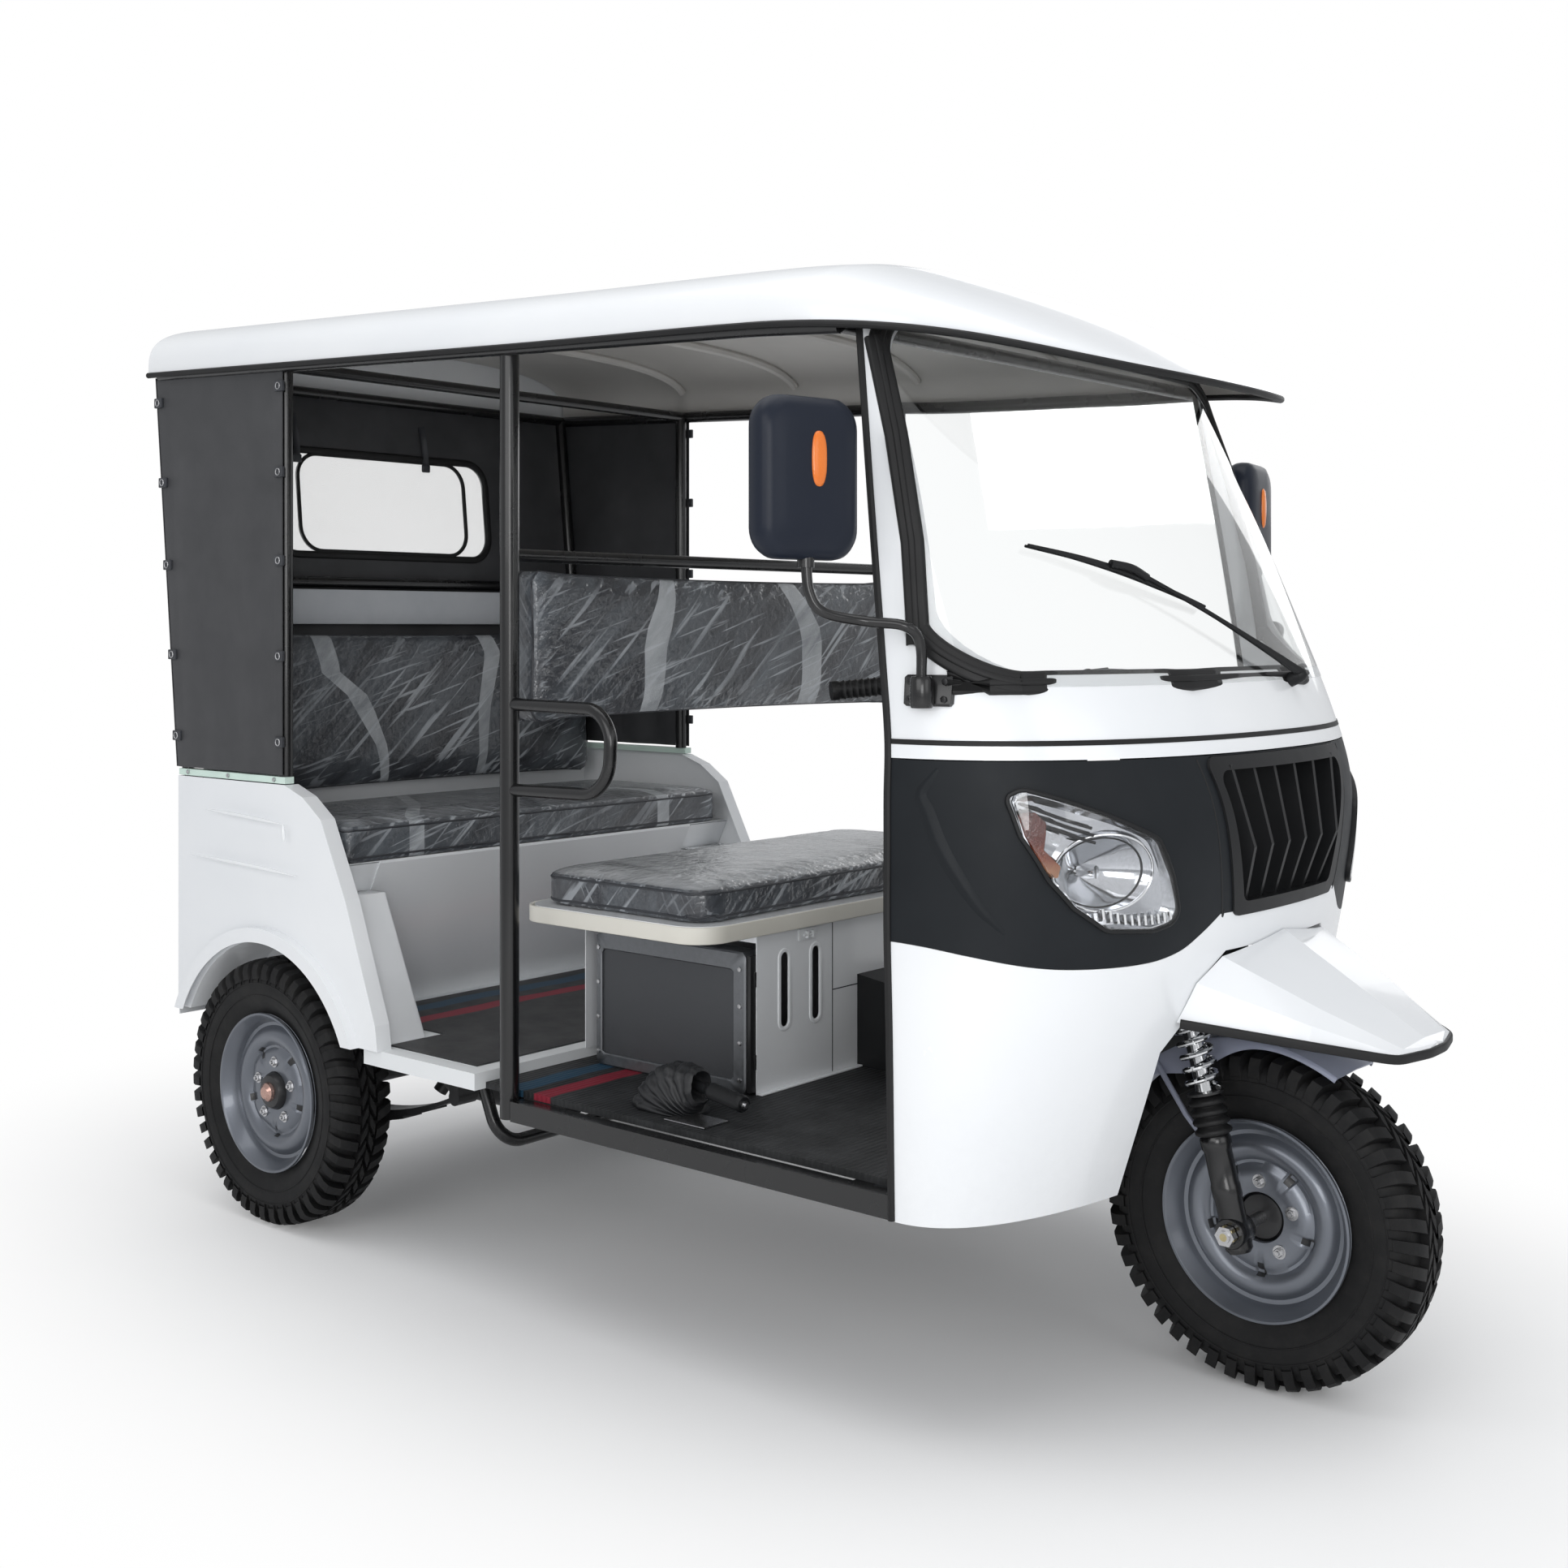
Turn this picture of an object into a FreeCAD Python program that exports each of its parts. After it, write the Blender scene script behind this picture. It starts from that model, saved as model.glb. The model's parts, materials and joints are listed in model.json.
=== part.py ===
"""Three-wheeled auto rickshaw: one steered front wheel, two driven rear wheels, an open cab.

Frame: +X forward, +Y left, +Z up, millimetres, origin on the ground under the middle of the
overall box. Lengths along the vehicle are counted from the front axle.
"""
import FreeCAD, Part
import Sketcher
import math
import os

from FreeCAD import Placement, Rotation, Vector

# Driving dimensions, millimetres unless the name says otherwise
SIZES = [
    # wheels
    ("front_axle_x", 1059), ("wheelbase", 1968), ("track", 1130),
    ("tyre_radius", 279), ("tyre_width", 128), ("tread_width", 96), ("bead_radius", 151),
    ("rim_radius", 167), ("rim_width", 114), ("rim_gauge", 4), ("rim_flare", 5), ("disc_radius", 92),
    ("hub_radius", 44), ("hub_width", 96), ("axle_radius", 10),
    # body outline
    ("body_half_width", 622), ("skin", 3), ("sheet_gauge", 2), ("panel_gap", 0.6),
    ("cowl_bottom_z", 351), ("cowl_top_z", 1766), ("cowl_back", 322),
    ("waist_z", 1085), ("strip_height", 25), ("band_top_z", 1058), ("band_side_z", 798),
    ("band_dip_z", 743), ("band_nose_z", 808), ("band_nose_half", 214),
    ("well_half_width", 285), ("well_top_z", 640),
    ("screen_foot_z", 1187), ("screen_head_z", 1752), ("screen_foot_half", 590),
    ("screen_head_half", 538), ("screen_corner", 96), ("seal_width", 34), ("seal_proud", 6),
    ("glass_gauge", 5), ("grille_top_z", 1034), ("grille_foot_z", 822),
    ("grille_top_half", 226), ("grille_foot_half", 160), ("grille_rim", 22),
    ("slat_gauge", 9), ("slat_depth", 42), ("slat_step_forward", 16),
    ("lamp_proud", 10), ("lamp_depth", 70), ("lamp_bowl_radius", 62), ("lamp_lip", 5),
    # front nose over the wheel
    ("nose_reach", 284), ("nose_tip_half", 92), ("nose_tip_z", 607), ("nose_lip_z", 640),
    ("nose_root_half", 268), ("nose_crown_z", 806),
    # roof
    ("tail_back", 2402), ("visor_reach", 62), ("roof_half_width", 636), ("roof_skin", 4),
    ("eave_rear_z", 1828), ("eave_post_z", 1774), ("eave_cowl_z", 1737), ("visor_tip_z", 1668),
    ("crown_rise", 138), ("visor_start", 600),
    # upper frame
    ("post_back", 1220), ("post_radius", 18), ("post_half_gauge", 603), ("curtain_post_back", 1922),
    ("rail_radius", 14), ("mat_border", 38), ("mat_gauge", 4),
    ("cross_bar_radius", 12.5), ("bar_z", 1394), ("belt_z", 937), ("hem_z", 950),
    ("handle_top_z", 1118), ("handle_foot_z", 959), ("handle_reach", 270), ("handle_radius", 12),
    # floor, chassis and tub
    ("floor_z", 400), ("floor_gauge", 12), ("passenger_floor_z", 420), ("tray_gauge", 18),
    ("sill_top_z", 388), ("sill_bottom_z", 351), ("sill_width", 30),
    ("rail_gauge", 430), ("rail_height", 50), ("rail_width", 40),
    ("tub_back", 2302), ("arch_gap", 39), ("arch_flare", 22), ("arch_band", 30),
    ("tub_foot_z", 420), ("house_inner_half", 478),
    ("bench_front", 1760), ("bench_z", 770), ("bench_foot_back", 1950), ("bench_cushion", 82),
    ("backrest_z", 866), ("backrest_top_z", 1262), ("pad_thickness", 74),
    ("driver_pad_foot_z", 1074), ("driver_pad_top_z", 1376),
    ("driver_pad_thickness", 62),
    # driver's seat over the engine
    ("seat_front", 830), ("seat_length", 478), ("seat_half_width", 500), ("seat_z", 702),
    ("seat_plate", 26), ("seat_cushion", 66), ("seat_corner", 70), ("hinge_radius", 7),
    ("hinge_pin_radius", 3.5), ("hinge_half_gauge", 230), ("hinge_length", 36),
    ("engine_length", 330), ("engine_width", 380), ("engine_height", 276),
    ("radiator_width", 392), ("radiator_height", 262), ("radiator_gauge", 46),
    ("radiator_gap", 20), ("box_front_back", 850), ("box_half_width", 330),
    # steering
    ("rake_degrees", 14), ("fork_offset", 30), ("leg_half_gauge", 122), ("slider_radius", 23),
    ("tube_radius", 15), ("boot_radius", 31), ("boot_foot_z", 428), ("boot_top_z", 492),
    ("coil_radius", 26), ("coil_wire", 5), ("coil_turns", 5),
    ("yoke_z", 634), ("yoke_gauge", 26), ("head_length", 150), ("head_radius", 30),
    ("stem_radius", 14), ("stem_top_z", 1128), ("bar_radius", 11), ("grip_radius", 17),
    ("grip_length", 125), ("grip_half_gauge", 350), ("grip_back", 567), ("grip_z", 1159),
    ("guard_gap", 22), ("guard_width", 150), ("drum_radius", 78),
    # mirrors
    ("mirror_width", 188), ("mirror_height", 246), ("mirror_depth", 54), ("mirror_half_gauge", 745),
    ("mirror_back", 392), ("mirror_z", 1484), ("mirror_toe_degrees", 11), ("stalk_radius", 8),
    # rear axle and springs
    ("axle_tube_radius", 32), ("differential_radius", 105), ("leaf_width", 50), ("leaf_gauge", 9),
    ("leaf_count", 4), ("leaf_half_length", 410), ("leaf_eye_z", 306), ("leaf_drop", 74), ("leaf_rear_share", 0.74),
    ("tail_lean", 90), ("curtain_gauge", 4), ("belt_rise", 10), ("guard_stay_radius", 5),
    ("shaft_radius", 24), ("muffler_radius", 54), ("muffler_length", 350), ("step_bar_radius", 13),
    ("step_bar_z", 222),
    ("clearance", 0.3),
]

doc = FreeCAD.newDocument("AutoRickshaw")
sheet = doc.addObject("Spreadsheet::Sheet", "Sizes")
for row, (alias, number) in enumerate(SIZES, start=1):
    sheet.set("A%d" % row, alias)
    sheet.set("B%d" % row, str(number))
    sheet.setAlias("B%d" % row, alias)
doc.recompute()


class Size:
    """A length that knows its number and the sheet expression that gives it."""

    def __init__(self, number, text):
        self.number = float(number)
        self.text = text

    def __float__(self):
        return self.number

    def __add__(self, other):
        other = as_size(other)
        return Size(self.number + other.number, "(%s + %s)" % (self.text, other.text))

    def __sub__(self, other):
        other = as_size(other)
        return Size(self.number - other.number, "(%s - %s)" % (self.text, other.text))

    def __mul__(self, other):
        other = as_size(other)
        return Size(self.number * other.number, "(%s * %s)" % (self.text, other.text))

    def __truediv__(self, other):
        other = as_size(other)
        return Size(self.number / other.number, "(%s / %s)" % (self.text, other.text))

    def __neg__(self):
        return Size(-self.number, "(0 - %s)" % self.text)

    __radd__ = __add__

    def __rsub__(self, other):
        return as_size(other) - self

    __rmul__ = __mul__


def as_size(value):
    """A plain number as a size, or the size itself."""
    if isinstance(value, Size):
        return value
    return Size(value, repr(float(value)))


class Sheet:
    """The sheet's cells by name."""

    def __getattr__(self, name):
        return Size(sheet.get(name), "Sizes.%s" % name)


S = Sheet()
FRONT = S.front_axle_x
REAR = FRONT - S.wheelbase
RAKE = math.radians(float(S.rake_degrees))
STEER_AXIS = Vector(-math.sin(RAKE), 0, math.cos(RAKE))
RAIL_TOP = S.floor_z - S.floor_gauge - S.clearance
RAIL_LOW = RAIL_TOP - S.rail_height
SEAT_REAR = S.seat_front + S.seat_length
POST_INSIDE = S.post_half_gauge - S.post_radius - S.clearance
nodes = []


def back(length):
    """Place along X of a point so far behind the front axle."""
    return FRONT - length


def keep(obj, name):
    """Name a finished sub-part and put it on the list of nodes."""
    obj.Label = name
    nodes.append(obj)
    return obj


def bind(obj, prop, size):
    """Set a property and bind it to the sheet."""
    size = as_size(size)
    obj.setExpression(prop, size.text)


def box(name, low, high):
    """A block between two corners whose coordinates are sizes."""
    block = doc.addObject("Part::Box", name)
    for prop, a, b in zip(("Length", "Width", "Height"), low, high):
        bind(block, prop, as_size(b) - as_size(a))
    for prop, a in zip("xyz", low):
        bind(block, "Placement.Base." + prop, a)
    return block


def rod(name, start, axis, radius, length):
    """A cylinder from a point whose coordinates are sizes, along a fixed direction."""
    bar = doc.addObject("Part::Cylinder", name)
    bar.Placement = Placement(Vector(0, 0, 0), Rotation(Vector(0, 0, 1), axis))
    bind(bar, "Radius", radius)
    bind(bar, "Height", length)
    for prop, a in zip("xyz", start):
        bind(bar, "Placement.Base." + prop, a)
    return bar


def fused(name, parts):
    """Several objects joined in one."""
    union = doc.addObject("Part::MultiFuse", name)
    union.Shapes = parts
    union.Refine = True
    return union


def cut(name, base, tool):
    """One object less another."""
    result = doc.addObject("Part::Cut", name)
    result.Base = base
    result.Tool = tool
    return result


def feature(name, shape):
    """A sub-part whose shape is made directly from the sheet's values."""
    obj = doc.addObject("Part::Feature", name)
    obj.Shape = shape
    return obj


def origin_plane(body, role):
    """One of a body's own origin planes."""
    return next(o for o in body.Origin.OriginFeatures if o.Role == role)


def outline(body, role, points, name):
    """A closed sketch through points, each coordinate bound to the sheet."""
    sketch = body.newObject("Sketcher::SketchObject", name)
    sketch.AttachmentSupport = (origin_plane(body, role), [""])
    sketch.MapMode = "FlatFace"
    ends = [(as_size(a), as_size(b)) for a, b in points]
    count = len(ends)
    for i in range(count):
        a = Vector(float(ends[i][0]), float(ends[i][1]), 0)
        b = Vector(float(ends[(i + 1) % count][0]), float(ends[(i + 1) % count][1]), 0)
        sketch.addGeometry(Part.LineSegment(a, b), False)
    for i in range(count):
        sketch.addConstraint(Sketcher.Constraint("Coincident", i, 2, (i + 1) % count, 1))
    for i, (a, b) in enumerate(ends):
        for kind, size in (("DistanceX", a), ("DistanceY", b)):
            index = sketch.addConstraint(Sketcher.Constraint(kind, -1, 1, i, 1, float(size)))
            sketch.setExpression("Constraints[%d]" % index, size.text)
    return sketch


def pad_body(name, role, points, length, offset, corner=None):
    """A plate: a bound outline padded both ways from a plane moved by an offset."""
    body = doc.addObject("PartDesign::Body", name)
    sketch = outline(body, role, points, name + "_outline")
    pad = body.newObject("PartDesign::Pad", name + "_pad")
    pad.Profile = sketch
    pad.Midplane = True
    bind(pad, "Length", length)
    move = {"XY_Plane": "z", "XZ_Plane": "y", "YZ_Plane": "x"}[role]
    bind(body, "Placement.Base." + move, offset)
    if corner is not None:
        doc.recompute()
        along = {"XY_Plane": Vector(0, 0, 1), "XZ_Plane": Vector(0, 1, 0), "YZ_Plane": Vector(1, 0, 0)}[role]
        edges = ["Edge%d" % (i + 1) for i, e in enumerate(pad.Shape.Edges)
                 if abs(abs(e.tangentAt(e.FirstParameter).dot(along)) - 1) < 1e-6]
        fillet = body.newObject("PartDesign::Fillet", name + "_corners")
        fillet.Base = (pad, edges)
        bind(fillet, "Radius", corner)
    return body


def revolved(name, points, centre):
    """A turned piece: a bound half section in (axial, radial) sizes, turned about a line along Y."""
    body = doc.addObject("PartDesign::Body", name)
    sketch = outline(body, "XY_Plane", [(radial, axial) for axial, radial in points], name + "_section")
    turn = body.newObject("PartDesign::Revolution", name + "_turn")
    turn.Profile = sketch
    turn.ReferenceAxis = (sketch, ["V_Axis"])
    turn.Angle = 360
    for prop, a in zip("xyz", centre):
        bind(body, "Placement.Base." + prop, a)
    return body


def run(points, radius):
    """A round bar along straight runs joined by arcs; each bend is as wide as its runs allow."""
    points = [Vector(*[float(c) for c in p]) for p in points]
    edges = []
    last = points[0]
    for before, corner, after in zip(points, points[1:], points[2:]):
        a = (before - corner).normalize()
        b = (after - corner).normalize()
        half = math.acos(max(-1.0, min(1.0, a.dot(b)))) / 2
        reach = 0.42 * min((before - corner).Length, (after - corner).Length)
        start = corner + a * reach
        end = corner + b * reach
        bend = reach * math.tan(half)
        middle = corner + (a + b).normalize() * (bend / math.sin(half) - bend)
        edges.append(Part.LineSegment(last, start).toShape())
        edges.append(Part.Arc(start, middle, end).toShape())
        last = end
    edges.append(Part.LineSegment(last, points[-1]).toShape())
    path = Part.Wire(edges)
    first = (points[1] - points[0]).normalize()
    section = Part.Wire(Part.Circle(points[0], first, float(radius)).toShape())
    pipe = Part.BRepOffsetAPI.MakePipeShell(path)
    pipe.setFrenetMode(False)
    pipe.add(section)
    pipe.build()
    pipe.makeSolid()
    return pipe.shape()


def bar(start, end, radius):
    """A straight round bar between two points."""
    a = Vector(*[float(c) for c in start])
    b = Vector(*[float(c) for c in end])
    return Part.makeCylinder(float(radius), (b - a).Length, a, b - a)


def block(low, high):
    """A plain block between two corners."""
    low = [float(c) for c in low]
    high = [float(c) for c in high]
    return Part.makeBox(high[0] - low[0], high[1] - low[1], high[2] - low[2], Vector(*low))


def mirrored(shape):
    """The same shape on the other side of the vehicle."""
    return shape.mirror(Vector(0, 0, 0), Vector(0, 1, 0))


def both_sides(shape):
    """A shape and its mirror image as one compound of two solids."""
    return Part.makeCompound([shape, mirrored(shape)])


def loft(wires, ruled=False):
    """A solid through a row of closed wires, turned the right way out."""
    solid = Part.makeLoft(wires, True, ruled)
    if solid.Volume < 0:
        solid.reverse()
    return solid


def polygon(points):
    """A closed wire through points."""
    points = [Vector(*[float(c) for c in p]) for p in points]
    return Part.makePolygon(points + [points[0]])


def prism(points, direction):
    """A solid swept from a closed outline along a direction."""
    return Part.Face(polygon(points)).extrude(direction)


# Cowl: each level is a superellipse in plan between the two door edges
# height share of the cowl, door edge behind the axle, front reach, half width, fullness
COWL_LEVELS = [
    (0.000, 322, -110, 622, 2.40),
    (0.204, 324, -10, 625, 2.30),
    (0.317, 328, 35, 625, 2.20),
    (0.402, 330, 50, 622, 2.20),
    (0.459, 333, 46, 618, 2.20),
    (0.519, 336, 15, 612, 2.25),
    (0.600, 350, -40, 606, 2.30),
    (0.777, 385, -185, 590, 2.50),
    (1.000, 435, -403, 560, 3.00),
]
COWL_LEVEL_BACK = COWL_LEVELS[0][1]
COWL_LEVEL_HALF = COWL_LEVELS[0][3]
SECTION_STEPS = 6


def level_curve(z, rear, reach, half, power, inset):
    """One level of the cowl: a smooth curve round the front from door edge to door edge."""
    points = []
    depth = reach - rear - inset
    width = half - inset
    for i in range(-SECTION_STEPS, SECTION_STEPS + 1):
        angle = i * math.pi / 2 / SECTION_STEPS
        x = rear + depth * abs(math.cos(angle)) ** (2 / power)
        y = width * math.copysign(abs(math.sin(angle)) ** (2 / power), angle)
        points.append(Vector(x, y, z))
    curve = Part.BSplineCurve()
    curve.interpolate(points)
    return curve


def cowl_levels(inset):
    """The cowl's level curves, moved in by an inset."""
    bottom = float(S.cowl_bottom_z)
    rise = float(S.cowl_top_z) - bottom
    wider = float(S.body_half_width) - COWL_LEVEL_HALF
    further = float(S.cowl_back) - COWL_LEVEL_BACK
    return [level_curve(bottom + rise * share, float(FRONT) - rear - further, float(FRONT) + reach,
                        half + wider, power, inset)
            for share, rear, reach, half, power in COWL_LEVELS]


def cowl_solid(inset=0.0):
    """The cowl's form as a solid, closed by a straight line between the door edges."""
    wires = []
    for curve in cowl_levels(inset):
        wires.append(Part.Wire([curve.toShape(), Part.makeLine(curve.EndPoint, curve.StartPoint)]))
    return loft(wires)


def cowl_skin(outer_inset, inner_inset):
    """A skin between two insets of the cowl's form, open at the doors."""
    wires = []
    for outer, inner in zip(cowl_levels(outer_inset), cowl_levels(inner_inset)):
        back_inner = inner.copy()
        back_inner.reverse()
        wires.append(Part.Wire([outer.toShape(), Part.makeLine(outer.EndPoint, inner.EndPoint),
                                back_inner.toShape(), Part.makeLine(inner.StartPoint, outer.StartPoint)]))
    return loft(wires)


COWL_SHELL = cowl_skin(0, float(S.skin))
X_FAR = float(FRONT) + 600
X_NEAR = float(FRONT) - 900


def slab(z_low, z_high):
    """All space between two heights, over the cowl."""
    return block((X_NEAR, -900, z_low), (X_FAR, 900, z_high))


def front_prism(points):
    """A prism along X from an outline in (y, z), through the cowl's front."""
    start = float(FRONT) - 420
    return prism([(start, y, z) for y, z in points], Vector(X_FAR - start, 0, 0))


def rounded_wire(points, radius, x):
    """A polygon in (y, z) at one place along X, with an arc at each corner."""
    edges = []
    count = len(points)
    corners = [Vector(x, y, z) for y, z in points]
    cuts = []
    for i in range(count):
        corner = corners[i]
        a = corners[i - 1] - corner
        b = corners[(i + 1) % count] - corner
        half = a.getAngle(b) / 2
        reach = min(radius / math.tan(half), 0.45 * a.Length, 0.45 * b.Length)
        bend = reach * math.tan(half)
        start = corner + a.normalize() * reach
        end = corner + b.normalize() * reach
        middle = corner + (a + b).normalize() * (bend / math.sin(half) - bend)
        cuts.append((start, middle, end))
    for i in range(count):
        start, middle, end = cuts[i]
        edges.append(Part.Arc(start, middle, end).toShape())
        edges.append(Part.LineSegment(end, cuts[(i + 1) % count][0]).toShape())
    return Part.Wire(edges)


def rounded_prism(points, radius):
    """A prism along X from an outline in (y, z) with rounded corners, through the cowl's front."""
    start = float(FRONT) - 420
    return Part.Face(rounded_wire(points, radius, start)).extrude(Vector(X_FAR - start, 0, 0))


def screen_outline(grow):
    """The windscreen's outline in (y, z), grown or shrunk, as seen from the apex."""
    foot = float(S.screen_foot_z) - grow
    head = float(S.screen_head_z) + grow
    low = float(S.screen_foot_half) + grow
    high = float(S.screen_head_half) + grow
    return [(-low, foot), (low, foot), (high, head), (-high, head)]


def project_screen(grow):
    """The windscreen's cutting body."""
    return rounded_prism(screen_outline(grow), float(S.screen_corner) + grow)


def band_outline():
    """The region of the black band in (y, z), with its swooping lower edge."""
    half = float(S.body_half_width) + 40
    side, dip = float(S.band_side_z), float(S.band_dip_z)
    nose_z, nose_half = float(S.band_nose_z), float(S.band_nose_half)
    lower = [(half, side + 12), (float(S.body_half_width) - 28, side - 30),
             (half - 155, dip + 3), (half - 285, dip), (half - 360, dip + 12),
             (nose_half + 42, nose_z - 28), (nose_half, nose_z)]
    left = lower
    right = [(-y, z) for y, z in reversed(lower)]
    top = float(S.band_top_z)
    return left + right + [(-half, top), (half, top)]


LAMP_OUTLINE = [(566, 1026), (509, 1003), (437, 972), (366, 938), (338, 880), (314, 808),
                (366, 796), (443, 801), (492, 838), (524, 881), (553, 948)]


def lamp_outline(side, grow):
    """The headlamp's outline in (y, z), as a long leaf that sweeps back at its top."""
    shift_z = float(S.band_top_z) - 1058
    mean_y = sum(y for y, z in LAMP_OUTLINE) / len(LAMP_OUTLINE)
    mean_z = sum(z for y, z in LAMP_OUTLINE) / len(LAMP_OUTLINE)
    points = []
    for y, z in LAMP_OUTLINE:
        away = Vector(y - mean_y, z - mean_z, 0)
        away = away * ((away.Length + grow) / away.Length)
        points.append((side * (mean_y + away.x), mean_z + away.y + shift_z))
    return points


def lamp_prism(side, grow):
    """The headlamp's cutting body, with softened corners."""
    return rounded_prism(lamp_outline(side, grow), 30)


def grille_prism(grow):
    """The grille's cutting body, with small corners."""
    return rounded_prism(grille_outline(grow), 18)


def grille_outline(grow):
    """The grille's opening in (y, z)."""
    top, foot = float(S.grille_top_z) + grow, float(S.grille_foot_z) - grow
    wide, narrow = float(S.grille_top_half) + grow, float(S.grille_foot_half) + grow
    return [(-narrow, foot), (narrow, foot), (wide, top), (-wide, top)]


def make_upper_cowl():
    gap = float(S.panel_gap)
    shell = COWL_SHELL.common(slab(float(S.waist_z) + gap, 2000))
    shell = shell.cut(project_screen(0))
    strip_top = float(S.waist_z) - gap
    strip = COWL_SHELL.common(slab(strip_top - float(S.strip_height) + gap, strip_top))
    keep(feature("UpperCowl", Part.makeCompound([shell, strip])), "upper_cowl")


def make_cowl_band():
    gap = float(S.panel_gap)
    shell = COWL_SHELL.common(front_prism(band_outline()))
    for side in (-1, 1):
        shell = shell.cut(lamp_prism(side, float(S.clearance)))
    shell = shell.cut(grille_prism(float(S.grille_rim) + gap))
    keep(feature("CowlBand", shell), "cowl_band")


def make_leg_shield():
    gap = float(S.panel_gap)
    lower = COWL_SHELL.common(slab(float(S.cowl_bottom_z), float(S.band_top_z)))
    grown = [(y, z - gap if z < float(S.band_top_z) else z + 10) for y, z in band_outline()]
    lower = lower.cut(front_prism(grown))
    well = float(S.well_half_width)
    top = float(S.well_top_z)
    root = float(S.nose_root_half) - 36
    opening = [(-well, 300), (well, 300), (well, top - 50), (root, top + 10), (root, top + 60),
               (root - 52, top + 104), (52 - root, top + 104), (-root, top + 60), (-root, top + 10),
               (-well, top - 50)]
    lower = lower.cut(front_prism(opening)).cut(grille_prism(float(S.grille_rim) + gap))
    keep(feature("LegShield", lower), "leg_shield")


def make_windscreen():
    """Curved glass in a rubber seal that stands proud of the cowl's opening."""
    gap = float(S.clearance)
    width = float(S.seal_width) / 2
    glass = cowl_skin(0, float(S.glass_gauge)).common(project_screen(-width - gap))
    keep(feature("WindscreenGlass", glass), "windscreen_glass")
    seal = cowl_skin(-float(S.seal_proud), float(S.skin) + float(S.seal_proud))
    seal = seal.common(project_screen(-gap)).cut(project_screen(-width))
    keep(feature("WindscreenSeal", seal), "windscreen_seal")


def make_headlamps():
    """Leaf-shaped clear lenses, each over a housing with a round bowl."""
    proud = float(S.lamp_proud)
    lens_back = float(S.skin) - proud
    edge = lamp_prism(1, -float(S.clearance))
    lens = cowl_skin(-proud, lens_back).common(edge)
    housing = cowl_skin(lens_back + float(S.clearance), float(S.lamp_depth)).common(edge)
    bowl = Part.makeSphere(float(S.lamp_bowl_radius), Vector(float(FRONT) + 6, 398, 862))
    room = block((float(FRONT) - 290, 0, 0), (X_FAR, 900, 2000))
    housing = max(housing.common(room).cut(bowl).Solids, key=lambda solid: solid.Volume)
    keep(feature("HeadlampLenses", both_sides(lens)), "headlamp_lenses")
    keep(feature("HeadlampHousings", both_sides(housing)), "headlamp_housings")


def make_grille():
    """Six upright slats, each kinked to a forward ridge, in a tapered frame."""
    rim = float(S.grille_rim)
    frame = cowl_skin(-4, 14).common(grille_prism(rim).cut(grille_prism(0)))
    top, foot = float(S.grille_top_z) + 8, float(S.grille_foot_z) - 8
    middle = foot + 0.42 * (top - foot)
    gauge = float(S.slat_gauge)
    depth = float(S.slat_depth)
    face = float(FRONT) + 36
    ridge = face + float(S.slat_step_forward)
    profile = [(face - 10, top), (ridge, middle), (face - 14, foot),
               (face - 14 - depth, foot), (face - depth, middle), (face - 10 - depth, top)]
    solids = [frame]
    count = 6
    for i in range(count):
        share = (i - (count - 1) / 2) / (count / 2)
        spread_top = share * float(S.grille_top_half)
        spread_foot = share * float(S.grille_foot_half)
        for half in (profile[:2] + profile[4:], profile[1:5]):
            ring = [(x, spread_foot + (spread_top - spread_foot) * (z - foot) / (top - foot) - gauge / 2, z)
                    for x, z in half]
            far = [Vector(x, y + gauge, z) for x, y, z in ring]
            near = [Vector(x, y, z) for x, y, z in ring]
            solids.append(loft([polygon(near), polygon(far)], True))
    whole = solids[0]
    for extra in solids[1:]:
        whole = whole.fuse(extra)
    whole = whole.common(grille_prism(rim))
    keep(feature("Grille", whole.removeSplitter()), "grille")


def nose_section(x, half, crown, lip, inset):
    """A faceted hood section at one place along X."""
    half = half - inset
    crown = crown - inset
    shoulder = crown - 0.24 * (crown - lip)
    cheek = crown - 0.56 * (crown - lip)
    points = [(x, -half, lip), (x, -0.945 * half, cheek), (x, -0.76 * half, shoulder), (x, 0, crown),
              (x, 0.76 * half, shoulder), (x, 0.945 * half, cheek), (x, half, lip)]
    return polygon(points)


def make_front_nose():
    """Hood over the front wheel, creased along its length, trimmed to the cowl."""
    axle = float(FRONT)
    reach = float(S.nose_reach)
    root, tip = float(S.nose_root_half), float(S.nose_tip_half)
    crown, tip_z, lip = float(S.nose_crown_z), float(S.nose_tip_z), float(S.nose_lip_z)
    shares = [(-0.20, 1.04, 1.02, 1.0), (0.55, 0.56, 0.36, 0.45), (0.93, 0.12, 0.02, 0.0), (1.0, -0.35, -0.06, 0.0)]

    def hood(inset, deeper):
        sections = []
        for place, width, rise, edge in shares:
            lip_here = tip_z - 12 + (lip - tip_z + 12) * edge - deeper
            sections.append(nose_section(axle + reach * place, tip + (root - tip) * width,
                                         tip_z + (crown - tip_z) * max(rise, 0) + 4 * min(rise, 0),
                                         lip_here, inset))
        return loft(sections, True)

    shell = hood(0, 0).cut(hood(float(S.skin), 12))
    shell = shell.cut(cowl_solid(-float(S.clearance))).cut(block((axle - 200, -900, 0), (axle - 90, 900, 2000)))
    keep(feature("FrontNose", shell), "front_nose")


def roof_half(x):
    """Half width of the roof in plan: straight sides and a rounded visor."""
    start = float(FRONT) - float(S.visor_start)
    tip = float(FRONT) - float(S.visor_reach)
    share = max(0.0, (x - start) / (tip - start))
    return float(S.roof_half_width) * (1 - share ** 2.1) ** (1 / 2.1)


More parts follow.
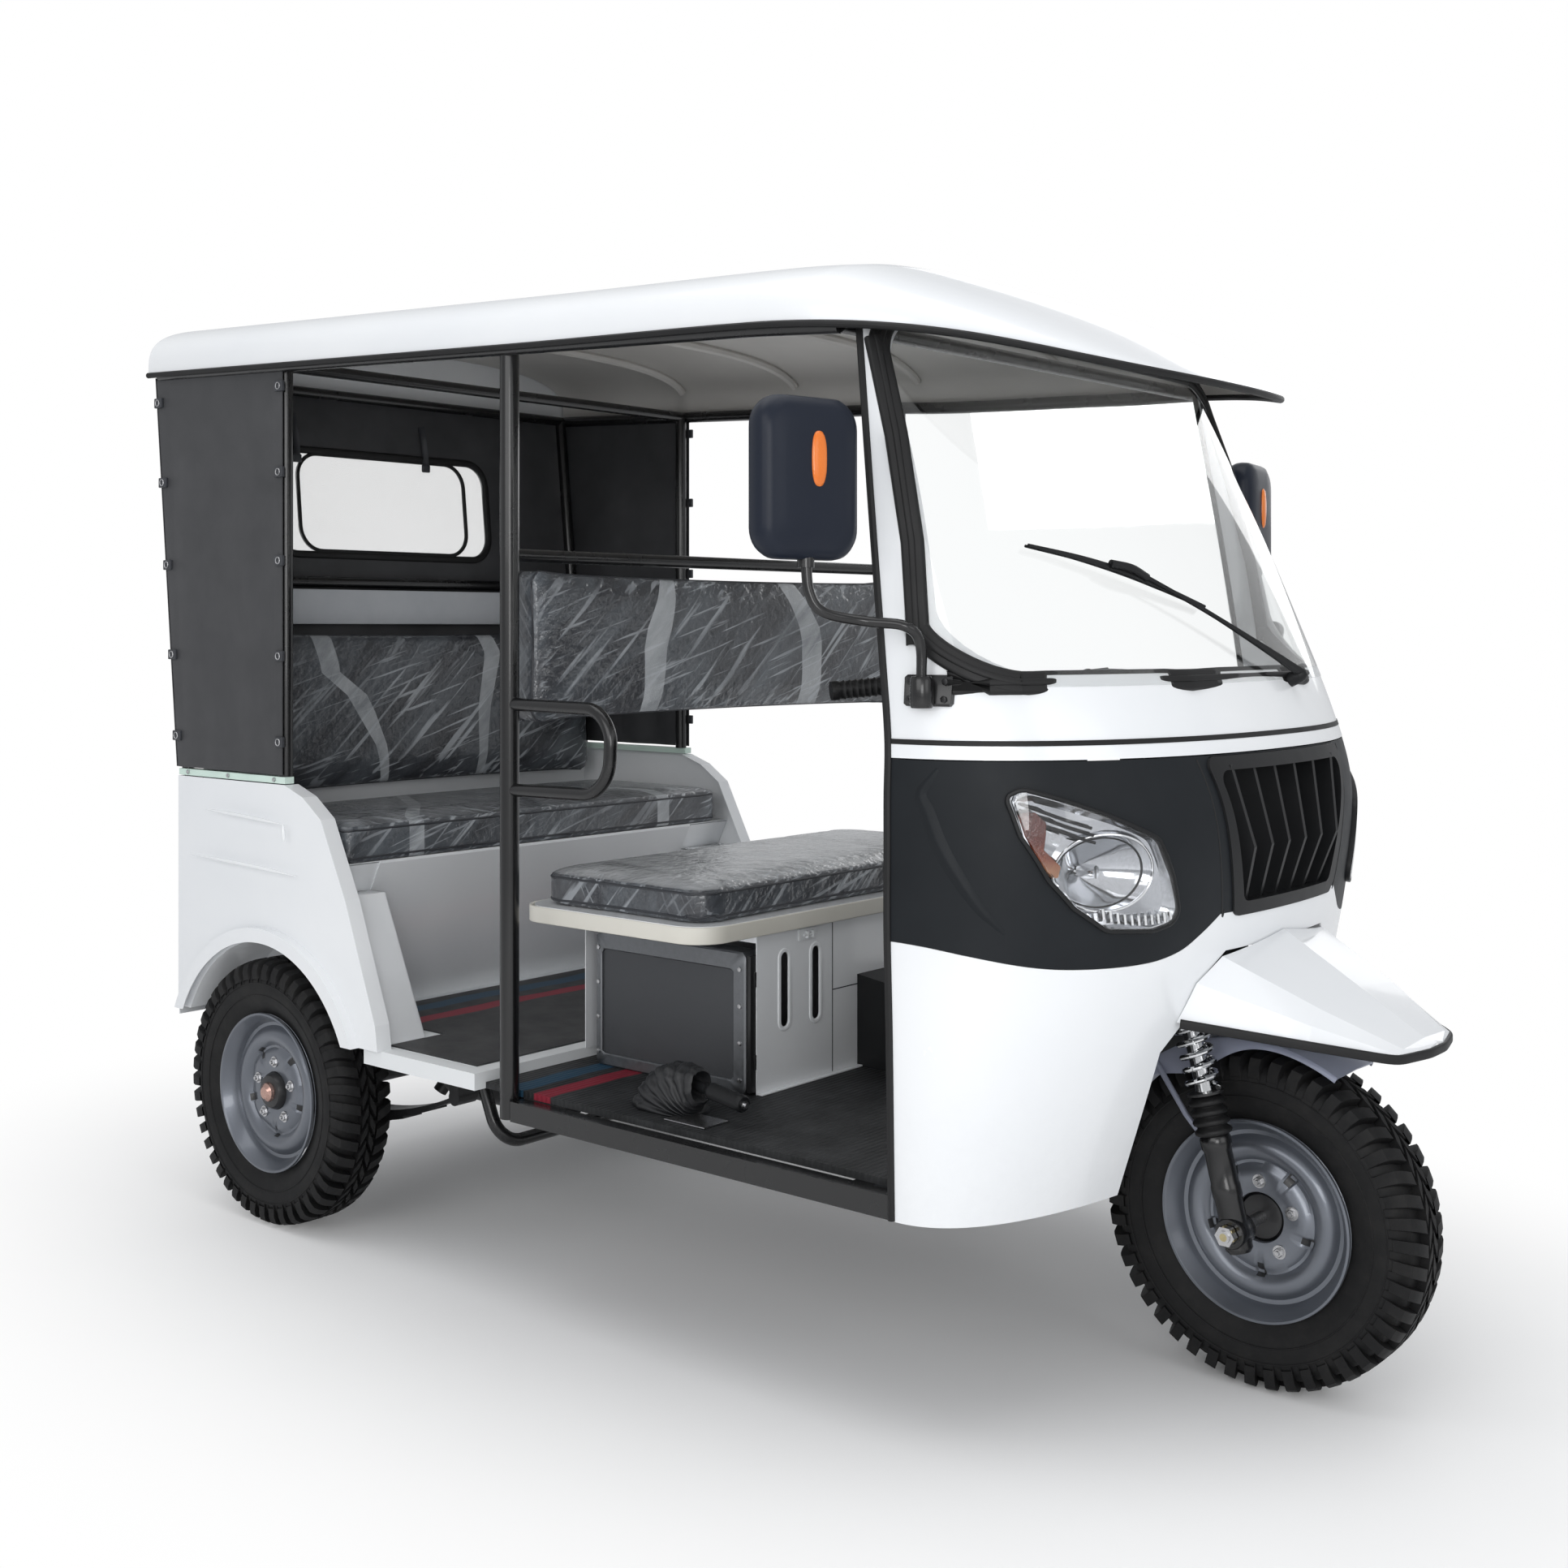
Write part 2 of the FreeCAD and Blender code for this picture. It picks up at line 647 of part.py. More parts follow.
def roof_eave(x):
    """Height of the eave along the roof: it falls from tail to visor."""
    stations = [(float(FRONT) - float(S.tail_back), float(S.eave_rear_z)),
                (float(FRONT) - float(S.post_back), float(S.eave_post_z)),
                (float(FRONT) - 420, float(S.eave_cowl_z)),
                (float(FRONT) - float(S.visor_reach), float(S.visor_tip_z))]
    for (xa, za), (xb, zb) in zip(stations, stations[1:]):
        if x <= xb:
            return za + (zb - za) * (x - xa) / (xb - xa)
    return stations[-1][1]


def roof_section(x, drop, fullness, extra_down):
    """One cross-section of the roof, closed along the eave."""
    eave = roof_eave(x)
    rise_share = min(1.0, (float(FRONT) - float(S.visor_reach) - x) / 420) ** 0.85
    rise = max(6.0, float(S.crown_rise) * rise_share) - drop
    half = roof_half(x) - drop
    points = []
    for i in range(-SECTION_STEPS, SECTION_STEPS + 1):
        angle = i * math.pi / 2 / SECTION_STEPS
        y = half * math.copysign(abs(math.sin(angle)) ** (2 / fullness), angle)
        points.append(Vector(x, y, eave + rise * math.cos(angle) ** (2 / fullness)))
    curve = Part.BSplineCurve()
    curve.interpolate(points)
    if extra_down:
        low_left = Vector(x, points[-1].y, eave - extra_down)
        low_right = Vector(x, points[0].y, eave - extra_down)
        edges = [curve.toShape(), Part.LineSegment(points[-1], low_left).toShape(),
                 Part.LineSegment(low_left, low_right).toShape(),
                 Part.LineSegment(low_right, points[0]).toShape()]
    else:
        edges = [curve.toShape(), Part.LineSegment(points[-1], points[0]).toShape()]
    return Part.Wire(edges)


def roof_places():
    """Places of the roof's cross-sections along X, with the fullness of each, closer in the visor."""
    rear = float(FRONT) - float(S.tail_back)
    start = float(FRONT) - float(S.visor_start)
    length = float(S.visor_start) - float(S.visor_reach)
    places = [(rear, 3.6), (rear + 0.36 * (start - rear), 3.6), (rear + 0.7 * (start - rear), 3.5), (start, 3.3)]
    for degrees, fullness in ((20, 3.2), (38, 3.0), (54, 2.8), (68, 2.5), (80, 2.2)):
        places.append((start + length * math.sin(math.radians(degrees)), fullness))
    return places


def make_roof():
    """Moulded roof with a rounded visor over the windscreen, open below."""
    skin = float(S.roof_skin)
    places = roof_places()
    outer = loft([roof_section(x, 0, n, 0) for x, n in places], True)
    inner_places = [(places[0][0] + skin, 3.6)] + places[1:-1] + [(places[-1][0] - 2 * skin, 2.2)]
    inner = loft([roof_section(x, skin, n, 30) for x, n in inner_places], True)
    shell = outer.cut(inner)
    solid = max(shell.Solids, key=lambda s: s.Volume)
    keep(feature("RoofShell", solid), "roof_shell")


def roof_chord(x):
    """Half width of the ruled roof at a place, straight between its cross-sections."""
    places = [place for place, fullness in roof_places()]
    for rear, front in zip(places, places[1:]):
        if x <= front:
            share = (x - rear) / (front - rear)
            return roof_half(rear) + (roof_half(front) - roof_half(rear)) * share
    return roof_half(x)


def roof_rail_point(x):
    """A point of the roof rail's centre line: against the roof's inner side, just over its eave."""
    inset = float(S.roof_skin) + float(S.rail_radius) + 2 * float(S.clearance)
    return (x, roof_chord(x) - inset, roof_eave(x) + 2)


def tail_post_x(z):
    """Place along X of the leaning tail posts at a height."""
    head = float(back(S.tail_back)) + 22
    top = roof_eave(head)
    return head + float(S.tail_lean) * (top - z) / (top - float(S.belt_z))


def make_upper_frame():
    """Black tube frame: door posts, roof rails, cross bars and the curtain posts."""
    half = float(S.post_half_gauge)
    post_x = float(back(S.post_back))
    curtain_x = float(back(S.curtain_post_back))
    tail_x = float(back(S.tail_back)) + 22
    cowl_x = float(back(S.cowl_back)) - 127
    foot = float(S.belt_z) + float(S.belt_rise) + float(S.clearance)
    side = bar((post_x, half, S.sill_bottom_z), (post_x, half, roof_eave(post_x)), S.post_radius)
    rail = run([roof_rail_point(x) for x in (cowl_x, cowl_x - 150, post_x, tail_x)], S.rail_radius)
    curtain_post = bar((curtain_x, half, foot), (curtain_x, half, roof_eave(curtain_x)), S.rail_radius)
    tail_post = bar((tail_post_x(foot - 12), half, foot - 12), (tail_x, half, roof_eave(tail_x)), S.rail_radius)
    tail_post = tail_post.cut(block((tail_x - 300, half - 60, foot - 60), (tail_x + 300, half + 60, foot)))
    side = side.fuse([rail, curtain_post, tail_post])
    whole = side.fuse(mirrored(side))
    for x in (post_x, tail_x, curtain_x, cowl_x):
        end = roof_rail_point(x)
        whole = whole.fuse(bar((x, -end[1], end[2]), end, S.cross_bar_radius))
    for x, z in ((post_x, float(S.bar_z)), (tail_post_x(1370), 1370)):
        whole = whole.fuse(bar((x, -half, z), (x, half, z), S.cross_bar_radius))
    top, foot = float(S.handle_top_z), float(S.handle_foot_z)
    ahead = post_x + float(S.handle_reach)
    for sign in (-1, 1):
        handle = run([(post_x, sign * half, top), (ahead, sign * half, top - 4),
                      (ahead - 8, sign * half, foot + 4), (post_x, sign * half, foot)], S.handle_radius)
        whole = whole.fuse(handle)
    keep(feature("UpperFrame", whole), "upper_frame")


def head_tubes(radius):
    """The two tubes that rise from the frame's front to the steering head."""
    front = float(back(S.cowl_back)) - 60
    top = steer_point(float(S.yoke_z) + float(S.yoke_gauge)) + STEER_AXIS * (float(S.head_length) * 0.7)
    return [run([(front - 20, sign * 150, float(RAIL_TOP) - 18), (front - 10, sign * 130, 560),
                 (top.x - 30, sign * 20, top.z)], radius) for sign in (-1, 1)]


def make_chassis():
    """Ladder frame with outriggers to the door posts, upswept to the steering head."""
    top = RAIL_TOP
    low = RAIL_LOW
    tail = float(back(S.tub_back)) + float(S.sheet_gauge) + float(S.clearance)
    front = float(back(S.cowl_back)) - 60
    shapes = []
    for sign in (-1, 1):
        y = sign * float(S.rail_gauge)
        half = float(S.rail_width) / 2
        shapes.append(block((tail, y - half, low), (front, y + half, top)))
    outer = float(S.body_half_width)
    sill_inside = outer - float(S.sill_width)
    cross = [(tail + 20, S.rail_gauge), (float(back(S.bench_foot_back)) + 100, S.rail_gauge),
             (float(back(S.post_back)), POST_INSIDE), (front - 20, sill_inside)]
    for x, across in cross:
        shapes.append(block((x - 20, -float(across), float(low) + 10), (x + 20, across, top)))
    foot = steer_point(float(S.yoke_z) + float(S.yoke_gauge))
    head = Part.makeCylinder(float(S.head_radius), float(S.head_length), foot + STEER_AXIS * 2, STEER_AXIS)
    bore = Part.makeCylinder(float(S.stem_radius) + float(S.clearance), float(S.head_length) + 40,
                             foot - STEER_AXIS * 10, STEER_AXIS)
    shapes.extend([head, bar((front - 10, -140, 540), (front - 10, 140, 540), 14)])
    shapes.extend(head_tubes(17))
    start, end = float(back(S.post_back)) + 22, float(back(S.cowl_back)) - float(S.clearance)
    sill = block((start, sill_inside, S.sill_bottom_z), (end, outer - 1, S.sill_top_z))
    whole = shapes[0].fuse(shapes[1:] + [sill, mirrored(sill)]).cut(bore)
    keep(feature("ChassisFrame", whole.removeSplitter()), "chassis_frame")


def steer_point(z, ahead=0.0):
    """A point on the steering axis at a height, moved ahead square to it."""
    offset = float(S.fork_offset)
    x = float(FRONT) - offset / math.cos(RAKE) - (z - float(S.tyre_radius)) * math.tan(RAKE)
    return Vector(x, 0, z) + Vector(math.cos(RAKE), 0, math.sin(RAKE)) * ahead


def leg_point(z, y):
    """A point on a fork leg's centre line at a height."""
    x = float(FRONT) - (z - float(S.tyre_radius)) * math.tan(RAKE)
    return Vector(x, y, z)


def make_floors():
    """Driver's floor, open under the engine, and the passengers' tray, narrower between the wheel houses."""
    half = POST_INSIDE
    base = box("DriverFloorSheet", (back(SEAT_REAR) + S.clearance, -half, S.floor_z - S.floor_gauge),
               (back(S.cowl_back) - 12, half, S.floor_z))
    low, high = engine_corners()
    room = box("EngineRoom", (low[0] - 12, low[1] - 12, S.floor_z - S.floor_gauge - 1),
               (high[0] + 12, high[1] + 12, S.floor_z + 1))
    holes = feature("HeadTubeHoles", Part.makeCompound(head_tubes(17 + float(S.clearance))))
    keep(cut("DriverFloor", cut("OpenFloor", base, room), holes), "driver_floor")
    rear_edge = back(S.bench_foot_back)
    front_edge = back(SEAT_REAR) - S.clearance
    step = REAR + S.tyre_radius + S.arch_gap + 4
    wide = S.body_half_width - 10
    narrow = S.house_inner_half - 2
    points = [(rear_edge, -narrow), (step, -narrow), (step, -wide), (front_edge, -wide),
              (front_edge, wide), (step, wide), (step, narrow), (rear_edge, narrow)]
    thick = S.passenger_floor_z - RAIL_TOP - S.clearance
    tray = pad_body("PassengerTray", "XY_Plane", points, thick, S.passenger_floor_z - thick / 2)
    mat_rear = rear_edge + S.mat_border
    mat_front = front_edge - S.mat_border
    mat_step = step + S.mat_border
    mat_narrow = narrow - S.mat_border
    mat_wide = wide - S.mat_border
    outline_points = [(mat_rear, -mat_narrow), (mat_step, -mat_narrow), (mat_step, -mat_wide),
                      (mat_front, -mat_wide), (mat_front, mat_wide), (mat_step, mat_wide),
                      (mat_step, mat_narrow), (mat_rear, mat_narrow)]
    mat = pad_body("PassengerMat", "XY_Plane", outline_points, S.mat_gauge,
                   S.passenger_floor_z + S.mat_gauge / 2)
    keep(fused("PassengerFloor", [tray, mat]), "passenger_floor")


def ring_sector(centre, inner, outer, start, end, y_low, y_high):
    """Part of a ring about a line along Y, between two angles in degrees from +X towards +Z."""

    def at(radius, degrees):
        angle = math.radians(degrees)
        return Vector(centre[0] + radius * math.cos(angle), y_low, centre[1] + radius * math.sin(angle))

    middle = (start + end) / 2
    edges = [Part.Arc(at(outer, start), at(outer, middle), at(outer, end)).toShape(),
             Part.makeLine(at(outer, end), at(inner, end)),
             Part.Arc(at(inner, end), at(inner, middle), at(inner, start)).toShape(),
             Part.makeLine(at(inner, start), at(outer, start))]
    return Part.Face(Part.Wire(edges)).extrude(Vector(0, y_high - y_low, 0))


def arc_points(centre, radius, start, end, count):
    """Points on an arc in (x, z), angles in degrees."""
    result = []
    for i in range(count + 1):
        angle = math.radians(start + (end - start) * i / count)
        result.append((centre[0] + radius * math.cos(angle), centre[1] + radius * math.sin(angle)))
    return result


def make_tub_sides():
    """Rear side panel with a turned front edge, a flared arch and the wheel house behind it."""
    wheel = (float(REAR), float(S.tyre_radius))
    arch = float(S.tyre_radius) + float(S.arch_gap)
    low = float(S.tub_foot_z)
    angle = math.degrees(math.asin((low - wheel[1]) / arch))
    outer = float(S.body_half_width)
    gauge = float(S.sheet_gauge)
    tail = float(back(S.tub_back))
    edge = [(tail, low), (tail, float(S.belt_z) - 6), (float(back(as_size(1902))), float(S.belt_z) - 6),
            (float(back(as_size(1838))), float(S.belt_z) - 28), (float(back(as_size(1776))), 867),
            (float(back(as_size(1694))), 710), (float(back(as_size(1597))), 470),
            (float(back(as_size(1590))), low)]
    arch_line = arc_points(wheel, arch, angle, 180 - angle, 1)
    wire = Part.Wire([Part.makePolygon([Vector(x, 0, z) for x, z in [arch_line[1]] + edge + [arch_line[0]]]),
                      Part.Arc(Vector(arch_line[0][0], 0, arch_line[0][1]),
                               Vector(wheel[0], 0, wheel[1] + arch),
                               Vector(arch_line[1][0], 0, arch_line[1][1])).toShape()])
    panel = Part.Face(wire).extrude(Vector(0, gauge, 0))
    panel.translate(Vector(0, outer - gauge, 0))
    lip = [(x, z) for x, z in edge[2:]]
    flange = Part.Wire(Part.makePolygon([Vector(x, 0, z) for x, z in lip]
                                        + [Vector(x - 3, 0, z) for x, z in reversed(lip)]
                                        + [Vector(lip[0][0], 0, lip[0][1])]))
    turned = Part.Face(flange).extrude(Vector(0, -34, 0))
    turned.translate(Vector(0, outer - gauge / 2, 0))
    ring_out = Part.makeCylinder(arch + gauge, outer - float(S.house_inner_half),
                                 Vector(wheel[0], float(S.house_inner_half), wheel[1]), Vector(0, 1, 0))
    ring_in = Part.makeCylinder(arch, 400, Vector(wheel[0], float(S.house_inner_half) + gauge, wheel[1]),
                                Vector(0, 1, 0))
    flare = Part.makeCylinder(arch + float(S.arch_band), float(S.arch_flare),
                              Vector(wheel[0], outer - gauge, wheel[1]), Vector(0, 1, 0))
    flare_in = Part.makeCone(arch + float(S.arch_band) - gauge, arch + 2, float(S.arch_flare) - gauge,
                             Vector(wheel[0], outer - gauge, wheel[1]), Vector(0, 1, 0))
    band = flare.cut(flare_in)
    above = block((wheel[0] - 500, 0, low), (wheel[0] + 500, 900, 1500))
    house = ring_out.cut(ring_in).common(above)
    band = band.cut(ring_in).common(above)
    solid = panel.fuse([turned, house, band]).removeSplitter()
    keep(feature("TubSides", both_sides(solid)), "tub_sides")


def make_rear_body():
    make_tub_sides()
    inner = S.body_half_width - S.sheet_gauge - 0.3
    tail = back(S.tub_back)
    keep(box("TailPanel", (tail, -inner, S.tub_foot_z - 20), (tail + S.sheet_gauge, inner, S.belt_z - 6)),
         "tail_panel")
    top, foot = S.bench_z, S.passenger_floor_z
    front = back(S.bench_front)
    foot_x = back(S.bench_foot_back)
    gauge = S.sheet_gauge
    riser = pad_body("BenchRiser", "XZ_Plane",
                     [(foot_x - gauge, foot), (foot_x, foot), (front - 12, top - gauge * 3), (front - 12, top),
                      (tail + 30, top), (tail + 30, top - gauge), (front - 14 - gauge, top - gauge)],
                     (S.house_inner_half - 2) * 2, 0)
    shelf_low = top - gauge
    shelf = box("BenchShelf", (tail + 30, 4 - inner, shelf_low), (front - 12, inner - 4, top))
    keep(fused("BenchBase", [riser, shelf]), "bench_base")


def cushion(name, low, high, corner):
    """A soft block with rounded upright corners."""
    size_x, size_y = as_size(high[0]) - low[0], as_size(high[1]) - low[1]
    points = [(low[0], low[1]), (high[0], low[1]), (high[0], high[1]), (low[0], high[1])]
    middle = (as_size(low[2]) + high[2]) / 2
    return pad_body(name, "XY_Plane", points, as_size(high[2]) - low[2], middle, corner)


def make_soft_parts():
    gap = S.clearance
    half = S.body_half_width - 38
    tail = back(S.tub_back) + S.sheet_gauge + gap
    front = back(S.bench_front)
    keep(cushion("BenchCushion", (tail + 90, -half, S.bench_z + gap), (front + 8, half, S.bench_z + S.bench_cushion),
                 30), "bench_cushion")
    keep(box("BenchBackrest", (tail, -half, S.backrest_z), (tail + S.pad_thickness, half, S.backrest_top_z)),
         "bench_backrest")
    post = back(S.post_back)
    keep(box("DriverBackrest", (post - S.driver_pad_thickness / 2, -POST_INSIDE, S.driver_pad_foot_z),
             (post + S.driver_pad_thickness / 2, POST_INSIDE, S.driver_pad_top_z)), "driver_backrest")


def make_curtains():
    """Weather curtains on the rear sides and across the back, with a clear window."""
    gap = float(S.clearance)
    half = float(S.post_half_gauge) + float(S.rail_radius) + gap
    gauge = float(S.curtain_gauge)
    behind = float(S.rail_radius) + gap * 2
    front = float(back(S.curtain_post_back)) + float(S.rail_radius)
    low = float(S.hem_z)

    def edge_x(z):
        """Inner side of the rear curtain at a height."""
        return tail_post_x(z) - behind

    under = float(S.rail_radius) + gap
    head = float(back(S.tail_back)) + 22
    high = roof_eave(head) - under
    points = [(edge_x(low), low), (front, low), (front, roof_eave(front) - under), (edge_x(high), high)]
    side = Part.Face(polygon([(x, half, z) for x, z in points])).extrude(Vector(0, gauge, 0))
    keep(feature("SideCurtains", both_sides(side)), "side_curtains")
    inner = half + gauge
    leaning = [(edge_x(low), low), (edge_x(high), high), (edge_x(high) - gauge, high), (edge_x(low) - gauge, low)]
    back_sheet = Part.Face(polygon([(x, -inner, z) for x, z in leaning])).extrude(Vector(0, 2 * inner, 0))
    tail_x = float(back(S.tail_back))
    hole = Part.Face(rounded_wire([(-330, 1436), (330, 1436), (330, 1690), (-330, 1690)], 60, tail_x - 50))
    hole = hole.extrude(Vector(300, 0, 0))
    keep(feature("RearCurtain", back_sheet.cut(hole)), "rear_curtain")
    keep(feature("RearWindow", back_sheet.common(hole.copy())), "rear_window")


def make_belt_rails():
    """Pale rails along the top of the tub that the curtains hook on."""
    outer = S.body_half_width - 2
    tail, front = back(S.tub_back), back(as_size(1902))
    rails = [box("BeltLeft", (tail, outer - 22, S.belt_z - 4), (front, outer, S.belt_z + S.belt_rise)),
             box("BeltRight", (tail, -outer, S.belt_z - 4), (front, 22 - outer, S.belt_z + S.belt_rise))]
    group = doc.addObject("Part::Compound", "BeltRails")
    group.Links = rails
    keep(group, "belt_rails")


def engine_corners():
    """Lowest and highest corners of the engine block."""
    middle = back(S.seat_front + S.seat_length / 2) + 10
    half_length = S.engine_length / 2
    foot = S.floor_z - S.floor_gauge
    return ((middle - half_length, 40 - S.engine_width / 2, foot),
            (middle + half_length, S.engine_width / 2 + 40, foot + S.engine_height))


def hinge_places():
    """Sides and distances from the middle of the seat's hinge knuckles, from inside outwards."""
    knuckle = float(S.hinge_length)
    inner = float(S.hinge_half_gauge)
    return [(sign, inner, knuckle) for sign in (-1, 1)]


def hinge_barrel(sign, inner, outer, radius):
    """A cylinder on the seat's hinge line between two distances from the middle."""
    x, z = float(back(SEAT_REAR)), float(S.seat_z)
    return bar((x, sign * inner, z), (x, sign * outer, z), radius)


def make_engine_bay():
    """Engine block under the driver's seat, its radiator on the right and the white box round it."""
    low, high = engine_corners()
    keep(box("EngineBlock", low, high), "engine_block")
    middle = (low[0] + high[0]) / 2
    side = 2 - S.box_half_width - S.radiator_gap
    radiator_low = S.floor_z + S.clearance
    keep(box("Radiator", (middle - S.radiator_width / 2, side, radiator_low),
             (middle + S.radiator_width / 2, side + S.radiator_gauge, radiator_low + S.radiator_height)),
         "radiator")
    gauge = float(S.sheet_gauge)
    front = float(back(S.box_front_back))
    rear = float(back(SEAT_REAR)) + 4
    low, high = float(S.floor_z), float(S.seat_z) - 1
    half = float(S.box_half_width)
    panel = block((front - gauge, -half, low), (front, half, high))
    for y in (-half + 66, -half + 158):
        slot = block((front - 50, y, high - 190), (front + 50, y + 26, high - 46))
        panel = panel.cut(slot)
    left = block((rear, half - gauge, low), (front, half, high))
    ledge = block((rear, -half, high - 22), (front, -half + gauge, high))
    rear_panel = block((rear, -half, low + 20), (rear + gauge, half, high))
    tops = block((rear, -half - 110, high - 4), (front, -half + 30, high)).fuse(
        block((rear, half - 30, high - 4), (front, half + 110, high)))
    whole = panel.fuse([left, ledge, rear_panel, tops])
    radius, pin, gap = float(S.hinge_radius), float(S.hinge_pin_radius), float(S.clearance)
    for sign, inner, length in hinge_places():
        whole = whole.fuse(hinge_barrel(sign, inner + length + gap, inner + 2 * length, radius))
        whole = whole.cut(hinge_barrel(sign, inner - gap, inner + length + gap, radius + gap))
        whole = whole.cut(hinge_barrel(sign, inner, inner + 3 * length, pin + gap))
    keep(feature("EngineBox", whole.removeSplitter()), "engine_box")
    tunnel = prism([(front + 0.5, -30, low + 0.5), (front + 190, -30, low + 0.5), (front + 150, -30, low + 160),
                    (front + 0.5, -30, low + 180)], Vector(0, 190, 0))
    keep(feature("TunnelBox", tunnel), "tunnel_box")


def make_seat():
    """Driver's seat: a white plate hinged at its rear edge with a cushion on it."""
    rear, front = back(SEAT_REAR), back(S.seat_front)
    half = S.seat_half_width
    low = S.seat_z
    plate = cushion("SeatPlateSheet", (rear, -half, low), (front, half, low + S.seat_plate), S.seat_corner)
    gap = float(S.clearance)
    parts = []
    for sign, inner, length in hinge_places():
        fixed = hinge_barrel(sign, inner + length, inner + 2 * length + gap, float(S.hinge_radius) + gap)
        plate = cut("HingeSocket", plate, feature("FixedKnuckle", fixed))
        parts.append(feature("HingeBarrel", hinge_barrel(sign, inner, inner + length, float(S.hinge_radius))))
        parts.append(feature("HingePin", hinge_barrel(sign, inner, inner + 2 * length, float(S.hinge_pin_radius))))
    keep(fused("SeatPlate", [plate] + parts), "seat_plate")
    top = low + S.seat_plate
    keep(cushion("SeatCushion", (rear + 14, 14 - half, top + S.clearance),
                 (front - 14, half - 14, top + S.seat_cushion), S.seat_corner - 14), "seat_cushion")


def make_dashboard():
    """Shelf and drop panel behind the windscreen, notched for the steering column."""
    inside = cowl_solid(float(S.skin) + float(S.clearance))
    edge = float(back(as_size(318)))
    top = float(S.stem_top_z) - 26
    shelf = block((edge, -700, top - 8), (X_FAR, 700, top))
    drop = block((edge, -700, top - 190), (edge + 6, 700, top))
    whole = shelf.fuse(drop).common(inside)
    column = steer_point(top)
    whole = whole.cut(block((edge - 50, -62, 700), (column.x + 66, 62, 1300)))
    keep(feature("Dashboard", whole), "dashboard")


def make_firewall():
    """Front wall of the driver's floor, between the leg shields and behind the wheel."""
    x = float(back(S.cowl_back)) - 10
    half = float(S.body_half_width) - 14
    wall = block((x - 2, -half, S.floor_z + S.clearance), (x, half, 700))
    keep(feature("Firewall", wall.cut(head_tubes(17 + float(S.clearance)))), "firewall")


def turned_tyre(name, centre):
    """A tyre as a turned section: tread, shoulders, bulged side walls and beads."""
    half = S.tyre_width / 2
    tread = S.tread_width / 2
    top = S.tyre_radius
    bead = S.bead_radius + S.clearance
    foot = S.rim_width / 2 - S.rim_flare - S.rim_gauge - 1.5
    flank = foot + S.rim_flare
    above = S.rim_radius + 2
    points = [(-tread, top), (tread, top), (half - 2, top - 20), (half, top - 52), (flank, above),
              (foot, bead), (-foot, bead), (-flank, above), (-half, top - 52), (2 - half, top - 20)]
    return keep(revolved(name, points, centre), name)


def turned_rim(name, centre, sign):
    """A pressed disc wheel: barrel with flanges, dished disc and hub with a bore for its axle."""
    half = S.rim_width / 2
    gauge = S.rim_gauge
    seat = S.bead_radius
    out = as_size(sign)
    bore = S.axle_radius + S.clearance
    inner_seat = seat - gauge
    hub_end = S.hub_width / 2
    flange = half - gauge
    foot = flange - S.rim_flare
    toe = half - S.rim_flare
    barrel = [(out * flange, S.rim_radius), (out * foot, seat), (out * (-foot), seat),
              (out * (-flange), S.rim_radius), (out * (-half), S.rim_radius), (out * (-toe), inner_seat),
              (out * 8, inner_seat), (out * 20, S.disc_radius - 3), (out * 24, S.hub_radius),
              (out * (-hub_end), S.hub_radius), (out * (-hub_end), bore), (out * hub_end, bore),
              (out * hub_end, S.hub_radius - 6), (out * 30, S.hub_radius), (out * 26, S.disc_radius),
              (out * 14, inner_seat), (out * toe, inner_seat), (out * half, S.rim_radius)]
    return keep(revolved(name, barrel, centre), name)


def make_wheels():
    z = S.tyre_radius
    half = S.track / 2
    for name, x, y, sign in (("front", FRONT, as_size(0), -1), ("rear_right", REAR, -half, -1),
                             ("rear_left", REAR, half, 1)):
        turned_tyre("tyre_" + name, (x, y, z))
        turned_rim("rim_" + name, (x, y, z), sign)


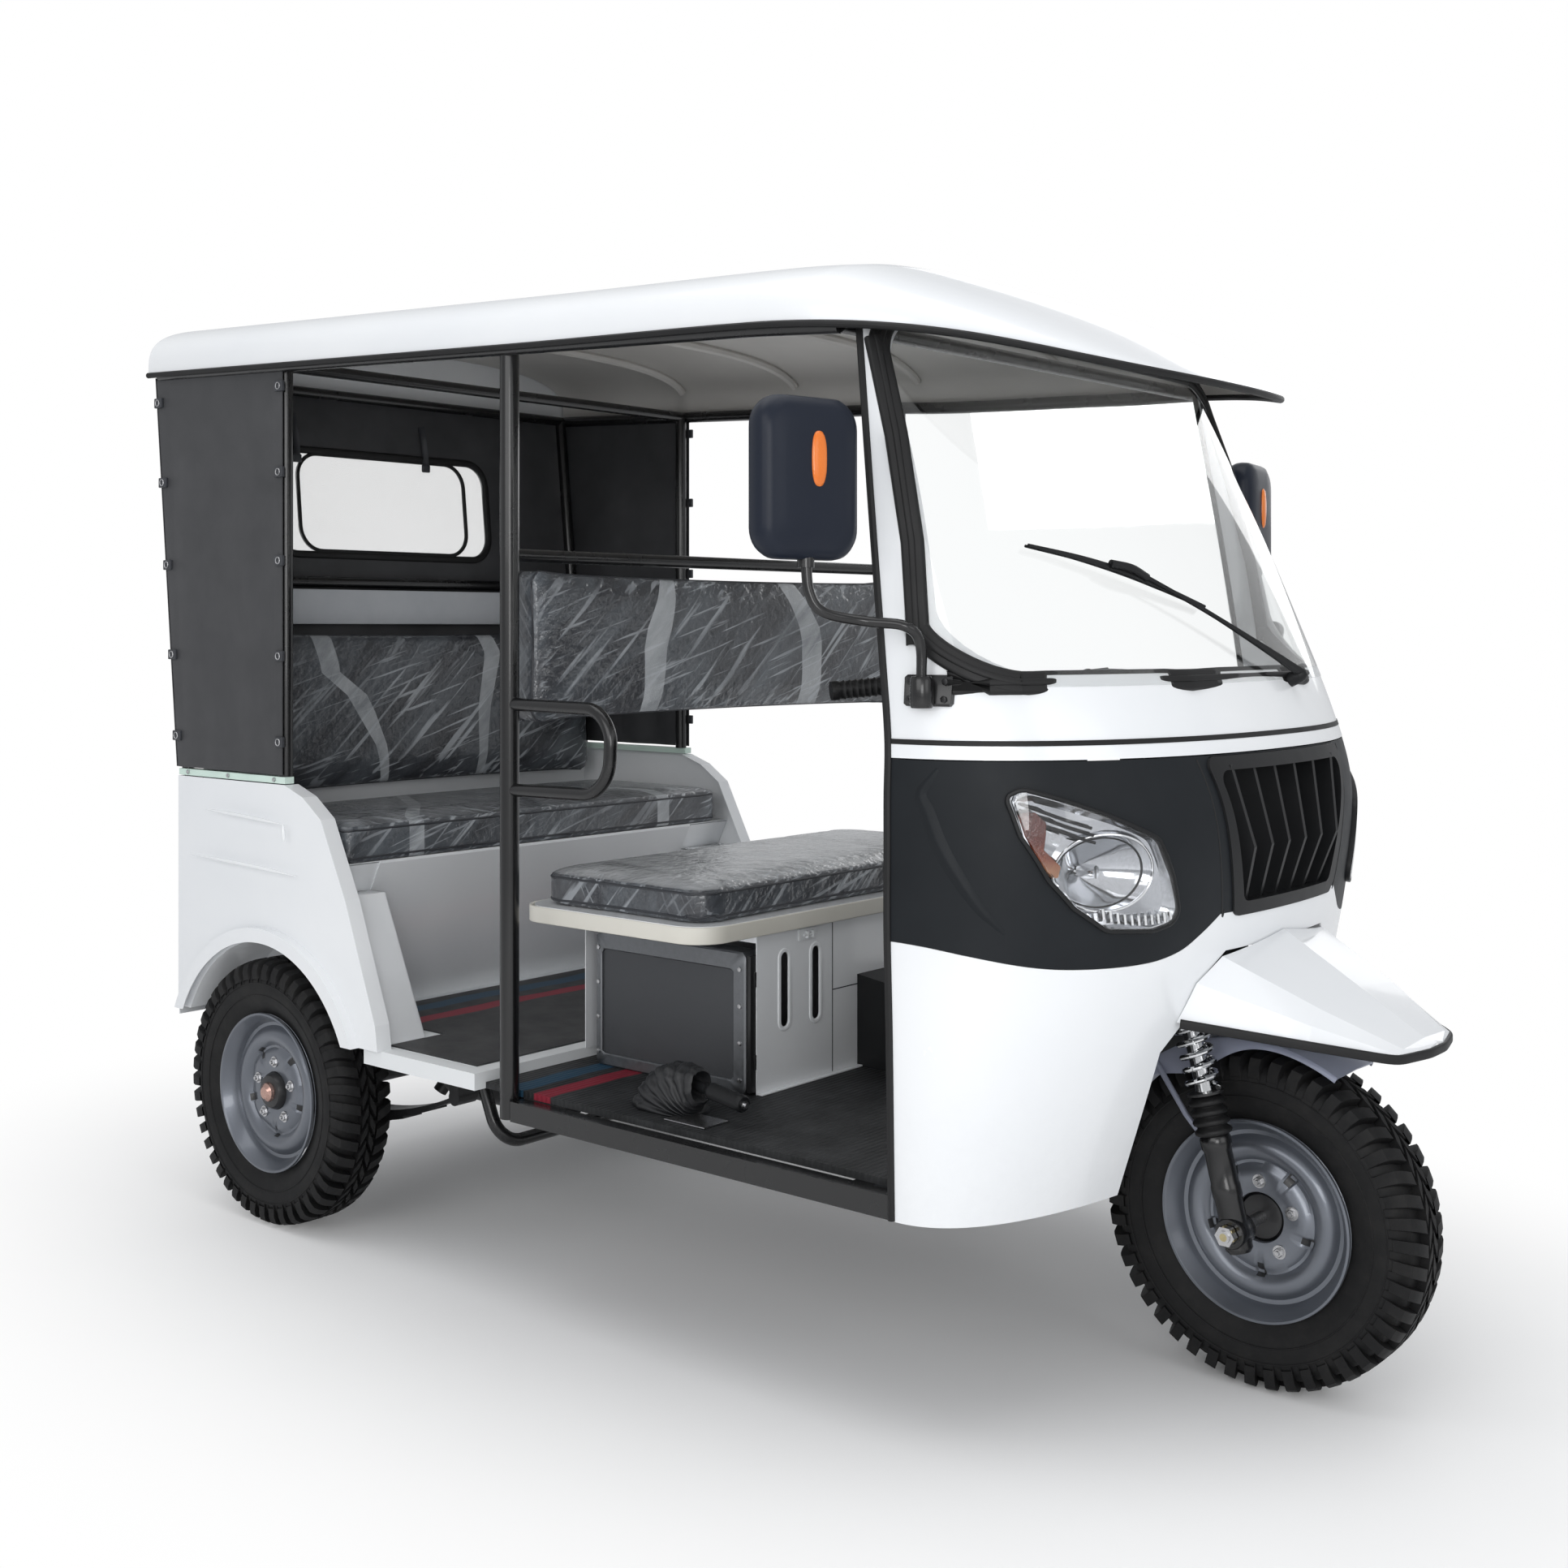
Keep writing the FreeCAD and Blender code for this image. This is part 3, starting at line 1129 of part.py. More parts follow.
def make_rear_axle():
    """Live axle with a round differential, its two hubs' stubs, carried on leaf springs."""
    inner = S.track / 2 - S.hub_width / 2 - 2
    z = float(S.tyre_radius)
    x = float(REAR)
    tube = bar((x, -inner, z), (x, inner, z), S.axle_tube_radius)
    stub = bar((x, -(inner + S.hub_width), z), (x, inner + S.hub_width, z), S.axle_radius)
    ball = Part.makeSphere(float(S.differential_radius), Vector(x, 40, z))
    ball = ball.common(block((x - 200, -30, 0), (x + 200, 110, 600)))
    nose = Part.makeCone(54, 34, 130, Vector(x + 60, 40, z + 2), Vector(1, 0, 0.05))
    drums = [Part.makeCylinder(88, 34, Vector(x, sign * (float(inner) - 1), z), Vector(0, -sign, 0))
             for sign in (-1, 1)]
    shaft = bar((x + 180, 40, z + 12), (float(back(as_size(1290))), 40, z + 70), S.shaft_radius)
    keep(feature("RearAxle", tube.fuse([stub, ball, nose, shaft] + drums)), "rear_axle")
    gauge, width = float(S.leaf_gauge), float(S.leaf_width)
    span = float(S.leaf_half_length)
    eye_z = float(S.leaf_eye_z)
    seat_z = eye_z - float(S.leaf_drop)
    rail = float(S.rail_gauge)
    stack = []
    for i in range(int(float(S.leaf_count))):
        share = 1 - 0.2 * i
        reach = span * share
        sag = float(S.leaf_drop) * share ** 2
        low = seat_z - gauge * i
        rear = reach * float(S.leaf_rear_share)
        upper = Part.Arc(Vector(x - rear, 0, low + sag), Vector(x, 0, low), Vector(x + reach, 0, low + sag)).toShape()
        lower = Part.Arc(Vector(x + reach, 0, low + sag - gauge), Vector(x, 0, low - gauge),
                         Vector(x - rear, 0, low + sag - gauge)).toShape()
        ends = [Part.makeLine(Vector(x + reach, 0, low + sag), Vector(x + reach, 0, low + sag - gauge)),
                Part.makeLine(Vector(x - rear, 0, low + sag - gauge), Vector(x - rear, 0, low + sag))]
        wire = Part.Wire([upper, ends[0], lower, ends[1]])
        leaf = Part.Face(wire).extrude(Vector(0, width, 0))
        stack.append(leaf)
    ends = (x + span, x - span * float(S.leaf_rear_share))
    eyes = [Part.makeCylinder(16, width, Vector(end, 0, eye_z - 4), Vector(0, 1, 0)) for end in ends]
    hanger = [block((end - 14, 0, eye_z - 4), (end + 14, width, RAIL_LOW + 4)) for end in ends]
    clamp = block((x - 45, 0, seat_z - 1), (x + 45, width, float(S.tyre_radius) - float(S.axle_tube_radius) + 6))
    spring = stack[0].fuse(stack[1:] + eyes + hanger + [clamp])
    spring.translate(Vector(0, rail - width / 2, 0))
    axle_hole = Part.makeCylinder(float(S.axle_tube_radius) + float(S.clearance), 2000,
                                  Vector(x, -1000, z), Vector(0, 1, 0))
    rails = block((x - 600, -600, RAIL_LOW - S.clearance),
                  (x + 600, 600, 900))
    spring = spring.cut(axle_hole).cut(rails)
    keep(feature("LeafSprings", both_sides(spring)), "leaf_springs")


def make_exhaust_and_step():
    """Silencer ahead of the rear axle with its pipe to the engine, and the bar under the passengers' step."""
    z = float(S.tyre_radius) - 14
    y = -190.0
    start = float(back(as_size(1500)))
    end = start - float(S.muffler_length)
    engine_low, engine_high = engine_corners()
    port = float(engine_low[0]) + 62
    muffler = bar((start, y, z), (end, y, z), S.muffler_radius)
    engine_foot = float(engine_low[2]) - float(S.clearance)
    pipe = run([(start - 20, y, z), (port - 130, y, z), (port - 8, y + 40, z + 10),
                (port, y + 50, engine_foot + 12)], 19)
    pipe = pipe.cut(block((port - 200, -600, engine_foot), (port + 200, 600, engine_foot + 200)))
    outlet = run([(end + 20, y, z), (end - 26, y, z - 3), (end - 46, y - 25, z - 50)], 16)
    keep(feature("Exhaust", muffler.fuse([pipe, outlet])), "exhaust")
    rail = float(S.rail_gauge)
    a, b = float(back(as_size(1500))), float(back(as_size(1445)))
    step_z = float(S.step_bar_z)
    step = run([(a, -rail, RAIL_LOW + 8), (b, -rail, step_z), (b, rail, step_z), (a, rail, RAIL_LOW + 8)],
               S.step_bar_radius)
    step = step.cut(block((a - 200, -900, RAIL_LOW - S.clearance), (a + 200, 900, 900)))
    keep(feature("StepBar", step), "step_bar")


def leg_top_z():
    """Height where a leg's centre line meets the yoke plate's underside."""
    under = float(S.yoke_gauge) / 2 + float(S.clearance)
    return float(S.yoke_z) + float(S.fork_offset) * math.sin(RAKE) - under * math.cos(RAKE)


def coil(foot, axis):
    """A spring as a stack of turns: a section with one ridge for each turn, turned about the leg."""
    length = (leg_top_z() - float(S.boot_top_z) - 2) / math.cos(RAKE)
    turns = int(float(S.coil_turns))
    pitch = length / turns
    outer = float(S.coil_radius) + float(S.coil_wire)
    inner = float(S.tube_radius) + float(S.clearance)
    points = [(inner, 0)]
    for i in range(turns):
        points.append((outer - float(S.coil_wire) * 1.6, pitch * i))
        points.append((outer, pitch * (i + 0.5)))
    points.append((outer - float(S.coil_wire) * 1.6, length))
    points.append((inner, length))
    face = Part.Face(polygon([(radius, 0, height) for radius, height in points]))
    solid = face.revolve(Vector(0, 0, 0), Vector(0, 0, 1), 360)
    solid.Placement = Placement(foot, Rotation(Vector(0, 0, 1), axis))
    return solid


def make_steering():
    """Raked telescopic fork with springs and boots, its yoke and stem, the axle and handlebar."""
    gauge = float(S.leg_half_gauge)
    axis = STEER_AXIS
    yoke_z = float(S.yoke_z)
    yoke_point = steer_point(yoke_z)
    thick = float(S.yoke_gauge)
    offset = float(S.fork_offset)
    plate = Part.makeBox(offset + 64, 2 * gauge + 60, thick, Vector(-32, -gauge - 30, -thick / 2))
    plate.Placement = Placement(yoke_point, Rotation(Vector(0, 1, 0), -math.degrees(RAKE)))
    stem_length = (float(S.stem_top_z) - yoke_z) / math.cos(RAKE)
    stem = Part.makeCylinder(float(S.stem_radius), stem_length, yoke_point, axis)
    keep(feature("ForkYoke", plate.fuse(stem).removeSplitter()), "fork_yoke")
    legs, springs = [], []
    for sign in (-1, 1):
        y = sign * gauge
        foot = leg_point(float(S.tyre_radius) - 34, y)
        slider = bar(foot, leg_point(float(S.boot_foot_z), y), S.slider_radius)
        rib = (float(S.boot_top_z) - float(S.boot_foot_z)) / 4
        parts = [bar(leg_point(float(S.boot_foot_z), y), leg_point(leg_top_z(), y), S.tube_radius)]
        for i in range(4):
            z = float(S.boot_foot_z) + rib * i
            parts.append(Part.makeCone(float(S.boot_radius), float(S.boot_radius) - 7, rib,
                                       leg_point(z, y), axis))
        lug = bar((FRONT, y - 26, S.tyre_radius), (FRONT, y + 26, S.tyre_radius), 26)
        leg = slider.fuse(parts + [lug])
        hole = bar((FRONT, y - 60, S.tyre_radius), (FRONT, y + 60, S.tyre_radius), S.axle_radius + S.clearance)
        leg = leg.cut(hole)
        legs.append(leg)
        springs.append(coil(leg_point(float(S.boot_top_z) + 2, y), axis))
    keep(feature("ForkLegs", Part.makeCompound(legs)), "fork_legs")
    keep(feature("ForkSprings", Part.makeCompound(springs)), "fork_springs")
    reach = gauge + 44
    axle = bar((FRONT, -reach, S.tyre_radius), (FRONT, reach, S.tyre_radius), S.axle_radius)
    nuts = [prism([(float(FRONT) + 17 * math.cos(math.radians(60 * k)), sign * (gauge + 26.3),
                    float(S.tyre_radius) + 17 * math.sin(math.radians(60 * k))) for k in range(6)],
                  Vector(0, sign * 14, 0)) for sign in (-1, 1)]
    keep(feature("FrontAxle", axle.fuse(nuts)), "front_axle")
    inner = float(S.tyre_radius) + float(S.guard_gap)
    guard = ring_sector((float(FRONT), float(S.tyre_radius)), inner, inner + float(S.skin), 62, 152,
                        -float(S.guard_width) / 2, float(S.guard_width) / 2)
    for sign in (-1, 1):
        angle = math.radians(125)
        rim = inner + float(S.skin) / 2
        start = (float(FRONT) + rim * math.cos(angle), sign * float(S.guard_width) / 2,
                 float(S.tyre_radius) + rim * math.sin(angle))
        leg = leg_point(float(S.boot_foot_z) - 60, sign * gauge)
        stay = bar(start, leg, S.guard_stay_radius)
        slider = bar(leg_point(300, sign * gauge), leg_point(float(S.boot_foot_z) + 60, sign * gauge),
                     S.slider_radius + S.clearance)
        guard = guard.fuse(stay.cut(slider))
    keep(feature("ForkMudguard", guard), "fork_mudguard")
    make_handlebar()


def make_handlebar():
    """Swept handlebar with a rubber grip and a lever at each end."""
    stem = steer_point(float(S.stem_top_z) + 6)
    grip_x, grip_z = float(back(S.grip_back)), float(S.grip_z)
    side_y = float(S.grip_half_gauge)
    outer = Vector(grip_x - 40, side_y + 56, grip_z - 8)
    inner = outer + Vector(138, -170, 19)
    left = [(stem.x - 10, 46, stem.z + 8), (stem.x - 90, 170, stem.z + 36), inner, outer]
    tube = run(left, S.bar_radius)
    middle = bar((stem.x - 10, -48, stem.z + 8), (stem.x - 10, 48, stem.z + 8), S.bar_radius)
    clamp = Part.makeBox(56, 110, 34, Vector(-28, -55, float(S.clearance)))
    clamp.Placement = Placement(steer_point(float(S.stem_top_z)), Rotation(Vector(0, 1, 0), -math.degrees(RAKE)))
    keep(feature("Handlebar", tube.fuse([mirrored(tube), middle, clamp])), "handlebar")
    direction = (outer - inner).normalize()
    grip = Part.makeCylinder(float(S.grip_radius), float(S.grip_length), outer + direction * 6 - direction * float(S.grip_length),
                             direction)
    bore = Part.makeCylinder(float(S.bar_radius) + float(S.clearance), 200, outer + direction * 0.5, direction * -1)
    keep(feature("HandGrips", both_sides(grip.cut(bore))), "hand_grips")


def make_mirrors():
    """Oblong mirror heads on bent stalks bolted to the cowl's corners."""
    width, tall, deep = float(S.mirror_width), float(S.mirror_height), float(S.mirror_depth)
    centre = Vector(float(back(S.mirror_back)), float(S.mirror_half_gauge), float(S.mirror_z))
    head = Part.makeBox(deep, width, tall, Vector(-deep / 2, -width / 2, -tall / 2))
    upright = [e for e in head.Edges if abs(e.tangentAt(e.FirstParameter).x) > 0.99]
    head = head.makeFillet(42, upright)
    head.Placement = Placement(centre, Rotation(Vector(0, 0, 1), float(S.mirror_toe_degrees)))
    foot = Vector(float(back(as_size(268))), 598, 1166)
    stalk = run([(centre.x, centre.y, centre.z - tall / 2 + 1), (centre.x + 4, centre.y - 4, centre.z - tall / 2 - 60),
                 (centre.x + 60, centre.y - 70, centre.z - tall / 2 - 92),
                 (foot.x, foot.y + 30, foot.z + 90), (foot.x, foot.y + 22, foot.z + 8)], S.stalk_radius)
    bracket = block((foot.x - 38, foot.y - 60, foot.z - 26), (foot.x + 38, foot.y + 34, foot.z + 22))
    bracket = bracket.cut(cowl_solid(-float(S.clearance)))
    bracket = max(bracket.Solids, key=lambda s: s.Volume)
    mirror = head.fuse([stalk, bracket])
    keep(feature("Mirrors", both_sides(mirror)), "mirrors")


def cowl_front_x(y, z):
    """Where the cowl's surface lies along X, between two of its levels."""
    bottom = float(S.cowl_bottom_z)
    share = (z - bottom) / (float(S.cowl_top_z) - bottom)
    for low, high in zip(COWL_LEVELS, COWL_LEVELS[1:]):
        if share <= high[0]:
            mix = (share - low[0]) / (high[0] - low[0])
            rear, reach, half, power = [a + (b - a) * mix for a, b in zip(low[1:], high[1:])]
            depth = (1 - min(1.0, abs(y) / half) ** power) ** (1 / power)
            return float(FRONT) - rear + (reach + rear) * depth
    return float(FRONT) - COWL_LEVELS[-1][1]


def on_cowl(y, z, proud):
    """A point standing off the cowl's front."""
    return Vector(cowl_front_x(y, z) + proud, y, z)


def make_wiper():
    """Single wiper: pivot under the windscreen, arm and curved blade lying on the glass."""
    off = float(S.seal_proud) + 13
    blade_ends = (on_cowl(-440, 1382, off), on_cowl(-262, 1337, off + 2), on_cowl(-76, 1290, off))
    arc = Part.Arc(*blade_ends).toShape()
    start = blade_ends[0]
    direction = arc.tangentAt(arc.FirstParameter)
    pipe = Part.BRepOffsetAPI.MakePipeShell(Part.Wire([arc]))
    pipe.add(Part.Wire(Part.Circle(start, direction, 6).toShape()))
    pipe.build()
    pipe.makeSolid()
    pivot = on_cowl(141, 1165, 0)
    arm = bar(pivot + Vector(20, 0, 8), blade_ends[1], 5)
    boss = Part.makeCylinder(15, 34, pivot + Vector(-2, 0, -2), Vector(1, 0, 0.3))
    whole = arm.fuse([pipe.shape(), boss]).cut(cowl_solid(-float(S.clearance)))
    whole = max(whole.Solids, key=lambda solid: solid.Volume)
    keep(feature("Wiper", whole), "wiper")


def make_small_parts():
    axle = float(FRONT)
    lever = run([(axle - 846, -505, float(S.floor_z) + 8), (axle - 838, -507, float(S.floor_z) + 40),
                 (axle - 700, -533, float(S.floor_z) + 62)], 9)
    base = block((axle - 890, -535, float(S.floor_z) + 0.3), (axle - 800, -475, float(S.floor_z) + 16))
    keep(feature("HandbrakeLever", lever.fuse(base)), "handbrake_lever")
    tail = float(back(S.tub_back))
    lamp = block((tail - 26, float(S.body_half_width) - 150, 700), (tail - 0.3, float(S.body_half_width) - 40, 820))
    keep(feature("TailLamps", both_sides(lamp)), "tail_lamps")


def main():
    make_chassis()
    make_floors()
    make_rear_body()
    make_belt_rails()
    make_soft_parts()
    make_upper_frame()
    make_curtains()
    make_roof()
    make_upper_cowl()
    make_cowl_band()
    make_leg_shield()
    make_windscreen()
    make_headlamps()
    make_grille()
    make_front_nose()
    make_dashboard()
    make_firewall()
    make_engine_bay()
    make_seat()
    make_mirrors()
    make_wiper()
    make_small_parts()
    make_rear_axle()
    make_exhaust_and_step()
    make_steering()
    make_wheels()
    doc.recompute()
    check_and_export()


def check_and_export():
    """Stop on any failed object, then write each sub-part."""
    for obj in doc.Objects:
        if "Invalid" in obj.State or "Error" in obj.State:
            raise RuntimeError("failed object: %s %s" % (obj.Name, obj.State))
    os.makedirs("parts", exist_ok=True)
    for obj in nodes:
        shape = obj.Shape
        if shape.isNull() or not shape.isValid() or not shape.Solids:
            raise RuntimeError("bad shape: %s" % obj.Label)
        shape.exportStep("parts/%s.step" % obj.Label)
        print(obj.Label, len(shape.Solids), round(shape.Volume / 1000.0, 1))


main()
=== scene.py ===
"""Finish of the three-wheeled auto rickshaw: painted panels, soft parts, wheels and small pieces.

Metres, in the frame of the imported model: +X forward, +Y left, +Z up, ground at z 0.
"""
import json
import math

import bmesh
import bpy
from mathutils import Matrix, Vector, noise
from mathutils.bvhtree import BVHTree


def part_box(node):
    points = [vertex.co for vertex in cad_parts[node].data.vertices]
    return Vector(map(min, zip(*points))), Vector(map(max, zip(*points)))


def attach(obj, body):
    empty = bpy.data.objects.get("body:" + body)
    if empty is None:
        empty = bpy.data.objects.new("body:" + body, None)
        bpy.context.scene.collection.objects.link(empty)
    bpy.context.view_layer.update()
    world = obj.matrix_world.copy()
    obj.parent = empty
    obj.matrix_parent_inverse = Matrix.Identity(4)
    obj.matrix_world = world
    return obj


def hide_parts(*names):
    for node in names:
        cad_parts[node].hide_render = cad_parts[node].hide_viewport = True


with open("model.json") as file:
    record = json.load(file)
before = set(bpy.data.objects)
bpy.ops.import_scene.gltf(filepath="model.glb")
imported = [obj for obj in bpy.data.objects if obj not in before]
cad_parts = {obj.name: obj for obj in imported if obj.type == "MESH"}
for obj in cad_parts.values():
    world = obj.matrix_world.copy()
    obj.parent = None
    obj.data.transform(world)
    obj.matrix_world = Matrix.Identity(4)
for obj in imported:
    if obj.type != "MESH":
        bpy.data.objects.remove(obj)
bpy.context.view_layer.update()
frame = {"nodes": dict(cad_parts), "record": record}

NODES = frame["nodes"]


def middle(node):
    """Centre of a node's box."""
    low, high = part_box(node)
    return (low + high) / 2


FRONT = middle("tyre_front").x
REAR = middle("tyre_rear_left").x
WHEEL_Z = middle("tyre_front").z


# Plain helpers: meshes from rows of points, sweeps, tubes, prisms

def new_object(name, mesh, materials=()):
    """An object for a mesh, with its materials."""
    obj = bpy.data.objects.new(name, mesh)
    bpy.context.scene.collection.objects.link(obj)
    for material in materials:
        mesh.materials.append(material)
    return obj


def mesh_from(points, faces):
    """A mesh from points and faces."""
    mesh = bpy.data.meshes.new("mesh")
    mesh.from_pydata([tuple(p) for p in points], [], faces)
    mesh.update()
    return mesh


def clean(mesh, merge=1e-6):
    """Join double points and turn the faces outwards."""
    work = bmesh.new()
    work.from_mesh(mesh)
    bmesh.ops.remove_doubles(work, verts=work.verts, dist=merge)
    bmesh.ops.recalc_face_normals(work, faces=work.faces)
    work.to_mesh(mesh)
    work.free()
    mesh.update()


def grid_faces(rows, columns, closed_rows=False, closed_columns=False):
    """Quads of a grid of points stored row by row."""
    faces = []
    for i in range(rows if closed_rows else rows - 1):
        for j in range(columns if closed_columns else columns - 1):
            a = i * columns + j
            b = i * columns + (j + 1) % columns
            c = ((i + 1) % rows) * columns + (j + 1) % columns
            d = ((i + 1) % rows) * columns + j
            faces.append((a, b, c, d))
    return faces


def grid(rows, closed_rows=False, closed_columns=False, caps=False):
    """A mesh through rows of points; caps close the first and last row."""
    count, columns = len(rows), len(rows[0])
    points = [p for row in rows for p in row]
    faces = grid_faces(count, columns, closed_rows, closed_columns)
    if caps:
        faces.append(tuple(range(columns)))
        faces.append(tuple((count - 1) * columns + j for j in reversed(range(columns))))
    mesh = mesh_from(points, faces)
    clean(mesh)
    return mesh


def smooth(obj, degrees=35):
    """Smooth shading, kept sharp at edges over an angle."""
    mesh = obj.data
    mesh.polygons.foreach_set("use_smooth", [True] * len(mesh.polygons))
    mesh.set_sharp_from_angle(angle=math.radians(degrees))
    return obj


def add_modifier(obj, kind, **values):
    """A modifier with its values."""
    modifier = obj.modifiers.new(kind.lower(), kind)
    for key, value in values.items():
        setattr(modifier, key, value)
    return modifier


def apply_modifiers(obj):
    """The object's mesh with its modifiers applied."""
    graph = bpy.context.evaluated_depsgraph_get()
    graph.update()
    mesh = bpy.data.meshes.new_from_object(obj.evaluated_get(graph))
    obj.modifiers.clear()
    obj.data = mesh
    return obj


def take_mesh(obj):
    """An object's mesh, with the object removed."""
    mesh = obj.data
    bpy.data.objects.remove(obj)
    return mesh


def piece(name, mesh, material, body="root", replaces=(), degrees=35, bevel=0.0):
    """A finished piece: its material, shading, body and the nodes that it stands for.

    mesh is a mesh, a list of them or an object.
    """
    materials = material if isinstance(material, list) else [material]
    if isinstance(mesh, list):
        mesh = joined(mesh)
    if isinstance(mesh, bpy.types.Object):
        obj = mesh
        obj.name = name
        obj.data.materials.clear()
        for item in materials:
            obj.data.materials.append(item)
    else:
        obj = new_object(name, mesh, materials)
    if bevel:
        add_modifier(obj, "BEVEL", width=bevel, segments=2, limit_method="ANGLE", angle_limit=math.radians(35),
                     harden_normals=False)
        apply_modifiers(obj)
    smooth(obj, degrees)
    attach(obj, body)
    if replaces:
        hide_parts(*replaces)
    return obj


def joined(meshes):
    """Several meshes as one."""
    work = bmesh.new()
    for mesh in meshes:
        work.from_mesh(mesh)
    result = bpy.data.meshes.new("joined")
    work.to_mesh(result)
    work.free()
    return result


def moved(mesh, matrix):
    """A copy of a mesh, moved."""
    copy = mesh.copy()
    copy.transform(matrix)
    if matrix.determinant() < 0:
        copy.flip_normals()
    return copy


def mirrored(mesh):
    """A copy on the vehicle's other side."""
    return moved(mesh, Matrix.Scale(-1, 4, Vector((0, 1, 0))))


def both_sides(mesh):
    """A mesh and its mirror image as one."""
    return joined([mesh, mirrored(mesh)])


def block(low, high, bevel=0.0, segments=2):
    """A block between two corners, with rounded edges."""
    work = bmesh.new()
    bmesh.ops.create_cube(work, size=1.0)
    size = Vector(high) - Vector(low)
    centre = (Vector(high) + Vector(low)) / 2
    for vert in work.verts:
        vert.co = Vector((vert.co.x * size.x, vert.co.y * size.y, vert.co.z * size.z)) + centre
    if bevel:
        bmesh.ops.bevel(work, geom=list(work.edges), offset=bevel, segments=segments, affect="EDGES", profile=0.5)
    mesh = bpy.data.meshes.new("block")
    work.to_mesh(mesh)
    work.free()
    return mesh


def frame_along(points, closed=False):
    """Tangents and turning-free normals along a line of points."""
    count = len(points)
    tangents = []
    for i in range(count):
        if closed:
            ahead, behind = points[(i + 1) % count], points[i - 1]
        else:
            ahead, behind = points[min(i + 1, count - 1)], points[max(i - 1, 0)]
        tangents.append((ahead - behind).normalized())
    side = tangents[0].orthogonal().normalized()
    normals = []
    for tangent in tangents:
        side = (side - tangent * side.dot(tangent)).normalized()
        normals.append(side.copy())
    return tangents, normals


def signed_power(value, power):
    """A value's power that keeps its sign."""
    return math.copysign(abs(value) ** power, value)


def turns(count):
    """Even angles of a full turn."""
    return [2 * math.pi * k / count for k in range(count)]


def ring_round(point, tangent, normal, radius, sides, flat=1.0):
    """Points of a round or oval section."""
    other = tangent.cross(normal)
    return [point + normal * math.cos(a) * radius + other * math.sin(a) * radius * flat for a in turns(sides)]


def smooth_line(points, steps=8, closed=False):
    """A Catmull-Rom line through points."""
    points = [Vector(p) for p in points]
    count = len(points)
    result = []
    last = count if closed else count - 1
    for i in range(last):
        p1, p2 = points[i], points[(i + 1) % count]
        p0 = points[i - 1] if closed or i > 0 else p1 + (p1 - p2)
        p3 = points[(i + 2) % count] if closed or i + 2 < count else p2 + (p2 - p1)
        for k in range(steps):
            t = k / steps
            result.append(0.5 * ((2 * p1) + (p2 - p0) * t + (2 * p0 - 5 * p1 + 4 * p2 - p3) * t * t
                                 + (3 * p1 - p0 - 3 * p2 + p3) * t ** 3))
    if not closed:
        result.append(points[-1])
    return result


def tube(points, radius, sides=14, closed=False, flat=1.0):
    """A tube along points; the radius may be one number or one for each point."""
    tangents, normals = frame_along(points, closed)
    radii = radius if isinstance(radius, (list, tuple)) else [radius] * len(points)
    rows = [ring_round(p, t, n, r, sides, flat) for p, t, n, r in zip(points, tangents, normals, radii)]
    return grid(rows, closed_rows=closed, closed_columns=True, caps=not closed)


def sweep(path, normals, profile, closed=False):
    """A section of (across, outwards) points carried along a path that lies on a surface."""
    tangents, _ = frame_along(path, closed)
    rows = []
    for point, tangent, normal in zip(path, tangents, normals):
        out = (normal - tangent * normal.dot(tangent)).normalized()
        across = tangent.cross(out).normalized()
        rows.append([point + across * a + out * b for a, b in profile])
    return grid(rows, closed_rows=closed, closed_columns=True, caps=not closed)


def rounded_section(half_width, low, high, corner, steps=4):
    """A rounded bar section in (across, outwards)."""
    corner = min(corner, half_width * 0.98, (high - low) / 2 * 0.98)
    points = []
    for cx, cy, start in ((half_width - corner, high - corner, 0), (corner - half_width, high - corner, 90),
                          (corner - half_width, low + corner, 180), (half_width - corner, low + corner, 270)):
        for k in range(steps + 1):
            a = math.radians(start + 90 * k / steps)
            points.append((cx + corner * math.cos(a), cy + corner * math.sin(a)))
    return points


def turned(profile, centre, steps=96, axis="Y"):
    """A turned piece from (axial, radial) points about a line through a centre."""
    rows = []
    for a in turns(steps):
        row = []
        for axial, radial in profile:
            if axis == "Y":
                offset = Vector((radial * math.cos(a), axial, radial * math.sin(a)))
            elif axis == "X":
                offset = Vector((axial, radial * math.cos(a), radial * math.sin(a)))
            else:
                offset = Vector((radial * math.cos(a), radial * math.sin(a), axial))
            row.append(Vector(centre) + offset)
        rows.append(row)
    return grid(rows, closed_rows=True)


def turned_closed(profile, centre, steps=96, axis="Y"):
    """A turned solid whose section is a closed loop."""
    return turned(list(profile) + [profile[0]], centre, steps, axis)


def rounded_outline(points, radius, steps=8):
    """A closed polygon in the plane with an arc at each corner."""
    count = len(points)
    result = []
    corners = [Vector((a, b, 0)) for a, b in points]
    radii = radius if isinstance(radius, (list, tuple)) else [radius] * count
    for i in range(count):
        corner = corners[i]
        a = corners[i - 1] - corner
        b = corners[(i + 1) % count] - corner
        half = a.angle(b) / 2
        reach = min(radii[i] / math.tan(half), 0.47 * a.length, 0.47 * b.length)
        bend = reach * math.tan(half)
        start = corner + a.normalized() * reach
        end = corner + b.normalized() * reach
        centre = corner + (a.normalized() + b.normalized()).normalized() * math.hypot(reach, bend)
        for k in range(steps + 1):
            mix = (start - centre).lerp(end - centre, k / steps).normalized() * bend
            point = centre + mix
            result.append((point.x, point.y))
    return result


def rounded_box(low, high, radius, steps=8):
    """A rectangle in the plane with an arc at each corner."""
    return rounded_outline([low, (high[0], low[1]), high, (low[0], high[1])], radius, steps)


def prism_x(outline, start, end):
    """A closed cutting body along X from an outline in (y, z)."""
    rows = [[Vector((x, y, z)) for y, z in outline] for x in (start, end)]
    return grid(rows, closed_columns=True, caps=True)


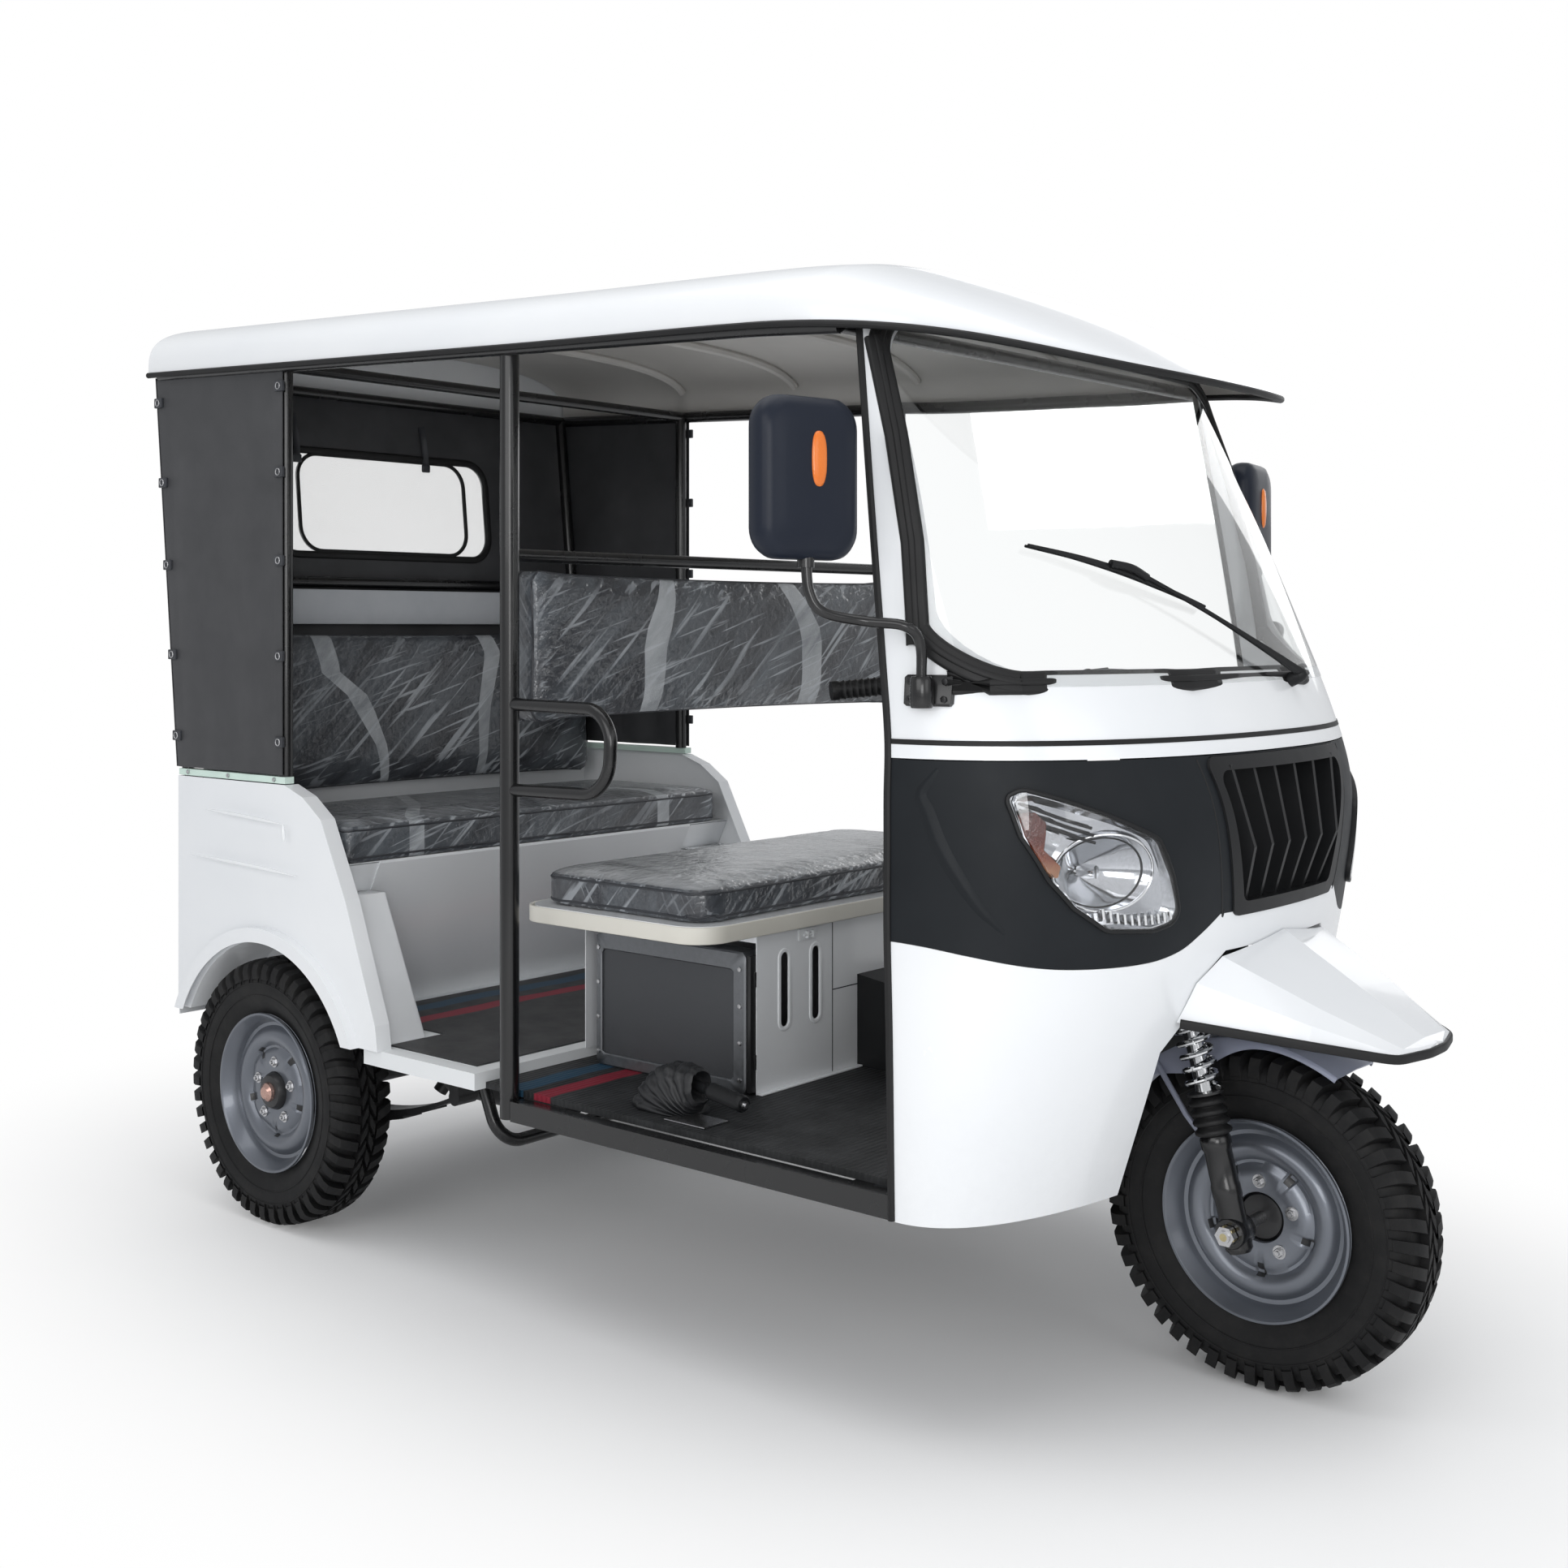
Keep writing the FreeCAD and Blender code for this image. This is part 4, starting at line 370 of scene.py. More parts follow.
def boolean(obj, cutter_mesh, operation="DIFFERENCE"):
    """Cut an object's mesh with a closed mesh."""
    cutter = new_object("cutter", cutter_mesh)
    add_modifier(obj, "BOOLEAN", object=cutter, operation=operation, solver="EXACT")
    apply_modifiers(obj)
    bpy.data.objects.remove(cutter)
    return obj


# Materials

class Net:
    """The nodes of a material or world, made by short calls; an input takes a number, a colour or a socket."""

    def __init__(self, owner):
        self.material = bpy.data.materials.new(owner) if isinstance(owner, str) else owner
        self.material.use_nodes = True
        self.nodes, self.links = self.material.node_tree.nodes, self.material.node_tree.links
        self.shader = self.nodes.get("Principled BSDF")

    def feed(self, node, inputs):
        """Put values or sockets into a node's inputs."""
        for key, value in dict(inputs).items():
            socket = node.inputs[key]
            if isinstance(value, bpy.types.NodeSocket):
                self.links.new(value, socket)
            elif socket.type == "RGBA":
                socket.default_value = tuple(value) + (1.0,)
            else:
                socket.default_value = value

    def node(self, kind, inputs=(), **settings):
        """A node with its settings and inputs."""
        node = self.nodes.new("ShaderNode" + kind)
        for key, value in settings.items():
            setattr(node, key, value)
        self.feed(node, inputs)
        return node

    def shade(self, inputs):
        """Set the shader's inputs."""
        self.feed(self.shader, inputs)

    def math(self, operation, *values):
        """The result of a calculation."""
        return self.node("Math", enumerate(values), operation=operation).outputs[0]

    def spread(self, value, *limits):
        """A value carried from one range (low, high) to another, 0 to 1 if none is given."""
        keys = ("From Min", "From Max", "To Min", "To Max")
        return self.node("MapRange", {"Value": value, **dict(zip(keys, limits))}).outputs["Result"]

    def space(self, kind="Object"):
        """The object's own coordinates, or its normals."""
        return self.node("TexCoord").outputs[kind]

    def along(self, axis, kind="Object"):
        """One of the coordinates."""
        return self.node("SeparateXYZ", {"Vector": self.space(kind)}).outputs[axis]

    def mapped(self, source, **inputs):
        """Coordinates turned or stretched."""
        return self.node("Mapping", {"Vector": source, **inputs}).outputs["Vector"]

    def noise(self, scale, detail=4.0, roughness=0.55, stretch=(1, 1, 1), distortion=0.0, turn=None):
        """A noise texture, its coordinates turned and then stretched."""
        source = self.space()
        if turn:
            source = self.mapped(source, Rotation=[math.radians(a) for a in turn])
        inputs = {"Vector": self.mapped(source, Scale=stretch), "Scale": scale, "Detail": detail,
                  "Roughness": roughness, "Distortion": distortion}
        return self.node("TexNoise", inputs).outputs["Fac"]

    def cells(self, scale, feature="F1"):
        """Distances in a pattern of cells."""
        node = self.node("TexVoronoi", {"Vector": self.space(), "Scale": scale}, feature=feature)
        return node.outputs["Distance"]

    def creases(self, scale):
        """The fine creases of grained vinyl."""
        return self.ramp(self.cells(scale, "DISTANCE_TO_EDGE"), (0.0, 0.0), (0.12, 1.0))

    def ramp(self, source, *stops):
        """A colour ramp over a value; a number stands for a grey."""
        node = self.node("ValToRGB", {"Fac": source})
        elements = node.color_ramp.elements
        while len(elements) < len(stops):
            elements.new(0.5)
        for element, (place, colour) in zip(elements, stops):
            element.position = place
            element.color = (tuple(colour) if isinstance(colour, (list, tuple)) else (colour,) * 3) + (1.0,)
        return node.outputs["Color"]

    def mix(self, factor, first, second):
        """Mix of two colours by a factor."""
        return self.node("Mix", {0: factor, 6: first, 7: second}, data_type="RGBA").outputs[2]

    def bump(self, height, strength, distance, target="Normal"):
        """Bump from a height value, added to what is there."""
        goal = self.shader.inputs[target]
        inputs = {"Height": height, "Strength": strength, "Distance": distance}
        if goal.is_linked:
            inputs["Normal"] = goal.links[0].from_socket
        self.links.new(self.node("Bump", inputs).outputs["Normal"], goal)


def painted(name, colour, shade, roughness, coat=0.4, dirt=0.0, peel=0.02, metallic=0.0):
    """Sprayed paint: slight shade changes, orange peel, a little dust low down."""
    net = Net(name)
    tone = net.ramp(net.noise(2.2, 3.0), (0.35, shade), (0.65, colour))
    if dirt:
        low_down = net.spread(net.along("Z"), 0.30, 0.62, 1.0, 0.0)
        specks = net.math("MULTIPLY", net.noise(60.0, 8.0, 0.7), low_down)
        tone = net.mix(net.math("MULTIPLY", specks, dirt), tone, tuple(c * 0.62 for c in colour))
    net.shade({"Base Color": tone, "Metallic": metallic, "Coat Weight": coat, "Coat Roughness": 0.06,
               "Roughness": net.spread(net.noise(9.0, 5.0), 0.0, 1.0, roughness * 0.8, roughness * 1.25)})
    net.bump(net.noise(420.0, 2.0), peel, 0.0006)
    return net.material


def moulded(name, colour, lighter, roughness, grain=700.0, depth=0.25, specular=0.5):
    """Moulded plastic or rubber: fine grain and slow shade changes."""
    net = Net(name)
    net.shade({"Base Color": net.ramp(net.noise(5.0, 5.0), (0.3, colour), (0.75, lighter)),
               "Roughness": net.spread(net.noise(22.0), 0.0, 1.0, roughness * 0.85, min(1.0, roughness * 1.2)),
               "Specular IOR Level": specular})
    net.bump(net.cells(grain), depth, 0.0004)
    return net.material


def metal(name, colour, roughness, brushed=0.15, scale=180.0):
    """Bare or plated metal with fine marks."""
    net = Net(name)
    marks = net.noise(scale, 6.0, 0.6, (1, 6, 1))
    net.shade({"Base Color": net.ramp(marks, (0.2, tuple(c * 0.72 for c in colour)), (0.8, colour)), "Metallic": 1.0,
               "Roughness": net.spread(marks, 0.0, 1.0, roughness * 0.7, roughness * 1.4)})
    net.bump(marks, brushed, 0.0003)
    return net.material


def clear(name, tint, roughness, ior=1.45, waviness=0.0, alpha=None):
    """Glass or clear sheet."""
    net = Net(name)
    net.shade({"Base Color": tint, "IOR": ior,
               "Roughness": net.spread(net.noise(14.0, 6.0, 0.6), 0.0, 1.0, roughness, roughness + 0.03)})
    net.shade({"Transmission Weight": 1.0} if alpha is None else {"Alpha": alpha})
    if waviness:
        net.bump(net.noise(7.0, 3.0), waviness, 0.01)
    return net.material


def leather(name, colour, lighter, roughness, scale=260.0, depth=0.4):
    """Grained vinyl: cells with creases, and slow changes of shade."""
    net = Net(name)
    net.shade({"Base Color": net.ramp(net.noise(6.0, 5.0, 0.6), (0.3, colour), (0.7, lighter)),
               "Roughness": roughness})
    net.bump(net.creases(scale), depth, 0.0005)
    return net.material


def cross_stripes(net, colour, stripes):
    """Lay stripes that run along Y over a colour, their edges a little wavy."""
    sway = 0.050
    waved = net.math("MULTIPLY_ADD", net.noise(4.0, 2.0), sway, net.along("X"))
    for start, end, tint in stripes:
        away = net.math("ABSOLUTE", net.math("SUBTRACT", waved, (start + end) / 2 + sway / 2))
        half = (end - start) / 2
        colour = net.mix(net.spread(away, half + 0.002, half - 0.002, 0.0, 0.85), colour, tint)
    return colour


def ribbed_mat(name, colour, pitch, stripes):
    """Ribbed rubber matting with dust in patches and stripes across it."""
    net = Net(name)
    wave = net.node("TexWave", {"Vector": net.space(), "Scale": 0.314 / pitch, "Distortion": 0.0},
                    bands_direction="X")
    dusty = tuple(min(1, c * 2.2 + 0.008) for c in colour)
    tone = net.ramp(net.noise(11.0, 7.0, 0.65), (0.42, colour), (0.8, dusty))
    net.shade({"Base Color": cross_stripes(net, tone, stripes), "Roughness": 0.6, "Specular IOR Level": 0.3})
    net.bump(wave.outputs["Fac"], 0.6, 0.0015)
    return net.material


def striped_tray(name):
    """White tray with a dark mat on it that has a red and a blue stripe across."""
    net = Net(name)
    base = net.ramp(net.noise(16.0, 6.0, 0.6), (0.35, (0.024, 0.025, 0.026)), (0.75, 0.062))
    mat = cross_stripes(net, base, [(-0.716, -0.672, STRIPE_RED), (-0.812, -0.762, STRIPE_BLUE)])
    on_top = net.math("GREATER_THAN", net.along("Z"), 0.4206)
    net.shade({"Base Color": net.mix(on_top, (0.78, 0.80, 0.81), mat), "Roughness": 0.5, "Specular IOR Level": 0.35})
    net.bump(net.noise(240.0, 3.0), 0.35, 0.0008)
    return net.material


def graded(name, stops, roughness):
    """Moulded lens whose colour changes with height."""
    net = Net(name)
    low, high = stops[0][0], stops[-1][0]
    colours = [((z - low) / (high - low), colour) for z, colour in stops]
    net.shade({"Base Color": net.ramp(net.spread(net.along("Z"), low, high), *colours), "Roughness": roughness})
    net.bump(net.noise(260.0, 2.0), 0.6, 0.002)
    return net.material


def tyre_rubber(name):
    """Tyre rubber: dark, slightly dusty in patches."""
    net = Net(name)
    dust = net.noise(18.0, 8.0, 0.7)
    net.shade({"Base Color": net.ramp(dust, (0.45, (0.0045, 0.0045, 0.005)), (0.95, (0.020, 0.019, 0.018))),
               "Roughness": 0.62, "Specular IOR Level": 0.3})
    net.bump(net.noise(300.0, 3.0), 0.25, 0.0005)
    return net.material


def wrapped_vinyl(name, stripes, along, glare=0.0):
    """Dark vinyl with light curved stripes, under a clear crinkled wrap whose highlights are painted into the colour.

    stripes holds, for the right and the left side, places along an axis with centre and half width of the stripe.
    """
    net = Net(name)
    colour = net.ramp(net.noise(6.0, 5.0, 0.6), (0.3, (0.024, 0.026, 0.032)), (0.7, (0.038, 0.041, 0.049)))
    mask = None
    for side, stops in stripes:
        low, high = stops[0][0], stops[-1][0]
        share = net.spread(net.along(along), low, high)
        centre, width = [net.ramp(share, *[((stop[0] - low) / (high - low), stop[i]) for stop in stops])
                         for i in (1, 2)]
        apart = net.math("ABSOLUTE", net.math("SUBTRACT", net.math("MULTIPLY", net.along("Y"), side), centre))
        inside = net.spread(net.math("SUBTRACT", width, apart), -0.0008, 0.0008)
        mask = inside if mask is None else net.math("MAXIMUM", mask, inside)
    if mask is not None:
        colour = net.mix(mask, colour, (0.42, 0.44, 0.46))
    net.bump(net.creases(330.0), 0.3, 0.0005)
    # the wrap: painted highlights of pulled folds and fine glints that run aslant on each face, over a thin haze
    crumples = net.noise(22.0, 3.0, 0.6, (1.4, 0.7, 1.7), 0.8)
    # the haze is partly the wrap's own clouding and partly painted sheen
    haze_and_sheen = net.ramp(net.noise(6.0, 4.0, 0.6, (2.2, 2.2, 0.5), 0.4, (50, 0, 0)), (0.40, 0.0), (0.70, 0.8))
    colour = net.mix(haze_and_sheen, colour, (0.120, 0.138, 0.156))
    # painted highlight: glare lightens the faces that look up, in pools
    if glare:
        upward = net.spread(net.along("Z", "Normal"), 0.72, 0.99, 0.0, glare)
        pools = net.ramp(net.noise(7.0, 4.0, 0.6, (1.0, 1.6, 1.0), 0.8), (0.36, 0.40), (0.56, 1.0))
        colour = net.mix(net.math("MULTIPLY", upward, pools), colour, (0.60, 0.615, 0.63))
    net.bump(crumples, 0.5, 0.003, "Coat Normal")
    # bright gathers the painted highlights of the folds and glints on each face
    bright = None
    for axis, lean, across in (("X", (47, 0, 0), (74, 0, 0)), ("Y", (0, -42, 0), (0, 30, 0)),
                               ("Z", (90, -37, 0), (90, 20, 0))):
        folds = net.noise(5.0, 2.0, 0.5, (12.0, 12.0, 0.65), 0.14, lean)
        glints = net.noise(5.0, 2.0, 0.5, (24.0, 24.0, 1.1), 0.10, across)
        net.bump(folds, 0.6, 0.006, "Coat Normal")
        faced = net.spread(net.math("ABSOLUTE", net.along(axis, "Normal")), 0.55, 0.75)
        for source, start, end in ((folds, 0.585, 0.66), (glints, 0.60, 0.68)):
            seen = net.math("MULTIPLY", net.ramp(source, (start, 0.0), (end, 1.0)), faced)
            bright = seen if bright is None else net.math("MAXIMUM", bright, seen)
    patches = net.ramp(net.noise(3.0, 2.0), (0.40, 0.12), (0.62, 1.0))
    painted_streak_share = net.math("MULTIPLY", net.math("MULTIPLY", bright, patches), 0.58)
    net.shade({"Base Color": net.mix(painted_streak_share, colour, (0.60, 0.64, 0.68)), "Roughness": 0.46, "Coat Weight": 0.9,
               "Coat Roughness": 0.10})
    return net.material


STRIPE_RED, STRIPE_BLUE = (0.28, 0.016, 0.036), (0.018, 0.070, 0.125)
WHITE = painted("paint_white", (0.86, 0.875, 0.89), (0.82, 0.84, 0.862), 0.24, coat=0.5, dirt=0.25)
WHITE_INSIDE = painted("paint_white_inside", (0.80, 0.82, 0.83), (0.75, 0.77, 0.785), 0.4, coat=0.1, dirt=0.3)
LINER = painted("roof_liner", (0.60, 0.585, 0.56), (0.54, 0.525, 0.50), 0.55, coat=0.0)
BAND = moulded("plastic_band", (0.0070, 0.0090, 0.0115), (0.0110, 0.0135, 0.0165), 0.46, 900.0, 0.10, 0.22)
PLASTIC = moulded("plastic_black", (0.007, 0.0075, 0.0085), (0.012, 0.0125, 0.0135), 0.42, 700.0, 0.2, 0.28)
GAITER = leather("gaiter_black", (0.009, 0.0095, 0.011), (0.018, 0.019, 0.021), 0.42, 380.0, 0.3)
IVORY = moulded("edging_ivory", (0.66, 0.64, 0.57), (0.72, 0.70, 0.64), 0.4, 500.0, 0.06)
RADIATOR_FRAME = metal("radiator_frame", (0.27, 0.28, 0.295), 0.48, 0.2, 90.0)
NAVY = moulded("plastic_mirror", (0.011, 0.015, 0.026), (0.015, 0.019, 0.030), 0.36, 900.0, 0.10, 0.22)
RUBBER = moulded("rubber_black", (0.005, 0.005, 0.0055), (0.011, 0.011, 0.0115), 0.5, 500.0, 0.12, 0.35)
TUBE_BLACK = painted("paint_tube", (0.006, 0.006, 0.0065), (0.004, 0.004, 0.0045), 0.26, coat=0.25, peel=0.05)
STEEL_BLACK = painted("paint_chassis", (0.018, 0.018, 0.019), (0.011, 0.011, 0.012), 0.42, coat=0.15, peel=0.12)
MINT = painted("paint_mint", (0.70, 0.84, 0.77), (0.62, 0.78, 0.70), 0.35, coat=0.3)
RIM = painted("paint_rim", (0.20, 0.215, 0.245), (0.13, 0.142, 0.165), 0.34, coat=0.35, metallic=0.65, peel=0.08)
GUARD = painted("paint_guard", (0.36, 0.38, 0.47), (0.26, 0.28, 0.36), 0.4, coat=0.3, metallic=0.3)
TYRE = tyre_rubber("rubber_tyre")
CHROME = metal("chrome", (0.86, 0.87, 0.88), 0.08, 0.03)
REFLECTOR = metal("reflector", (0.58, 0.595, 0.62), 0.10, 0.02)
COPPER_CHROME = metal("chrome_reddish", (0.62, 0.40, 0.34), 0.25)
STEEL = metal("steel_bright", (0.62, 0.62, 0.63), 0.28)
ZINC = metal("zinc_gold", (0.60, 0.52, 0.30), 0.35, 0.3)
ALLOY = metal("alloy_cast", (0.42, 0.42, 0.43), 0.5, 0.5, 90.0)
RADIATOR = metal("radiator_core", (0.16, 0.165, 0.175), 0.6, 0.5, 240.0)
GLASS = clear("glass_screen", (0.97, 0.985, 0.985), 0.0)
LENS = clear("lens_clear", (0.985, 0.99, 1.0), 0.0)
WINDOW = clear("sheet_clear", (0.96, 0.975, 0.98), 0.03, 1.3, 0.5, alpha=0.22)
AMBER_SOLID = moulded("lens_amber_solid", (0.75, 0.17, 0.02), (0.9, 0.27, 0.05), 0.18, 260.0, 0.4)
RED_LENS = moulded("lens_red", (0.42, 0.008, 0.008), (0.55, 0.02, 0.015), 0.16, 220.0, 0.5)
LAMP_AMBER = graded("lamp_amber", [(0.896, (0.40, 0.19, 0.10)), (0.914, (0.24, 0.060, 0.024)),
                                   (0.940, (0.115, 0.018, 0.009)), (0.980, (0.085, 0.013, 0.007))], 0.16)
VINYL = leather("vinyl_seat", (0.026, 0.028, 0.034), (0.040, 0.043, 0.050), 0.42, 320.0, 0.35)
VINYL_GREY = leather("vinyl_grey", (0.52, 0.545, 0.58), (0.60, 0.62, 0.65), 0.45, 320.0, 0.3)
CURTAIN = leather("curtain_cloth", (0.034, 0.035, 0.038), (0.054, 0.055, 0.059), 0.48, 420.0, 0.4)
MAT = ribbed_mat("mat_driver", (0.019, 0.020, 0.021), 0.012,
                 [(-0.192, -0.146, STRIPE_BLUE), (-0.116, -0.072, STRIPE_RED)])

# The record's slots with their materials, first the one that the CAD nodes wear
SLOTS = {
    "white_paint": (WHITE, WHITE_INSIDE, LINER, IVORY),
    "black_band": (BAND,),
    "black_tube": (TUBE_BLACK,),
    "black_plastic": (PLASTIC, NAVY, GAITER, GUARD),
    "floor_mat": (MAT,),
    "seat_vinyl": (VINYL, VINYL_GREY),
    "curtain_vinyl": (CURTAIN,),
    "clear_vinyl": (WINDOW,),
    "mint_paint": (MINT,),
    "screen_glass": (GLASS,),
    "lamp_lens": (LENS, LAMP_AMBER),
    "lamp_chrome": (REFLECTOR,),
    "black_rubber": (RUBBER,),
    "tyre_rubber": (TYRE,),
    "rim_paint": (RIM, COPPER_CHROME),
    "engine_alloy": (ALLOY,),
    "radiator_grey": (RADIATOR, RADIATOR_FRAME),
    "black_steel": (STEEL_BLACK,),
    "bright_steel": (STEEL, CHROME, ZINC),
    "red_lens": (RED_LENS, AMBER_SOLID)}


# The cowl's form

LEVELS = [(0.351, 0.322, -0.110, 0.622, 2.40), (0.640, 0.324, -0.010, 0.625, 2.30),
          (0.800, 0.328, 0.035, 0.625, 2.20), (0.920, 0.330, 0.050, 0.622, 2.20), (1.000, 0.333, 0.046, 0.618, 2.20),
          (1.085, 0.336, 0.015, 0.612, 2.25), (1.200, 0.350, -0.040, 0.606, 2.30),
          (1.450, 0.385, -0.185, 0.590, 2.50), (1.766, 0.435, -0.403, 0.560, 3.00)]
COWL_LOW, COWL_TOP = LEVELS[0][0], LEVELS[-1][0]
SKIN = 0.003
GAP = 0.0006


def level(z):
    """Rear edge, reach, half width and fullness of the cowl at a height, by a smooth curve through the levels."""
    z = max(COWL_LOW, min(COWL_TOP, z))
    count = len(LEVELS)
    i = max(k for k in range(count - 1) if LEVELS[k][0] <= z + 1e-9)
    t = (z - LEVELS[i][0]) / (LEVELS[i + 1][0] - LEVELS[i][0])
    values = []
    for c in range(1, 5):
        p = [LEVELS[min(max(k, 0), count - 1)] for k in (i - 1, i, i + 1, i + 2)]
        slope_a = (p[2][c] - p[0][c]) / (p[2][0] - p[0][0])
        slope_b = (p[3][c] - p[1][c]) / (p[3][0] - p[1][0])
        width = p[2][0] - p[1][0]
        values.append(p[1][c] * (2 * t ** 3 - 3 * t * t + 1) + slope_a * width * (t ** 3 - 2 * t * t + t) + p[2][c]
                      * (3 * t * t - 2 * t ** 3) + slope_b * width * (t ** 3 - t * t))
    return values


def cowl_at(u, z, inset=0.0):
    """A point of the cowl: u runs from -1 at the right door edge to 1 at the left."""
    rear, reach, half, power = level(z)
    angle = u * math.pi / 2
    x = FRONT - rear + (reach + rear - inset) * max(0.0, math.cos(angle)) ** (2 / power)
    y = (half - inset) * signed_power(math.sin(angle), 2 / power)
    return Vector((x, y, z))


def cowl_x(y, z, proud=0.0):
    """Place along X of the cowl's surface in front of a point of the front view."""
    rear, reach, half, power = level(z)
    half += proud
    share = min(1.0, abs(y) / half)
    return FRONT - rear + (reach + rear + proud) * (1 - share ** power) ** (1 / power)


def on_cowl(y, z, proud=0.0):
    """A point on the cowl, or standing off it."""
    base = Vector((cowl_x(y, z), y, z))
    return base + cowl_normal(y, z) * proud if proud else base


def cowl_normal(y, z):
    """Outward direction of the cowl's surface."""
    step = 0.002
    half = level(z)[2]
    side = math.copysign(min(abs(y), half - 2 * step), y)
    across = Vector((cowl_x(side + step, z) - cowl_x(side - step, z), 2 * step, 0))
    up = Vector((cowl_x(side, z + step) - cowl_x(side, z - step), 0, 2 * step))
    normal = across.cross(up).normalized()
    return normal if normal.x > 0 else -normal


def cowl_path(outline):
    """Points and normals of a line on the cowl, from places in the front view."""
    return [on_cowl(y, z) for y, z in outline], [cowl_normal(y, z) for y, z in outline]


def cowl_line(outline, steps, closed=False):
    """Points and normals of a smooth line on the cowl."""
    return cowl_path([(p.x, p.y) for p in smooth_line([(y, z, 0) for y, z in outline], steps, closed)])


def ahead_of_cowl(y, z, out):
    """A point of the front view, straight ahead of the cowl's surface or behind it."""
    return Vector((cowl_x(y, z) + out, y, z))


def cowl_shell(low, high, columns=150, rows=90, skin=SKIN, proud=0.0):
    """A skin of the cowl between two heights, each a number or a function of the sideways place."""
    low_at = low if callable(low) else (lambda y: low)
    high_at = high if callable(high) else (lambda y: high)
    outer, inner = [], []
    for i in range(rows + 1):
        share = i / rows
        line_out, line_in = [], []
        for j in range(columns + 1):
            u = -1 + 2 * j / columns
            z = 0.5 * (low_at(0) + high_at(0))
            for _ in range(6):
                y = cowl_at(u, z).y
                z = low_at(y) + (high_at(y) - low_at(y)) * share
            line_out.append(cowl_at(u, z, -proud))
            line_in.append(cowl_at(u, z, skin - proud))
        outer.append(line_out)
        inner.append(line_in)
    columns_count = columns + 1
    points = [p for row in outer for p in row] + [p for row in inner for p in row]
    offset = len(outer) * columns_count
    faces = grid_faces(rows + 1, columns_count)
    faces += [tuple(reversed([k + offset for k in f])) for f in grid_faces(rows + 1, columns_count)]
    rim = list(range(columns_count))
    rim += [i * columns_count + columns for i in range(1, rows + 1)]
    rim += [rows * columns_count + j for j in range(columns - 1, -1, -1)]
    rim += [i * columns_count for i in range(rows - 1, 0, -1)]
    for a, b in zip(rim, rim[1:] + rim[:1]):
        faces.append((b, a, a + offset, b + offset))
    mesh = mesh_from(points, faces)
    clean(mesh)
    return new_object("cowl_shell", mesh)


def piecewise(points):
    """A smooth curve through places, as a function of the distance from the middle."""
    line = smooth_line([(a, b, 0) for a, b in points], 10)

    def at(y):
        y = abs(y)
        for p, q in zip(line, line[1:]):
            if p.x <= y <= q.x:
                return p.y + (q.y - p.y) * (y - p.x) / max(q.x - p.x, 1e-9)
        return line[0].y if y < line[0].x else line[-1].y

    return at


WAIST_Z, STRIP_HEIGHT, BAND_TOP = 1.085, 0.025, 1.058
BAND_NOSE_HALF, BAND_NOSE_Z = 0.214, 0.808
band_edge_curve = piecewise([(0.214, 0.808), (0.256, 0.779), (0.302, 0.755), (0.377, 0.743), (0.507, 0.746),
                             (0.594, 0.766), (0.662, 0.800)])


def band_edge(y):
    """Height of the black band's lower edge."""
    return BAND_NOSE_Z if abs(y) <= BAND_NOSE_HALF else band_edge_curve(y)


SCREEN = [(-0.590, 1.187), (0.590, 1.187), (0.538, 1.752), (-0.538, 1.752)]
SCREEN_CORNER = 0.096


def screen_outline(grow):
    """The windscreen's outline, grown or shrunk."""
    points = [(y + math.copysign(grow, y), z + math.copysign(grow, z - 1.4)) for y, z in SCREEN]
    return rounded_outline(points, SCREEN_CORNER + grow, 12)


LAMP = [(0.566, 1.026), (0.509, 1.003), (0.437, 0.972), (0.366, 0.938), (0.338, 0.880), (0.314, 0.808),
        (0.366, 0.796), (0.443, 0.801), (0.492, 0.838), (0.524, 0.881), (0.553, 0.948)]


def lamp_outline(side, grow):
    """The headlamp's leaf-shaped outline."""
    mean_y = sum(y for y, z in LAMP) / len(LAMP)
    mean_z = sum(z for y, z in LAMP) / len(LAMP)
    points = []
    for y, z in LAMP:
        away = Vector((y - mean_y, z - mean_z))
        away = away * ((away.length + grow) / away.length)
        points.append((side * (mean_y + away.x), mean_z + away.y))
    return rounded_outline(points, 0.030, 5)


def grille_outline(grow):
    """The grille's tapered opening."""
    points = [(-0.160 - grow, 0.822 - grow), (0.160 + grow, 0.822 - grow), (0.226 + grow, 1.034 + grow),
              (-0.226 - grow, 1.034 + grow)]
    return rounded_outline(points, 0.018, 4)


WELL_HALF, WELL_TOP, NOSE_ROOT = 0.285, 0.640, 0.232


def pierce(obj, outline, operation="DIFFERENCE"):
    """Cut an outline of the front view out of a panel, or keep only what lies in it."""
    boolean(obj, prism_x(outline, FRONT - 0.42, FRONT + 0.35), operation)


